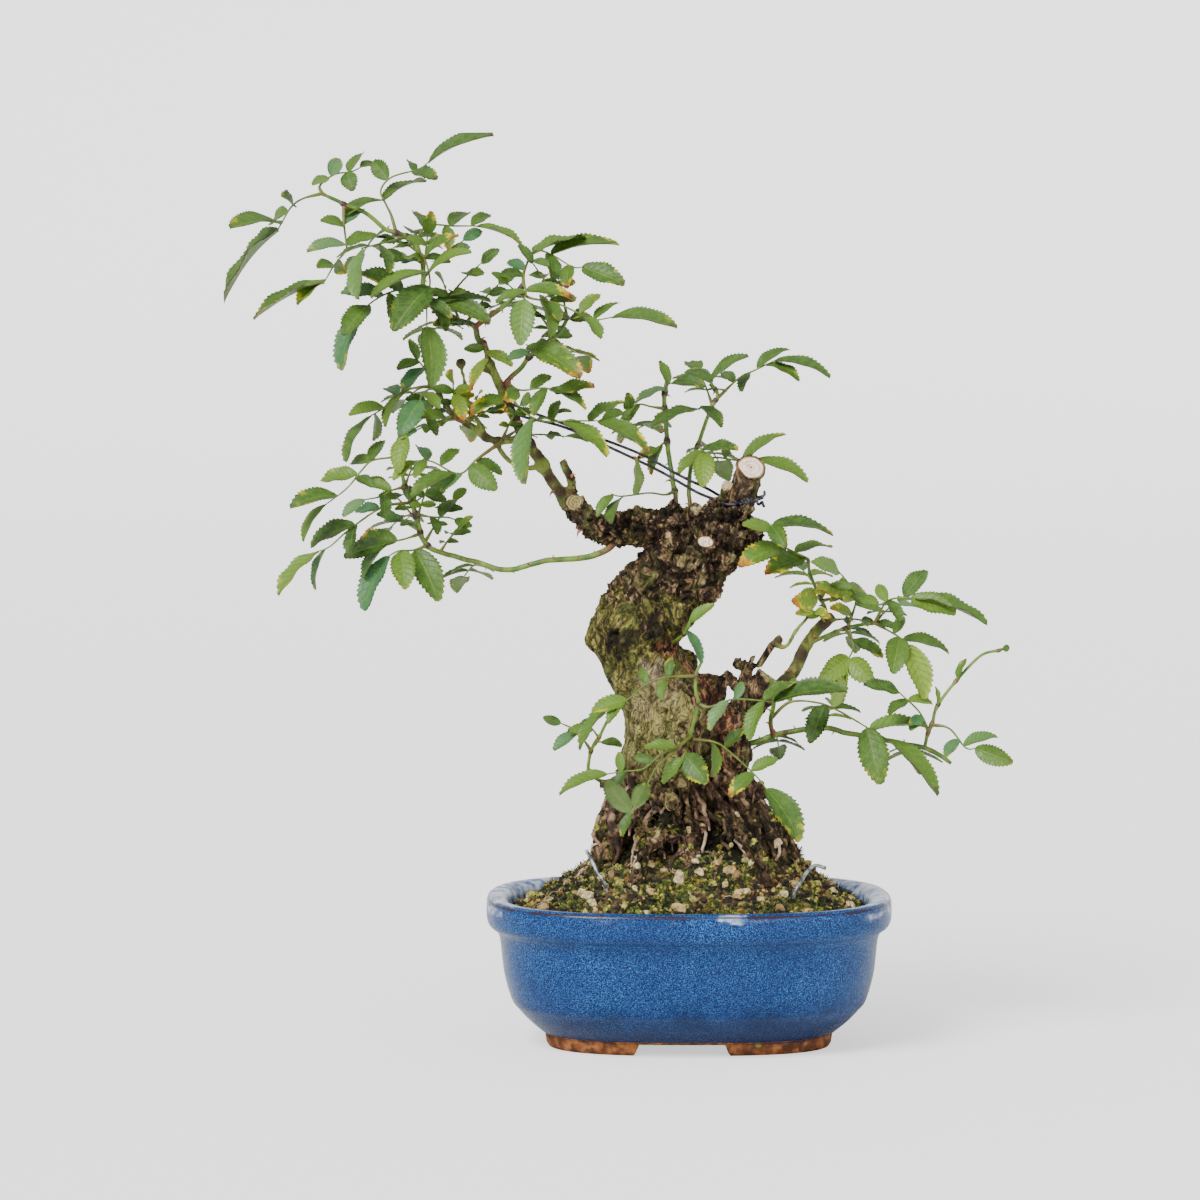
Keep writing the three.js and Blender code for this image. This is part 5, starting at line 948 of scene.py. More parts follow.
class Finish(Web):
    """One procedural material, with short ways to add and join its nodes."""

    mottling: NodeTree | None = None

    def __init__(self, name: str, roughness: float = 0.6) -> None:
        """Starts a material with its shader."""
        self.material = bpy.data.materials.new(name)
        self.material.use_nodes = True
        super().__init__(self.material.node_tree)
        self.shader = self.tree.nodes["Principled BSDF"]
        self.shader.inputs["Roughness"].default_value = roughness
        self.place = self.out("Object", "ShaderNodeTexCoord")
        if Finish.mottling is None:
            Finish.mottling = mottling_group()

    def made(self, output: str | int, kind: str, feeds: dict[str | int, object] | None = None,
            **settings: object) -> Value:
        """Adds a node as out does, and gives its output as a value."""
        return Value(self, self.out(output, kind, feeds, **settings))

    def patches(self, scale: float, low: float = 0.4, high: float = 0.6, detail: float = 4.0,
            vector: Value | None = None) -> Value:
        """Soft patches; scale is in patches a metre."""
        return self.made("Patches", "ShaderNodeGroup", {"Vector": vector or self.place,
            "Scale": scale, "Detail": detail, "Low": low, "High": high},
            node_tree=Finish.mottling)

    def cells(self, scale: float) -> Value:
        """Distance from the middles of small cells."""
        return self.made("Distance", "ShaderNodeTexVoronoi", {"Vector": self.place,
            "Scale": scale}, feature="F1")

    def stretched(self, scale: Point, vector: Value | None = None) -> Value:
        """Object coordinates, or others, stretched along each axis."""
        return self.made("Vector", "ShaderNodeMapping", {"Vector": vector or self.place,
            "Scale": scale})

    def swirled(self, scale: float, reach: float) -> Value:
        """Object coordinates pushed about by soft noise; reach is in millimetres."""
        cloud = self.made("Color", "ShaderNodeTexNoise", {"Vector": self.place, "Scale": scale})
        return self.made("Vector", "ShaderNodeVectorMath", {0: cloud,
            1: (reach * MM, reach * MM, reach * MM), 2: self.place}, operation="MULTIPLY_ADD")

    def seams(self, scale: float, width: float, vector: Value | None = None) -> Value:
        """Thin wandering lines, 1 on a line and 0 between."""
        return self.rise(abs(self.patches(scale, 0.2, 0.8, 3, vector) - 0.5), width, 0.0)

    def split(self, vector: object) -> list[Value]:
        """The three parts of a vector."""
        return [Value(self, part) for part in self.add("ShaderNodeSeparateXYZ",
            {0: vector}).outputs]

    def layer(self, name: str) -> list[Value]:
        """The three values that a piece's mesh carries under a name."""
        return self.split(self.made("Vector", "ShaderNodeAttribute", attribute_name=name))

    def height(self) -> Value:
        """Height above the ground, in metres."""
        return self.split(self.place)[2]

    def sum(self, kind: str, *values: object) -> Value:
        """Arithmetic on values or numbers; kind is the name of a Math operation."""
        return self.made(0, "ShaderNodeMath", dict(enumerate(values)), operation=kind)

    def rise(self, value: object, low: float, high: float) -> Value:
        """Smooth rise from 0 at low to 1 at high, or a fall where low is the larger."""
        feeds = {"Value": value, "From Min": min(low, high), "From Max": max(low, high)}
        if low > high:
            feeds |= {"To Min": 1.0, "To Max": 0.0}
        return self.made("Result", "ShaderNodeMapRange", feeds, interpolation_type="SMOOTHSTEP")

    def blend(self, share: object, first: object, second: object) -> Value:
        """Mix of two colours."""
        return self.made("Result", "ShaderNodeMix", {"Factor": share, "A": first, "B": second},
            data_type="RGBA")

    def shades(self, value: object, stops: Sequence[tuple[float, Colour]]) -> Value:
        """Colour that runs through several stops."""
        node = self.add("ShaderNodeValToRGB", {"Fac": value})
        ramp = node.color_ramp
        while len(ramp.elements) < len(stops):
            ramp.elements.new(0.5)
        for element, (place, colour) in zip(ramp.elements, stops):
            element.position, element.color = place, colour
        return Value(self, node.outputs["Color"])

    def relief(self, height: object, depth: float, strength: float = 1.0) -> None:
        """Bump from a height between 0 and 1; depth is in millimetres."""
        self.put(self.shader.inputs["Normal"], self.made("Normal", "ShaderNodeBump",
            {"Strength": strength, "Distance": depth * MM, "Height": height}))

    def wear(self, **sockets: object) -> Material:
        """Sets sockets of the shader, their spaces written as _, and gives the material."""
        for name, value in sockets.items():
            self.put(self.shader.inputs[name.replace("_", " ")], value)
        return self.material


def leaf_finish() -> Material:
    """Rose leaf: veins, painted crease shade, turned margins, burnt tips, paler underside."""
    f = Finish("rose_leaf", 0.5)
    along, across, under = f.layer("leaf_place")
    light, yellow, burnt = f.layer("tone")
    out = abs(across)
    green = f.shades(light, [(0.0, srgb(34, 62, 20)), (0.3, srgb(64, 96, 28)),
        (0.55, srgb(96, 128, 38)), (0.72, srgb(140, 166, 50)), (0.84, srgb(52, 108, 72)),
        (1.0, srgb(158, 180, 112))])
    green = f.blend(f.patches(420, 0.35, 0.65) * 0.3, green, srgb(104, 148, 48))
    green = f.blend(f.patches(1500, 0.45, 0.62) * 0.22, green, srgb(40, 74, 30))
    slant = (along - out * 0.2) * 7.5
    phase = abs(f.sum("FRACT", slant) - 0.5)
    vein = f.rise(phase, 0.09, 0.0)
    vein = vein * f.rise(out, 1.0, 0.75)
    midrib = f.rise(out, 0.1, 0.02)
    veins = f.sum("MAXIMUM", vein, midrib)
    # Painted shade: a darker band in the creases beside each vein.
    crease_shade = f.rise(phase, 0.2, 0.1)
    colour = f.blend(crease_shade * 0.25, green, srgb(34, 62, 14))
    colour = f.blend(veins * 0.22, colour, srgb(146, 166, 70))
    colour = f.blend(under * 0.4, colour, srgb(124, 146, 80))
    wander = (f.patches(330, 0.3, 0.7) - 0.5) * 0.7
    reach = out * 0.5 + along * 0.95
    reach = reach + wander + yellow * 0.35
    edge = f.rise(reach, 1.2, 1.55) * f.rise(yellow, 0.0, 0.7)
    colour = f.blend(edge, colour, srgb(208, 196, 14))
    tip = along + wander * 0.25
    ember = f.rise(tip, 0.8, 0.9) * f.rise(yellow, 0.4, 0.8)
    colour = f.blend(ember * 0.85, colour, srgb(184, 104, 18))
    char = f.rise(tip, 0.92, 0.97) * burnt
    colour = f.blend(char, colour, srgb(62, 34, 36))
    rim = f.rise(out, 0.93, 1.0) * f.rise(f.patches(260), 0.2, 0.8)
    colour = f.blend(rim * 0.85, colour, srgb(78, 50, 40))
    rough = f.patches(800) * 0.16 + 0.42
    height = veins * -0.8 + f.cells(1300) * 0.5
    f.relief(height, 0.18, 0.7)
    f.shader.inputs["Specular IOR Level"].default_value = 0.42
    return f.wear(Base_Color=colour, Roughness=rough)


def cane_finish() -> Material:
    """Green rose cane, redder and browner with age and at its joints."""
    f = Finish("rose_cane", 0.45)
    age, blush, joint = f.layer("cane_place")
    green = f.blend(f.patches(260, 0.38, 0.62, 4, f.stretched((1, 1, 0.35))), srgb(66, 104, 24),
        srgb(110, 144, 42))
    flushed = f.patches(150, 0.42, 0.6) * 0.5
    colour = f.blend(f.sum("MINIMUM", blush + flushed * age, 1.0), green, srgb(112, 56, 40))
    fleck = f.rise(f.cells(900), 0.22, 0.1) * 0.3
    colour = f.blend(fleck, colour, srgb(188, 186, 120))
    dark = f.patches(420, 0.56, 0.66) * (age * 0.7)
    colour = f.blend(dark, colour, srgb(66, 44, 34))
    colour = f.blend(f.rise(joint + f.patches(700) * 0.3, 0.5, 0.9), colour, srgb(58, 34, 36))
    f.relief(f.patches(900, 0.3, 0.7), 0.12, 0.5)
    return f.wear(Base_Color=colour, Roughness=dark * 0.3 + 0.42)


def bark_finish() -> Material:
    """Old rose wood: fissured bark, lichen, red-brown ridges, pale cuts and painted shading."""
    f = Finish("rose_bark", 0.85)
    moss, red, young = f.layer("bark_zone")
    cut, pale, crevice_shade = f.layer("bark_wear")
    joint, rooty, knot = f.layer("bark_joint")
    relief_shading, ring, low = f.layer("bark_form")
    swirl = f.swirled(70, 16)
    fibres = f.stretched((1, 1, 0.3), swirl)
    seams = f.sum("MAXIMUM", f.seams(330, 0.07, fibres),
        f.seams(800, 0.09, f.stretched((1, 1, 0.4), swirl)) * 0.75)
    # Painted highlight and shade: lighter high on the ridges, darker low in the hollows.
    level = f.patches(620, 0.3, 0.7, 8, fibres) * 0.65 + relief_shading * 0.36
    base = f.shades(level, [(0.0, srgb(18, 12, 8)), (0.3, srgb(58, 42, 29)),
        (0.55, srgb(110, 85, 60)), (0.78, srgb(184, 150, 108)), (1.0, srgb(240, 208, 160))])
    redwood = f.shades(f.patches(620, 0.3, 0.7, 8, fibres),
        [(0.0, srgb(34, 17, 12)), (0.45, srgb(98, 56, 38)), (1.0, srgb(196, 136, 94))])
    colour = f.blend(red, base, redwood)
    # Painted highlight and shade on the lichen too: lighter on the ridges.
    lichen = f.shades(f.patches(620, 0.3, 0.7, 7, fibres) * 0.7 + relief_shading * 0.3,
        [(0.0, srgb(30, 27, 14)), (0.3, srgb(78, 72, 32)), (0.62, srgb(142, 134, 60)),
        (1.0, srgb(214, 204, 122))])
    lichen = f.blend(low * 0.75, lichen, f.blend(f.patches(420, 0.3, 0.7, 7, fibres),
        srgb(128, 118, 56), srgb(226, 216, 138)))
    cover = f.rise(moss * 1.3 + f.patches(160, 0.3, 0.7, 6), 0.85, 1.35)
    colour = f.blend(cover * 0.9, colour, lichen)
    green = f.blend(f.patches(240, 0.42, 0.6, 5, fibres), srgb(84, 100, 36), srgb(134, 146, 66))
    skin = f.rise(young + f.patches(190, 0.35, 0.65, 5, fibres), 0.7, 1.3)
    colour = f.blend(skin * 0.95, colour, green)
    tan = f.blend(f.patches(300, 0.3, 0.7, 6, fibres), srgb(150, 126, 92), srgb(216, 192, 156))
    colour = f.blend(pale * 0.8, colour, tan)
    colour = f.blend(f.rise(knot, 0.6, 1.0) * 0.5, colour,
        f.blend(f.patches(600, 0.35, 0.65, 7, fibres), srgb(92, 74, 44), srgb(206, 184, 128)))
    colour = f.blend(f.rise(knot, 0.4, 0.0) * 0.6, colour, srgb(34, 25, 19))
    # Painted shade: dark lines down the fissures, which the bump also sinks.
    drawn = seams * (0.82 - skin * 0.7)
    colour = f.blend(drawn, colour, srgb(34, 25, 16))
    root_tone = f.shades(f.patches(420, 0.3, 0.7, 7, fibres),
        [(0.0, srgb(26, 18, 13)), (0.45, srgb(78, 57, 40)), (0.75, srgb(122, 95, 66)),
        (1.0, srgb(186, 152, 112))])
    colour = f.blend(rooty * 0.75, colour, root_tone)
    colour = f.blend(joint * 0.9, colour, srgb(62, 38, 34))
    # Painted shade: near black in hollows, cracks, grooves round knots and gaps between roots.
    colour = f.blend(crevice_shade * 0.92, colour, srgb(20, 13, 10))
    turn = ring * 21.0 + f.patches(200) * 3.0
    grown = f.rise(f.sum("SINE", turn), -0.6, 1.0)
    wood = f.blend(grown * 0.7, srgb(255, 240, 222), srgb(230, 190, 156))
    wood = f.blend(f.rise(ring, 0.16, 0.05), wood, srgb(150, 104, 70))
    wood = f.blend(f.rise(ring, 0.84, 0.96), wood, srgb(120, 84, 56))
    old = f.blend(grown, srgb(146, 128, 78), srgb(196, 178, 122))
    split = f.seams(300, 0.05, swirl) * 0.65
    wood = f.blend(split, wood, srgb(132, 92, 62))
    sawn = f.blend(f.rise(cut, 0.55, 0.75), old, wood)
    colour = f.blend(f.rise(cut, 0.15, 0.35), colour, sawn)
    wrinkle = f.patches(1500, 0.3, 0.7, 6, f.stretched((1, 1, 0.4), swirl))
    height = f.patches(620, 0.2, 0.8, 8, fibres) + wrinkle * 0.4
    height = height - seams * 0.7
    smooth = 1.0 - f.sum("MAXIMUM", cut, young) * 0.9
    f.relief(height * smooth, 1.4, 0.9)
    rough = 0.88 - skin * 0.3
    f.shader.inputs["Specular IOR Level"].default_value = 0.3
    return f.wear(Base_Color=colour, Roughness=rough)


def glaze_finish() -> Material:
    """Speckled blue glaze, worn at the lip, painted shade low down, over bare terracotta."""
    f = Finish("blue_glaze", 0.25)
    edge, worn, bare = f.layer("glaze_zone")
    blue = f.shades(f.patches(2600, 0.34, 0.66, 2), [(0.0, srgb(0, 16, 52)), (0.4, srgb(2, 40, 96)),
        (0.68, srgb(16, 70, 134)), (1.0, srgb(66, 126, 190))])
    blue = f.blend(f.patches(30, 0.35, 0.65, 3) * 0.4, blue, srgb(4, 32, 86))
    speck = f.rise(f.cells(3000), 0.2, 0.08)
    blue = f.blend(speck * 0.22, blue, srgb(84, 140, 202))
    # Painted shade and darker reflection: the glaze is darkened towards the foot.
    low = f.rise(f.height() + f.patches(60) * 0.006, 0.026, 0.012)
    blue = f.blend(low * 0.62, blue, srgb(2, 16, 50))
    pin = f.rise(f.cells(105), 0.05, 0.03)
    blue = f.blend(pin, blue, srgb(10, 14, 30))
    grey = f.blend(f.patches(240, 0.35, 0.65, 6), srgb(58, 92, 146), srgb(188, 198, 214))
    wear = f.rise(worn * 1.4 + f.patches(110, 0.3, 0.7, 6), 1.05, 1.6)
    colour = f.blend(wear, blue, grey)
    line = f.rise(edge + f.patches(120, 0.3, 0.7) * 0.35, 0.72, 1.02)
    colour = f.blend(line * 0.88, colour, srgb(52, 34, 34))
    clay = f.blend(f.patches(300, 0.35, 0.65, 6), srgb(108, 62, 34), srgb(172, 110, 64))
    clay = f.blend(f.patches(260, 0.44, 0.6, 6) * 0.8, clay, srgb(70, 44, 30))
    drip = f.rise(f.cells(70), 0.12, 0.05) * f.rise(f.height(), 0.006, 0.004)
    clay = f.blend(drip * 0.8, clay, srgb(150, 146, 58))
    raw = f.rise(bare + f.patches(70, 0.3, 0.7, 3) * 0.16, 0.52, 0.6)
    brink = f.rise(bare + f.patches(70, 0.3, 0.7, 3) * 0.16, 0.42, 0.53) * 0.8
    colour = f.blend(brink, colour, srgb(70, 56, 62))
    colour = f.blend(raw, colour, clay)
    sheen = f.sum("ADD", 0.2, f.patches(600, 0.3, 0.7) * 0.12)
    sheen = sheen + f.sum("MAXIMUM", raw, 0.0) * 0.5
    f.relief(f.patches(700, 0.2, 0.8, 4) + pin * -1.5, 0.12, 0.5)
    f.shader.inputs["Coat Roughness"].default_value = 0.12
    f.shader.inputs["Specular IOR Level"].default_value = 0.2
    shine = (1.0 - raw) * 0.13
    coat = shine * (1.0 - low * 0.8)
    return f.wear(Base_Color=colour, Roughness=sheen, Coat_Weight=coat)


def soil_finish() -> Material:
    """Dark soil under the grains, greener where moss grows."""
    f = Finish("dark_soil", 0.95)
    moss, _, _ = f.layer("soil_zone")
    earth = f.shades(f.patches(420, 0.25, 0.75, 7),
        [(0.0, srgb(20, 15, 10)), (0.4, srgb(50, 39, 24)), (0.7, srgb(92, 72, 42)),
        (1.0, srgb(156, 128, 80))])
    turf = f.shades(f.patches(620, 0.25, 0.75, 6),
        [(0.0, srgb(28, 34, 12)), (0.5, srgb(70, 84, 26)), (1.0, srgb(140, 144, 52))])
    share = f.rise(moss + f.patches(130, 0.35, 0.65, 6), 0.6, 1.2)
    f.relief(f.patches(520, 0.2, 0.8, 8), 1.2)
    return f.wear(Base_Color=f.blend(share, earth, turf))


def grain_finish(name: str, dark: Colour, middle: Colour, pale: Colour) -> Material:
    """Grains of one sort, each a little different."""
    f = Finish(name, 0.9)
    tone, mossy, _ = f.layer("tone")
    own = f.shades(tone, [(0.0, dark), (0.5, middle), (1.0, pale)])
    pitted = f.patches(600, 0.42, 0.62, 6)
    colour = f.blend(pitted * 0.65, own, dark)
    green = f.blend(f.patches(900), srgb(92, 102, 32), srgb(198, 194, 84))
    cover = f.rise(mossy + f.patches(260) * 0.5, 0.85, 1.15)
    colour = f.blend(cover * 0.85, colour, green)
    f.relief(f.patches(900, 0.25, 0.75, 6), 0.5)
    return f.wear(Base_Color=colour)


def moss_finish() -> Material:
    """Moss blades, dark at the foot and yellow-green at the tip."""
    f = Finish("moss", 0.8)
    tone = f.layer("tone")[0]
    height = f.layer("blade_place")[0]
    patch = f.patches(80, 0.35, 0.65, 3) * 0.75 + tone * 0.3
    own = f.shades(patch, [(0.0, srgb(12, 16, 7)), (0.42, srgb(28, 38, 12)),
        (0.66, srgb(56, 70, 20)), (0.84, srgb(112, 122, 32)), (1.0, srgb(196, 192, 68))])
    colour = f.blend(f.rise(height, 1.0, 0.0) * 0.75, own, srgb(22, 24, 11))
    return f.wear(Base_Color=colour)


def root_finish() -> Material:
    """Fine brown roots, dusty on top."""
    f = Finish("fine_root", 0.85)
    pale = f.layer("root_tone")[0]
    colour = f.shades(f.patches(260, 0.3, 0.7, 6),
        [(0.0, srgb(34, 24, 20)), (0.5, srgb(86, 62, 46)), (1.0, srgb(168, 136, 106))])
    colour = f.blend(pale, colour, f.blend(f.patches(400), srgb(168, 136, 104),
        srgb(226, 202, 172)))
    f.relief(f.patches(900, 0.25, 0.75, 5), 0.25)
    return f.wear(Base_Color=colour)


def wire_finish(name: str, dull: Colour, bright: Colour, metal: float) -> Material:
    """Drawn wire, scuffed along its length."""
    f = Finish(name, 0.4)
    scuff = f.patches(500, 0.42, 0.6, 5)
    f.relief(f.patches(1300, 0.3, 0.7), 0.06, 0.6)
    rough = f.sum("ADD", 0.32, scuff * 0.25)
    return f.wear(Base_Color=f.blend(scuff, dull, bright), Roughness=rough, Metallic=metal)


def plastic_mesh_finish() -> Material:
    """Black plastic drainage mesh, dusty with soil."""
    f = Finish("black_plastic_mesh", 0.6)
    dust = f.patches(300, 0.5, 0.68, 6)
    f.relief(f.patches(1100), 0.1, 0.5)
    return f.wear(Base_Color=f.blend(dust * 0.5, srgb(30, 30, 31), srgb(96, 80, 58)),
        Roughness=f.sum("ADD", 0.5, dust * 0.3))


def thorn_finish() -> Material:
    """Rose thorns, red-brown with paler tips."""
    f = Finish("rose_thorn", 0.4)
    colour = f.blend(f.patches(700), srgb(112, 62, 44), srgb(176, 118, 72))
    f.relief(f.patches(1500), 0.05, 0.4)
    return f.wear(Base_Color=colour)


class NodeRecipe(Web):
    """Geometry node tree with named inputs, run once on an object and applied."""

    def __init__(self, name: str, **inputs: str) -> None:
        """Starts a tree with a Geometry input and output, and inputs of the given kinds."""
        super().__init__(bpy.data.node_groups.new(name, "GeometryNodeTree"))
        face = self.tree.interface
        for label, kind in {"Geometry": "Geometry", **inputs}.items():
            face.new_socket(name=label, in_out="INPUT", socket_type="NodeSocket" + kind)
        face.new_socket(name="Geometry", in_out="OUTPUT", socket_type="NodeSocketGeometry")
        self.given = self.add("NodeGroupInput").outputs

    def layer(self, name: str, kind: str = "FLOAT") -> Socket:
        """Value that the points carry under a name."""
        return self.out("Attribute", "GeometryNodeInputNamedAttribute", {"Name": name},
            data_type=kind)

    def random(self, kind: str, **feeds: object) -> Socket:
        """Random value of a kind for each point, with the inputs Min, Max and Seed."""
        return self.out("Value", "FunctionNodeRandomValue", feeds, data_type=kind)

    def copies(self, points: Socket, turn: Socket, scale: Socket,
            sort: Socket | None = None) -> Socket:
        """Instances of the shapes in the collection of the input Shapes.

        Args:
            points: Where they stand.
            turn: Their rotation.
            scale: Their size.
            sort: Which shape stands at a point; any of them where it isn't given.

        Returns:
            The instances.
        """
        shapes = self.out("Instances", "GeometryNodeCollectionInfo", {"Separate Children": True,
            "Reset Children": True, "Collection": self.given["Shapes"]})
        return self.out("Instances", "GeometryNodeInstanceOnPoints", {"Pick Instance": True,
            "Points": points, "Instance": shapes, "Rotation": turn, "Scale": scale,
            "Instance Index": sort})

    def toned(self, geometry: Socket, tone: Socket) -> Socket:
        """Stores a vector on the instances as their layer tone, and gives the geometry."""
        return self.out("Geometry", "GeometryNodeStoreNamedAttribute", {"Name": "tone",
            "Geometry": geometry, "Value": tone}, data_type="FLOAT_VECTOR", domain="INSTANCE")

    def end(self, geometry: Socket) -> None:
        """Ends the tree: real geometry in the input's material."""
        real = self.out("Geometry", "GeometryNodeRealizeInstances", {"Geometry": geometry})
        coat = self.out("Geometry", "GeometryNodeSetMaterial", {"Geometry": real,
            "Material": self.given["Material"]})
        self.add("NodeGroupOutput", {"Geometry": coat})

    def run(self, made: Object, **values: object) -> Object:
        """Applies the tree to an object.

        Args:
            made: Object that carries the tree; it is replaced.
            values: Value of each named input.

        Returns:
            A plain object with the resulting mesh.
        """
        modifier = made.modifiers.new("recipe", "NODES")
        modifier.node_group = self.tree
        for item in self.tree.interface.items_tree:
            if item.in_out == "INPUT" and item.name in values:
                modifier[item.identifier] = values[item.name]
        return place_piece(made.name, settled(made), values["Material"])


def strewing_recipe() -> NodeRecipe:
    """Strews small shapes over a surface, as densely as its layer allowed says.

    Returns:
        A recipe with the inputs Shapes, Density, Apart, Smallest, Largest, Lean, Seed and
        Material. Each shape gets its own random tone.
    """
    r = NodeRecipe("Strewn shapes", Shapes="Collection", Density="Float", Apart="Float",
        Smallest="Float", Largest="Float", Lean="Float", Seed="Int", Material="Material")
    given = r.given
    strew = r.add("GeometryNodeDistributePointsOnFaces", {"Mesh": given["Geometry"],
        "Distance Min": given["Apart"], "Density Max": given["Density"],
        "Density Factor": r.layer("allowed"), "Seed": given["Seed"]}, distribute_method="POISSON")
    size = r.random("FLOAT", Min=given["Smallest"], Max=given["Largest"], Seed=given["Seed"])
    spin = r.random("FLOAT_VECTOR", Min=(-1, -1, -math.pi), Max=(1, 1, math.pi))
    reach = r.out("Vector", "ShaderNodeCombineXYZ", {"X": given["Lean"], "Y": given["Lean"],
        "Z": 1.0})
    lean = r.out("Vector", "ShaderNodeVectorMath", {0: spin, 1: reach}, operation="MULTIPLY")
    stand = r.out("Rotation", "FunctionNodeRotateRotation", {
        "Rotation": strew.outputs["Rotation"],
        "Rotate By": r.out("Rotation", "FunctionNodeEulerToRotation", {"Euler": lean})},
        rotation_space="LOCAL")
    copies = r.copies(strew.outputs["Points"], stand, size)
    r.end(r.toned(copies, r.random("FLOAT_VECTOR")))
    return r


def placing_recipe() -> NodeRecipe:
    """Puts a shape at every point, turned and sized as the point's layers say.

    Returns:
        A recipe with the inputs Shapes and Material. The points carry turn, size, tone and
        sort, the last of which picks the shape.
    """
    r = NodeRecipe("Placed shapes", Shapes="Collection", Material="Material")
    turn = r.out("Rotation", "FunctionNodeEulerToRotation",
        {"Euler": r.layer("turn", "FLOAT_VECTOR")})
    copies = r.copies(r.given["Geometry"], turn, r.layer("size", "FLOAT_VECTOR"),
        r.layer("sort", "INT"))
    r.end(r.toned(copies, r.layer("tone", "FLOAT_VECTOR")))
    return r


def wire_recipe() -> NodeRecipe:
    """Gives drawn lines a round section, as thick as their layer thickness says.

    Returns:
        A recipe with the inputs Sides and Material.
    """
    r = NodeRecipe("Round wire", Sides="Int", Material="Material")
    line = r.out("Curve", "GeometryNodeMeshToCurve", {"Mesh": r.given["Geometry"]})
    ring = r.out("Curve", "GeometryNodeCurvePrimitiveCircle", {"Resolution": r.given["Sides"],
        "Radius": MM})
    skin = r.out("Mesh", "GeometryNodeCurveToMesh", {"Fill Caps": True, "Curve": line,
        "Profile Curve": ring, "Scale": r.layer("thickness")})
    r.end(r.out("Geometry", "GeometryNodeSetShadeSmooth", {"Geometry": skin}))
    return r


class Lines:
    """Bare lines that the wire recipe turns into rods, canes or roots."""

    def __init__(self, *layers: str) -> None:
        """Starts empty, with the named layers of three values for each point."""
        self.points: list[Array] = []
        self.edges: list[tuple[int, int]] = []
        self.thickness: list[Array] = []
        self.layers: dict[str, list[Array]] = {name: [] for name in layers}
        self.count = 0

    def add(self, line: Array, radii: Sequence[float], **layers: Array) -> None:
        """Adds a line, with radii spread along it in millimetres and its layers."""
        count = len(line)
        self.points.append(line)
        self.thickness.append(spread(radii, count))
        self.edges.extend((self.count + i, self.count + i + 1) for i in range(count - 1))
        self.count += count
        for name, stack in self.layers.items():
            stack.append(np.broadcast_to(np.array(layers[name], float), (count, 3)))

    def rods(self, name: str, recipe: NodeRecipe, sides: int, material: Material) -> Object:
        """The finished rods."""
        mesh = bpy.data.meshes.new(name)
        mesh.from_pydata((np.vstack(self.points) * MM + CENTRE).tolist(), self.edges, [])
        radius = mesh.attributes.new("thickness", "FLOAT", "POINT")
        radius.data.foreach_set("value", np.concatenate(self.thickness).astype(np.float32))
        for layer, stack in self.layers.items():
            write_layer(mesh, layer, np.vstack(stack))
        return recipe.run(in_scene(name, mesh), Sides=sides, Material=material)


class Spots:
    """Points at which the placing recipe puts shapes."""

    def __init__(self) -> None:
        """Starts empty."""
        self.places: list[Array] = []
        self.turns: list[tuple[float, float, float]] = []
        self.sizes: list[tuple[float, float, float]] = []
        self.tones: list[tuple[float, float, float]] = []
        self.sorts: list[int] = []

    def add(self, place: Array, ahead: Array, up: Array, size: Point, tone: Point,
            sort: int) -> None:
        """Adds a shape.

        Args:
            place: Where its origin goes, in millimetres.
            ahead: Where its Y axis points.
            up: Where its Z axis points, at a right angle to its Y axis.
            size: Its scale along its own axes.
            tone: The three values that its material reads.
            sort: Which shape of the collection it is.
        """
        aside = np.cross(ahead, up)
        frame_of = Matrix([aside, ahead, up]).transposed()
        self.places.append(place)
        self.turns.append(tuple(frame_of.to_euler()))
        self.sizes.append(size)
        self.tones.append(tone)
        self.sorts.append(sort)

    def shapes(self, name: str, recipe: NodeRecipe, shelf: Collection,
            material: Material) -> Object:
        """The shapes, all as one piece."""
        mesh = bpy.data.meshes.new(name)
        mesh.from_pydata((np.array(self.places) * MM + CENTRE).tolist(), [], [])
        for layer, rows in (("turn", self.turns), ("size", self.sizes), ("tone", self.tones)):
            write_layer(mesh, layer, np.array(rows))
        sorts = mesh.attributes.new("sort", "INT", "POINT")
        sorts.data.foreach_set("value", np.array(self.sorts, np.int32))
        return recipe.run(in_scene(name, mesh), Shapes=shelf, Material=material)


def shelve(name: str, drafts: Sequence[Draft]) -> Collection:
    """Collection of shapes about the origin, for a recipe to copy; it isn't in the scene."""
    shelf = bpy.data.collections.new(name)
    for i, draft in enumerate(drafts):
        mesh = draft.mesh(f"{name}_{i:02d}", np.zeros(3))
        shelf.objects.link(bpy.data.objects.new(f"{name}_{i:02d}", mesh))
    return shelf


def clear_shelf(shelf: Collection) -> None:
    """Removes the shapes that a recipe has copied."""
    for made in list(shelf.objects):
        bpy.data.objects.remove(made)
    bpy.data.collections.remove(shelf)


def surface_tree(mesh: Mesh) -> BVHTree:
    """Search tree of a mesh's faces, in millimetres round the pot's centre line."""
    corners = [list(face.vertices) for face in mesh.polygons]
    return BVHTree.FromPolygons(coordinates(mesh).tolist(), corners)


def declare(made: Object, slot: str, *nodes: str) -> None:
    """Ties a piece to the one body and hides the nodes that it stands for."""
    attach(made, "root")
    if nodes:
        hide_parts(*nodes)
    LOG.info("%s: %d faces", made.name, len(made.data.polygons))


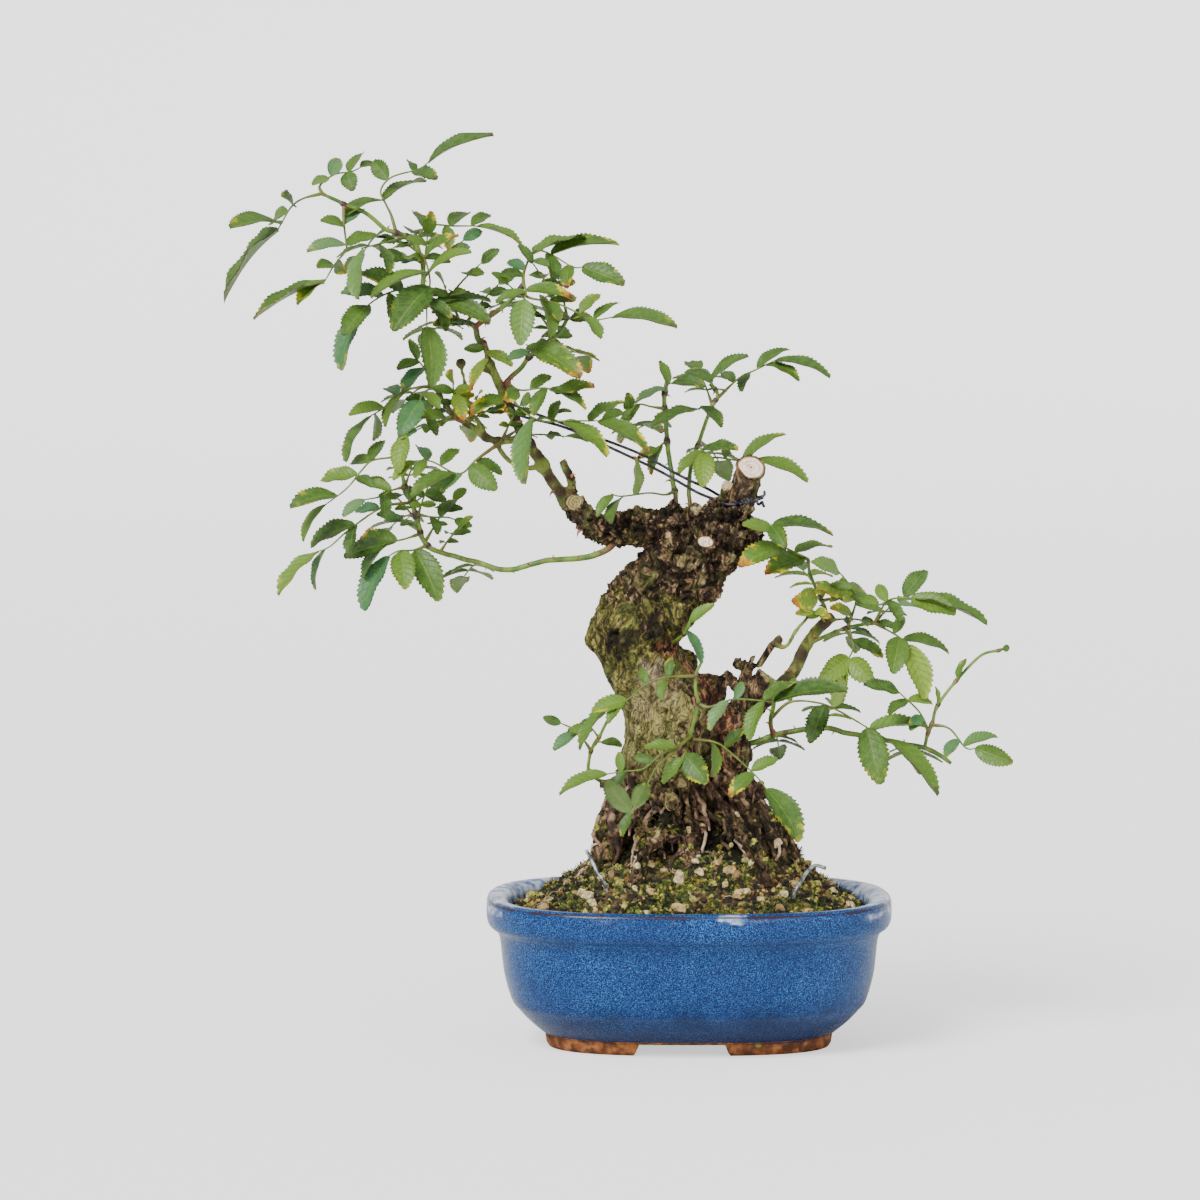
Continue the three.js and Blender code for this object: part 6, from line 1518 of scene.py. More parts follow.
@dataclass
class GlazedPot:
    """Squarish oval pot with a rolled rim and a foot in two halves."""

    rim_half_length: float = 75.0
    rim_half_depth: float = 59.2
    foot_half_length: float = 53.0
    foot_half_depth: float = 33.5
    height: float = 55.5
    squareness: float = 2.7
    sides: int = 176
    foot_height: float = 5.2
    cut_middle: float = -3.0
    cut_top: float = 30.0
    cut_bottom: float = 35.0
    drain_radius: float = 6.0
    drain_spacing: float = 28.0
    profile_step: float = 1.1
    chip_middle: float = 13.0
    outside: Pairs = ((30, 4), (49, 4), (52.6, 4.3), (56.4, 7),
        (60.4, 10.6), (63.6, 14.2), (66, 17.5), (68.6, 27), (69.8, 38), (70.4, 41.2), (71.4, 43.2),
        (73.6, 44.8), (74.7, 46.6), (75, 49), (75, 52.6), (74.6, 54.6))
    lip: Pairs = ((73.4, 55.5), (70.4, 55.45), (68.2, 54.6), (66.8, 52.4))
    inside: Pairs = ((65.8, 46), (65.4, 40), (64, 28), (60, 15.5),
        (52, 9.2), (30, 9))
    foot_section: Pairs = ((0.7, 0), (0, 1.2), (-0.6, 5.2), (8, 5.2),
        (8.2, 1), (7.6, 0))

    def depth_at(self, half_length: float, z: float) -> float:
        """Half depth of the pot where its half length is given."""
        rim_loss = self.rim_half_length - self.rim_half_depth
        foot_loss = self.foot_half_length - self.foot_half_depth
        loss = foot_loss + (rim_loss - foot_loss) * min(1.0, z / self.height)
        return max(half_length - loss, half_length * 0.55)

    def body(self) -> Draft:
        """Body of the pot: under its floor, up outside, over the lip and down inside."""
        knots = [(x, 0.0, z) for x, z in (*self.outside, *self.lip, *self.inside)]
        line = flowing(knots, self.profile_step)
        run = lengths_along(line)
        lip_start = run[np.argmin(np.abs(line[:, 0] - 74.6) + np.abs(line[:, 2] - 54.6))]
        past = run - lip_start
        edge = hump(past, 0.9)
        worn = between(past, 0.8, 2.4) * between(past, 16, 11)
        worn = np.maximum(worn, 0.5 * hump(past + 2.4, 1.6))
        bare = between(line[:, 2], 6.2, 4.0) * (past < 0)
        zones = np.repeat(columns(edge, worn, bare), self.sides, axis=0)
        points, faces = loft([squarish(x, self.depth_at(x, z), z, self.squareness, self.sides)
            for x, _, z in line])
        ends = between(np.abs(points[:, 0]), 60, 75) * between(points[:, 2], 42, 50)
        front = between(-points[:, 1], 20, 40)
        zones[:, 1] *= 1 - 0.75 * front * (1 - ends)
        rim = hump(points[:, 2] - 54.2, 1.9)
        torn = points + 5 * ripples(points, 6, 12.0)[:, None]
        chip = near(torn * [1, 0, 0], (self.chip_middle, 0, 0), 4.5, 4) * rim * front
        # The rim's left and right ends are made paler grey as well.
        zones[:, 1] = np.maximum(zones[:, 1] + 0.35 * ends, 1.1 * chip)
        sway = ripples(points, 45, 2.2, 2)[:, None] * 0.35
        points = points + sway * columns(points[:, 0] / 75, points[:, 1] / 59, 0 * points[:, 2])
        draft = Draft("glaze_zone")
        draft.add(points, faces, glaze_zone=zones)
        return draft

    def foot_half(self, side: int) -> tuple[Array, Faces, Array]:
        """One half of the foot, a wall that bends round between slanted ends.

        Args:
            side: 1 for the right half and -1 for the left.

        Returns:
            The points, the faces and the glaze zones.
        """
        count = 90
        rows = []
        for loss, z in self.foot_section:
            share = z / self.foot_height
            half_cut = (self.cut_bottom + (self.cut_top - self.cut_bottom) * share) / 2
            ring = squarish(self.foot_half_length - loss, self.foot_half_depth - loss, z,
                self.squareness, 720)
            brink = self.cut_middle + side * half_cut
            kept = ring[(ring[:, 0] - brink) * side > 0]
            kept = kept[np.argsort(np.arctan2(kept[:, 1], kept[:, 0] * side))]
            rows.append(evenly(kept, lengths_along(kept), count))
        points, faces = loft(list(np.stack(rows, axis=1)))
        if side > 0:
            faces = [face[::-1] for face in faces]
        runs_down = 0.6 if side > 0 else 0.0
        bare = 1 - runs_down * between(-points[:, 1], 14, 26) * between(points[:, 2], 0.6, 2.4)
        zones = columns(0 * bare, 0 * bare, bare)
        return points, faces, zones

    def make(self) -> None:
        """Builds the pot, drills its drainage holes and dresses it."""
        glaze = glaze_finish()
        draft = self.body()
        for side in (-1, 1):
            points, faces, zones = self.foot_half(side)
            draft.add(points, faces, glaze_zone=zones)
        pot = draft.piece("pot_glazed", glaze)
        drill = Draft()
        for side in (-1, 1):
            x = side * self.drain_spacing
            drill.add(*sweep(np.array([(x, 0, 1.0), (x, 0, 12.0)]), [self.drain_radius], 40))
        cutter = drill.piece("drill", glaze)
        bore = pot.modifiers.new("drains", "BOOLEAN")
        bore.operation = "DIFFERENCE"
        bore.solver = "EXACT"
        bore.object = cutter
        mesh = settled(pot)
        bpy.data.objects.remove(cutter)
        self.mark(mesh, draft)
        declare(place_piece("pot_glazed", mesh, glaze), "pot", "pot")

    def mark(self, mesh: Mesh, draft: Draft) -> None:
        """Gives a drilled mesh the zones of the nearest points of its draft."""
        points, zones = np.vstack(draft.points), np.vstack(draft.layers["glaze_zone"])
        tree = KDTree(len(points))
        for i, point in enumerate(points):
            tree.insert(point, i)
        tree.balance()
        nearest = [tree.find(place)[1] for place in coordinates(mesh)]
        write_layer(mesh, "glaze_zone", zones[nearest])


@dataclass(frozen=True)
class Sprinkle:
    """One sort of grain or moss: how many, how large, and where it lies."""

    name: str
    density: float
    apart: float
    smallest: float
    largest: float
    lean: float
    seed: int


@dataclass
class MossySoil:
    """Mound of dark soil with pumice, ochre grains, dark grains, fine roots and moss."""

    pot: GlazedPot
    recipe: NodeRecipe
    placing: NodeRecipe
    sides: int = 150
    rings: int = 64
    lump_height: float = 1.1
    flats: int = 12
    blades: int = 7
    seed: int = 11

    def ground(self) -> tuple[Array, Faces]:
        """Points and faces of the mound, from the pot's floor to under the trunk."""
        rows = [(x, self.pot.depth_at(x, z), z, self.pot.squareness, 0) for x, z in SOIL_INSIDE]
        table = np.array(rows + SOIL_MOUND)
        fine = evenly(table, lengths_along(table[:, [0, 0, 2]]), self.rings)
        points, faces = loft([squarish(*row[:4], self.sides) + [row[4], 0, 0] for row in fine])
        top = between(points[:, 2], 49.5, 51.5)
        lumps = ripples(points, 7, 3.1) * 1.6 + ripples(points, 2.4, 9.7)
        points[:, 2] += top * lumps * self.lump_height
        return points, faces

    def grains(self, name: str, reach: tuple[float, float], rows: int) -> list[Draft]:
        """Angular grains about a unit across.

        Args:
            name: Name that seeds their shapes.
            reach: Least and greatest distance of the flats that cut a round grain down.
            rows: Rows of points of each grain.

        Returns:
            Six drafts.
        """
        draw = random.Random(name)
        drafts = []
        for _ in range(6):
            points, faces = ball((0, 0, 0), 0.5, rows)
            for _ in range(self.flats):
                way = unit([draw.gauss(0, 1) for _ in range(3)])
                over = np.maximum(points @ way - draw.uniform(*reach), 0)
                points = points - np.outer(over, way)
            draft = Draft()
            draft.smooth = False
            draft.add(points * [draw.uniform(0.85, 1.35), 1, draw.uniform(0.6, 0.95)], faces)
            drafts.append(draft)
        return drafts

    def tufts(self) -> list[Draft]:
        """Moss tufts of curved pointed blades."""
        draw = random.Random(self.seed)
        drafts = []
        for _ in range(4):
            tuft = Draft("blade_place")
            for _ in range(self.blades):
                turn, lean = draw.uniform(0, 2 * math.pi), draw.uniform(0.2, 1.2)
                way = np.array([math.cos(turn), math.sin(turn), 0])
                tall = np.array([0, 0, draw.uniform(0.6, 1.1)])
                foot = way * draw.uniform(0, 0.3) - [0, 0, 0.2]
                line = np.array([foot, foot + way * lean * 0.4 + tall * 0.6,
                    foot + way * lean + tall])
                points, faces = sweep(line, [0.075, 0.07, 0.02], 3)
                rise = between(points[:, 2], -0.2, 1.0)
                tuft.add(points, faces, blade_place=columns(rise, rise, rise))
            drafts.append(tuft)
        return drafts

    def strew(self, sort: Sprinkle, surface: Mesh, drafts: Sequence[Draft], material: Material,
            allowed: Array) -> Object:
        """Strews one sort over a surface where it is allowed."""
        host = place_piece(sort.name, surface.copy(), material)
        values = host.data.attributes.new("allowed", "FLOAT", "POINT")
        values.data.foreach_set("value", np.clip(allowed, 0, 1).astype(np.float32))
        shelf = shelve(f"{sort.name}_shapes", drafts)
        made = self.recipe.run(host, Shapes=shelf, Density=sort.density, Apart=sort.apart * MM,
            Smallest=sort.smallest, Largest=sort.largest, Lean=sort.lean, Seed=sort.seed,
            Material=material)
        clear_shelf(shelf)
        return made

    def make(self, wood: Mesh) -> Mesh:
        """Builds the soil and everything that lies on it and between the roots.

        Args:
            wood: Mesh of the trunk, on whose foot moss and grains lie too.

        Returns:
            Mesh of the bare ground.
        """
        points, faces = self.ground()
        top = between(points[:, 2], 49.5, 51.5)
        moss = 0.5 + 0.9 * ripples(points, (16, 16, 12), 5.3)
        damp = ripples(points, 10, 21.0)
        ground = Draft("soil_zone")
        ground.add(points, faces, soil_zone=columns(moss, damp, top))
        declare(ground.piece("soil_ground", soil_finish()), "soil", "soil")
        surface = ground.mesh("bare_ground")
        spots = 0.5 + ripples(points, 9, 33.0)
        foot = coordinates(wood)
        low = between(foot[:, 2], 94, 82) * between(foot[:, 2], 62, 66)
        upward = between(normals_of(wood)[:, 2], -0.25, 0.35)
        clumps = between(ripples(foot, 6, 50.0), -0.12, 0.12)
        dark = grain_finish("dark_grain", srgb(14, 10, 7), srgb(34, 26, 16), srgb(74, 58, 35))
        ochre = grain_finish("ochre_grain", srgb(92, 58, 24), srgb(170, 120, 44),
            srgb(222, 188, 112))
        pumice = grain_finish("pumice", srgb(116, 88, 52), srgb(202, 172, 116), srgb(244, 224, 172))
        turf = moss_finish()
        dark_grains = self.grains("dark", (0.3, 0.44), 5)
        ochre_grains = self.grains("ochre", (0.26, 0.4), 5)
        pumice_grains, tufts = self.grains("pumice", (0.24, 0.37), 9), self.tufts()
        wooded = low * upward
        layout = [
            (Sprinkle("soil_dark_grains", 170000.0, 1.3, 1.3, 3.0, 1.6, 3), surface,
                dark_grains, dark, top),
            (Sprinkle("soil_ochre_grains", 120000.0, 1.7, 1.2, 3.0, 1.6, 5), surface,
                ochre_grains, ochre, top * between(spots, 0.3, 0.7)),
            (Sprinkle("soil_pumice", 19000.0, 3.4, 2.0, 5.4, 1.6, 8), surface,
                pumice_grains, pumice, top * between(spots, 0.8, 0.45)),
            (Sprinkle("soil_moss", 345000.0, 0.9, 1.1, 2.3, 0.9, 9), surface,
                tufts, turf, top * between(moss, 0.3, 0.62)),
            (Sprinkle("foot_grains", 90000.0, 1.5, 1.1, 3.1, 1.6, 13), wood,
                dark_grains, dark, wooded),
            (Sprinkle("foot_pumice", 22000.0, 3.6, 2.4, 5.2, 1.6, 18), wood,
                pumice_grains, pumice, wooded * between(foot[:, 2], 92, 80)),
            (Sprinkle("foot_moss", 340000.0, 0.9, 1.1, 2.2, 0.9, 19), wood,
                tufts, turf, wooded * clumps)]
        for sort, host, drafts, material, allowed in layout:
            declare(self.strew(sort, host, drafts, material, allowed), "soil")
        self.lay_stones(surface, pumice_grains, pumice)
        return surface

    def lay_stones(self, surface: Mesh, drafts: Sequence[Draft], material: Material) -> None:
        """Lays the larger stones on the ground, each half sunk in."""
        draw = random.Random(self.seed)
        ground = surface_tree(surface)
        stones = Spots()
        for i, (x, y, size, mossy) in enumerate(STONES):
            spot = ground.ray_cast(Vector((x, y, 200)), Vector((0, 0, -1)))[0]
            ahead = unit([draw.gauss(0, 1), draw.gauss(0, 1), 0.0])
            place = np.array(spot) + [0, 0, 0.12 * size]
            stones.add(place, ahead, np.array([0.0, 0.0, 1.0]), (size, size, size),
                (draw.uniform(0.45, 0.95), mossy, 0.5), i % len(drafts))
        shelf = shelve("stone", drafts)
        declare(stones.shapes("soil_stones", self.placing, shelf, material), "soil")
        clear_shelf(shelf)


@dataclass
class RootTangle:
    """Thin roots that run down the trunk's foot and creep away over the soil."""

    wires: NodeRecipe
    count: int = 76
    creepers: int = 60
    hairs: int = 150
    threads: float = 0.45
    step: float = 2.2
    seed: int = 14

    def walk(self, start: Array, way: Array, radius: float, steps: int, surfaces: Sequence[BVHTree],
            draw: random.Random) -> Array:
        """Route of a root that keeps to the outside of the trunk and the ground.

        Args:
            start: Where it begins.
            way: The way it first heads.
            radius: Its radius.
            steps: Number of steps that it takes.
            surfaces: The trunk's and the ground's surface.
            draw: Source of random turns.

        Returns:
            Points of the route.
        """
        place, route = start, []
        for _ in range(steps):
            found = [tree.find_nearest(place) for tree in surfaces]
            gaps = [(Vector(place) - spot).dot(out) for spot, out, _, _ in found]
            low = int(np.argmin(gaps))
            out = np.array(found[low][1])
            place = place + out * (0.5 * radius - gaps[low])
            route.append(place)
            turn = np.array([draw.gauss(0, 0.45), draw.gauss(0, 0.45), draw.gauss(-0.22, 0.3)])
            way = unit(way + turn - out * out.dot(way) * 0.8)
            place = place + way * self.step * draw.uniform(0.7, 1.2)
        route.append(route[-1] + way * 0.8 - [0, 0, 2.2 * radius])
        return flowing([tuple(point) for point in route], 0.8)

    def tone(self, line: Array, radius: float, draw: random.Random) -> Array:
        """How pale a root is at each of its points: thin ones may be pale threads."""
        pale = draw.uniform(0.6, 1.0) if radius < 0.7 and draw.random() < self.threads else 0.0
        return np.full((len(line), 3), pale)

    def make(self, wood: Mesh, ground: Mesh) -> None:
        """Builds and dresses the roots."""
        surfaces = [surface_tree(wood), surface_tree(ground)]
        draw = random.Random(self.seed)
        lines = Lines("root_tone")
        for i in range(self.count):
            turn = (i + draw.random()) / self.count * 2 * math.pi
            out = np.array([math.cos(turn), math.sin(turn), 0.0])
            start = np.array([-4, 0, draw.uniform(80, 103)]) + out * [24, 17, 0]
            way = unit(out * 0.4 + [draw.uniform(-0.5, 0.5), 0, -1])
            radius = draw.uniform(0.5, 1.0) if draw.random() < 0.7 else draw.uniform(1.0, 1.7)
            line = self.walk(start, way, radius, draw.randint(9, 20), surfaces, draw)
            radii = [radius * draw.uniform(0.8, 1.2) for _ in range(4)]
            lines.add(line, [*radii, radius * 0.6, radius * 0.45],
                root_tone=self.tone(line, radius, draw))
        for _ in range(self.creepers):
            turn = draw.uniform(0, 2 * math.pi)
            out = np.array([math.cos(turn), math.sin(turn), 0.0])
            start = np.array([0, 0, 76]) + out * [draw.uniform(26, 44), draw.uniform(17, 30), 0]
            way = unit(np.array([draw.gauss(0, 1), draw.gauss(0, 1), 0]) + out * 0.6)
            radius = draw.uniform(0.25, 0.6)
            line = self.walk(start, way, radius, draw.randint(6, 12), surfaces, draw)
            lines.add(line, [radius * 0.8, radius, radius * 0.8, radius * 0.5],
                root_tone=self.tone(line, radius, draw))
        for _ in range(self.hairs):
            turn, reach = draw.uniform(0, 2 * math.pi), draw.uniform(0.5, 1.0)
            above = Vector((56 * reach * math.cos(turn), 40 * reach * math.sin(turn), 120))
            start = np.array(surfaces[1].ray_cast(above, Vector((0, 0, -1)))[0])
            way = unit([draw.gauss(0, 1), draw.gauss(0, 1), 0.3])
            line = self.walk(start, way, 0.5, draw.randint(3, 6), surfaces, draw)
            tone = np.full((len(line), 3), draw.choice([0.0, 0.0, 0.5]))
            lines.add(line, [0.14, 0.2, 0.16, 0.1], root_tone=tone)
        declare(lines.rods("thin_roots", self.wires, 7, root_finish()), "bark")


@dataclass
class OldTrunk:
    """Gnarled trunk with its pruned branches, its cut stubs and its roots."""

    voxel: float = 0.74
    core_sides: int = 64
    crack_depth: float = 1.4
    knot_relief: float = 0.3
    knot_wrinkle: float = 0.3
    burl_relief: float = 1.35
    bark_relief: float = 0.8
    root_relief: float = 0.5
    root_gap: float = 2.6
    cut_sides: int = 28
    cut_uneven: float = 0.16
    cut_section: Pairs = ((0.85, -2.0), (1.06, -1.4), (1.12, -0.3),
        (1.09, 0.35), (1.02, 0.42), (0.97, 0.2), (0.8, 0.22), (0.5, 0.26), (0.25, 0.24),
        (0.05, 0.26))
    floor: float = 61.5

    def rough_form(self) -> Draft:
        """Core, limbs, roots and knobs as overlapping closed bodies."""
        draft = Draft()
        table = np.array(TRUNK_RINGS)
        heights = np.arange(table[0, 2], table[-1, 2], 2.0)
        rings = []
        for z in heights:
            x, y, half_x, half_y = (np.interp(z, table[:, 2], table[:, i]) for i in (0, 1, 3, 4))
            ring = squarish(half_x, half_y, z, 2.2, self.core_sides)
            rings.append(ring + [x, y, 0])
        draft.add(*loft(rings))
        for limb in (*LIMBS, *STUBS, *ROOTS):
            line = flowing(limb.route, 1.6)
            draft.add(*sweep(line, limb.radii, 16))
        for x, y, z, radius in KNOBS:
            draft.add(*ball((x, y, z), radius))
        return draft

    def grown(self, bark: Material) -> Mesh:
        """The bodies grown into one skin."""
        made = self.rough_form().piece("trunk_old_wood", bark)
        skin = made.modifiers.new("skin", "REMESH")
        skin.mode = "VOXEL"
        skin.voxel_size = self.voxel * MM
        soften = made.modifiers.new("soften", "SMOOTH")
        soften.factor = 0.5
        soften.iterations = 3
        return settled(made)

    def knots(self, places: Array, skin: BVHTree) -> tuple[Array, Array, Array]:
        """Wrinkled knots, those in front repeated on the far side.

        Args:
            places: Points of the skin.
            skin: The skin's faces.

        Returns:
            The knots' height at each point, how much it lies in a rim, and its tone.
        """
        relief, rim, tone = np.zeros(len(places)), np.zeros(len(places)), np.full(len(places), 0.5)
        bent = 0.42 * ripples(places, 4, 210.0, 3)
        strength = between(ripples(places, 6, 230.0, 2), -0.35, 0.25)
        for side in (-1, 1):
            for x, z, radius, pale in KNOTS:
                start = Vector((x if side < 0 else 2 - x, 90 * side, z))
                spot = skin.ray_cast(start, Vector((0, -side, 0)))[0]
                if spot is None:
                    continue
                away = np.linalg.norm(places - np.array(spot), axis=1) / radius + bent
                dome = between(away, 1.05, 0.2)
                wrinkles = np.cos(away * 17) * between(away, 1.2, 0.9)
                relief += self.knot_relief * radius * dome + self.knot_wrinkle * wrinkles
                rim = np.maximum(rim, strength * hump(away - 1.12, 0.12))
                tone += (pale - 0.5) * between(away, 1.15, 0.8)
        return relief, rim, tone.clip(0, 1)

    def marked(self, name: str, places: Array, skin: BVHTree) -> Array:
        """How much each point lies in the named marks of the trunk's front."""
        share, bent = np.zeros(len(places)), self.bent(places)
        for x, z, radius, soft, strength in MARKS[name]:
            spot = skin.ray_cast(Vector((x, -90, z)), Vector((0, 1, 0)))[0]
            if spot is not None:
                share = np.maximum(share, strength * near(bent, spot, radius, soft))
        return share

    def bent(self, places: Array) -> Array:
        """Places pushed about a little, so that a round mark gets an uneven edge."""
        return pushed(places, 4, 3.2, 3, 240, 250, 260)

    def sawn_faces(self, bark: Material) -> None:
        """Builds the smooth face and the bark lip of each clean pruning cut."""
        draft = Draft("bark_zone", "bark_wear", "bark_joint", "bark_form")
        turn = np.arange(self.cut_sides) * 2 * math.pi / self.cut_sides
        for i, one in enumerate(CUTS):
            if not one.clean:
                continue
            facing = unit(one.facing)
            across = unit(np.cross(facing, [0.0, 0.0, 1.0]))
            upward = np.cross(facing, across)
            circle = np.outer(np.cos(turn), across) + np.outer(np.sin(turn), upward)
            uneven = 1 + self.cut_uneven * ripples(circle, 1.1, 300.0 + i, 2)
            reach = circle * (one.radius * uneven)[:, None]
            points, faces = loft([np.array(one.middle) + reach * share + facing * ahead
                for share, ahead in self.cut_section])
            share = np.repeat([share for share, _ in self.cut_section], self.cut_sides)
            wear = columns(one.fresh * (share < 1), 0 * share, 0 * share)
            draft.add(points, faces, bark_zone=(0, 0.5, 0), bark_wear=wear, bark_joint=(0, 0, 0.5),
                bark_form=columns(0.3 + 0 * share, share.clip(0, 1), 0 * share))
        declare(draft.piece("cut_faces", bark), "bark")

    def carve(self, mesh: Mesh, skin: BVHTree) -> tuple[Array, ...]:
        """Gives the skin its knots, fibres, fissures and hollows.

        Returns:
            The new points, how far down a crevice each of them lies (painted as shade), how high
            it stands on a ridge (painted as highlight and shade), and how pale its knot is.
        """
        places, ways = coordinates(mesh), normals_of(mesh)
        x, _, z = places.T
        branch = np.maximum(between(x, -40, -46) * between(z, 196, 202),
            between(x, 25, 33) * between(z, 116, 122))
        stump = near(places, (20, -1, 208), 9, 4)
        burl = between(z, 156, 168) * (1 - branch) * (1 - stump)
        root = between(z, 106, 96)
        middle = np.clip(1 - burl - branch - root - stump, 0, 1)
        swirl = pushed(places, 5, 14, 2, 1.5, 7.5, 12.5)
        knotted = 0.5 - 2.4 * np.abs(ripples(swirl, (7, 7, 4), 40.0, 3))
        fibres = 0.5 - 2.2 * np.abs(ripples(swirl, (2.6, 2.6, 12), 60.0, 3))
        curls = 0.5 - 2.2 * np.abs(ripples(swirl, 2.6, 66.0, 3))
        fine = ripples(places, (1.5, 1.5, 4), 80.0, 2)
        swell = ripples(places, (12, 12, 18), 100.0, 2)
        round_cracks = hump(ripples(swirl, (10, 10, 7), 140.0, 2), 0.055)
        long_cracks = hump(ripples(swirl, (6, 6, 22), 160.0, 2), 0.055)
        small_cracks = hump(ripples(swirl, (4, 4, 7), 180.0, 2), 0.06)
        relief, rim, tone = self.knots(places, skin)
        out = burl * self.burl_relief * (0.8 * knotted + 0.7 * curls + 0.4 * fine)
        out += (burl + 0.5 * middle) * (relief - 0.7 * rim)
        out += middle * self.bark_relief * (0.6 * fibres + 1.6 * swell + 0.4 * fine)
        out += root * self.root_relief * (0.9 * fibres + 1.4 * swell + 0.4 * fine)
        out += branch * 0.14 * (fibres + fine) + stump * 0.22 * (fibres + 2 * fine)
        crack = burl * (0.7 * round_cracks + 0.4 * small_cracks + 0.8 * rim)
        crack += middle * (0.75 * long_cracks + 0.25 * small_cracks) + root * long_cracks
        out -= crack * self.crack_depth
        bent = self.bent(places)
        for x0, y0, z0, radius in HOLLOWS:
            spot = skin.find_nearest((x0, y0, z0))[0]
            brim = near(bent, spot, radius * 1.05, radius * 0.5)
            pit = near(bent, spot, radius * 0.3, radius * 0.75)
            out += 0.35 * radius * (brim - pit) - radius * 1.15 * pit
        for x0, y0, z0, radius in JOINTS:
            out += 0.45 * near(places, (x0, y0, z0), radius * 0.6, radius)
        gaps = (1 - self.rooty(places)) * between(z, 102, 94) * between(z, 66, 76)
        out -= self.root_gap * gaps
        # How high each point stands, which the finish paints as highlight on ridges and shade low
        # down.
        relief_shading = between(out, -1.1, 1.9)
        # The crevices, knot grooves and gaps between roots are returned for painted shade.
        return (places + ways * np.clip(out, -9, 2.4)[:, None], np.maximum(crack, gaps * 0.9),
            relief_shading, 0.5 + (tone - 0.5) * (burl + middle))

    def rooty(self, places: Array) -> Array:
        """How much of each point belongs to a root, from 0 to 1."""
        share = np.zeros(len(places))
        tree = KDTree(4000)
        reach = []
        for limb in (*LIMBS, *STUBS, *ROOTS):
            if "root" in limb.name or "buttress" in limb.name:
                line = flowing(limb.route, 1.2)
                for place, r in zip(line, spread(limb.radii, len(line))):
                    tree.insert(place, len(reach))
                    reach.append(r)
        tree.balance()
        for i in np.flatnonzero(places[:, 2] < 108):
            _, k, away = tree.find(places[i])
            share[i] = min(1.0, max(0.0, (1.75 * reach[k] - away) / (0.6 * reach[k])))
        return share

    def flatten_cuts(self, places: Array) -> tuple[Array, Array]:
        """Flattens the faces of the pruning cuts in place.

        Args:
            places: Points of the skin.

        Returns:
            How much of each point is cut wood, and how far out on its cut it lies.
        """
        cut, ring = np.zeros(len(places)), np.ones(len(places))
        for one in CUTS:
            facing = unit(one.facing)
            away = places - np.array(one.middle)
            ahead = away @ facing
            aside = np.linalg.norm(away - np.outer(ahead, facing), axis=1)
            reach = one.radius * (2.6 if one.clean else 1.6)
            hit = (aside < one.radius * 1.5) & (ahead > -1.1) & (ahead < reach)
            over = np.where(hit, np.maximum(ahead, 0), 0)
            places -= np.outer(over, facing)
            face = hit & (ahead - over > -0.45) & (aside < one.radius * 1.12)
            cut = np.maximum(cut, np.where(face & (not one.clean), one.fresh, 0))
            ring = np.where(hit, np.minimum(ring, aside / (one.radius * 1.1)), ring)
        return cut, ring

    def make(self) -> Mesh:
        """Builds the trunk and marks where it is mossy, red, young or cut, and where its
        hollows and crevices are painted with shade.

        Returns:
            Its mesh.
        """
        bark = bark_finish()
        mesh = self.grown(bark)
        skin = surface_tree(mesh)
        marks = {name: self.marked(name, coordinates(mesh), skin) for name in MARKS}
        places, crack, relief_shading, knot = self.carve(mesh, skin)
        cut, ring = self.flatten_cuts(places)
        places[:, 2] = np.maximum(places[:, 2], self.floor)
        x, _, z = places.T
        patch = ripples(places, (9, 9, 12), 3.0)
        moss = between(x, 6, -8) * between(z, 92, 102) * between(z, 174, 160) + 0.5 * patch
        red, pale = marks["red"], marks["pale"]
        moss = moss * (1 - 0.8 * red)
        young = np.maximum(between(x, -41, -49) * between(z, 195, 206),
            between(x, 26, 36) * between(z, 118, 126))
        # Painted shade in the hollows, the cracks and the gaps between roots.
        crevice_shade, bent = np.maximum(marks["crevice_shade"], 0.85 * crack.clip(0, 1)), self.bent(places)
        for x0, y0, z0, radius in HOLLOWS:
            spot = np.array(skin.find_nearest((x0, y0, z0))[0]) + [0, radius * 0.7, 0]
            crevice_shade = np.maximum(crevice_shade, near(bent, spot, radius * 0.6, radius * 0.7))
        joint = np.zeros(len(places))
        for x0, y0, z0, radius in JOINTS:
            joint = np.maximum(joint, near(places, (x0, y0, z0), radius * 0.9, radius * 0.9))
        # The form layer's first value paints highlight and shade; the wear layer's third paints
        # shade.
        for layer, rows in (("bark_zone", (moss, red, young)), ("bark_wear", (cut, pale, crevice_shade)),
                ("bark_joint", (joint, self.rooty(places), knot)),
                ("bark_form", (relief_shading, ring, between(z, 142, 126)))):
            write_layer(mesh, layer, columns(*rows).clip(0, 1))
        move_points(mesh, places)
        mesh.shade_smooth()
        declare(place_piece("trunk_old_wood", mesh, bark), "bark", "trunk")
        self.sawn_faces(bark)
        return mesh


class Blade(Enum):
    """Sorts of leaflet: teeth on each side, and the rows of points between two teeth."""

    SMALL = 8
    MIDDLE = 12
    LARGE = 16


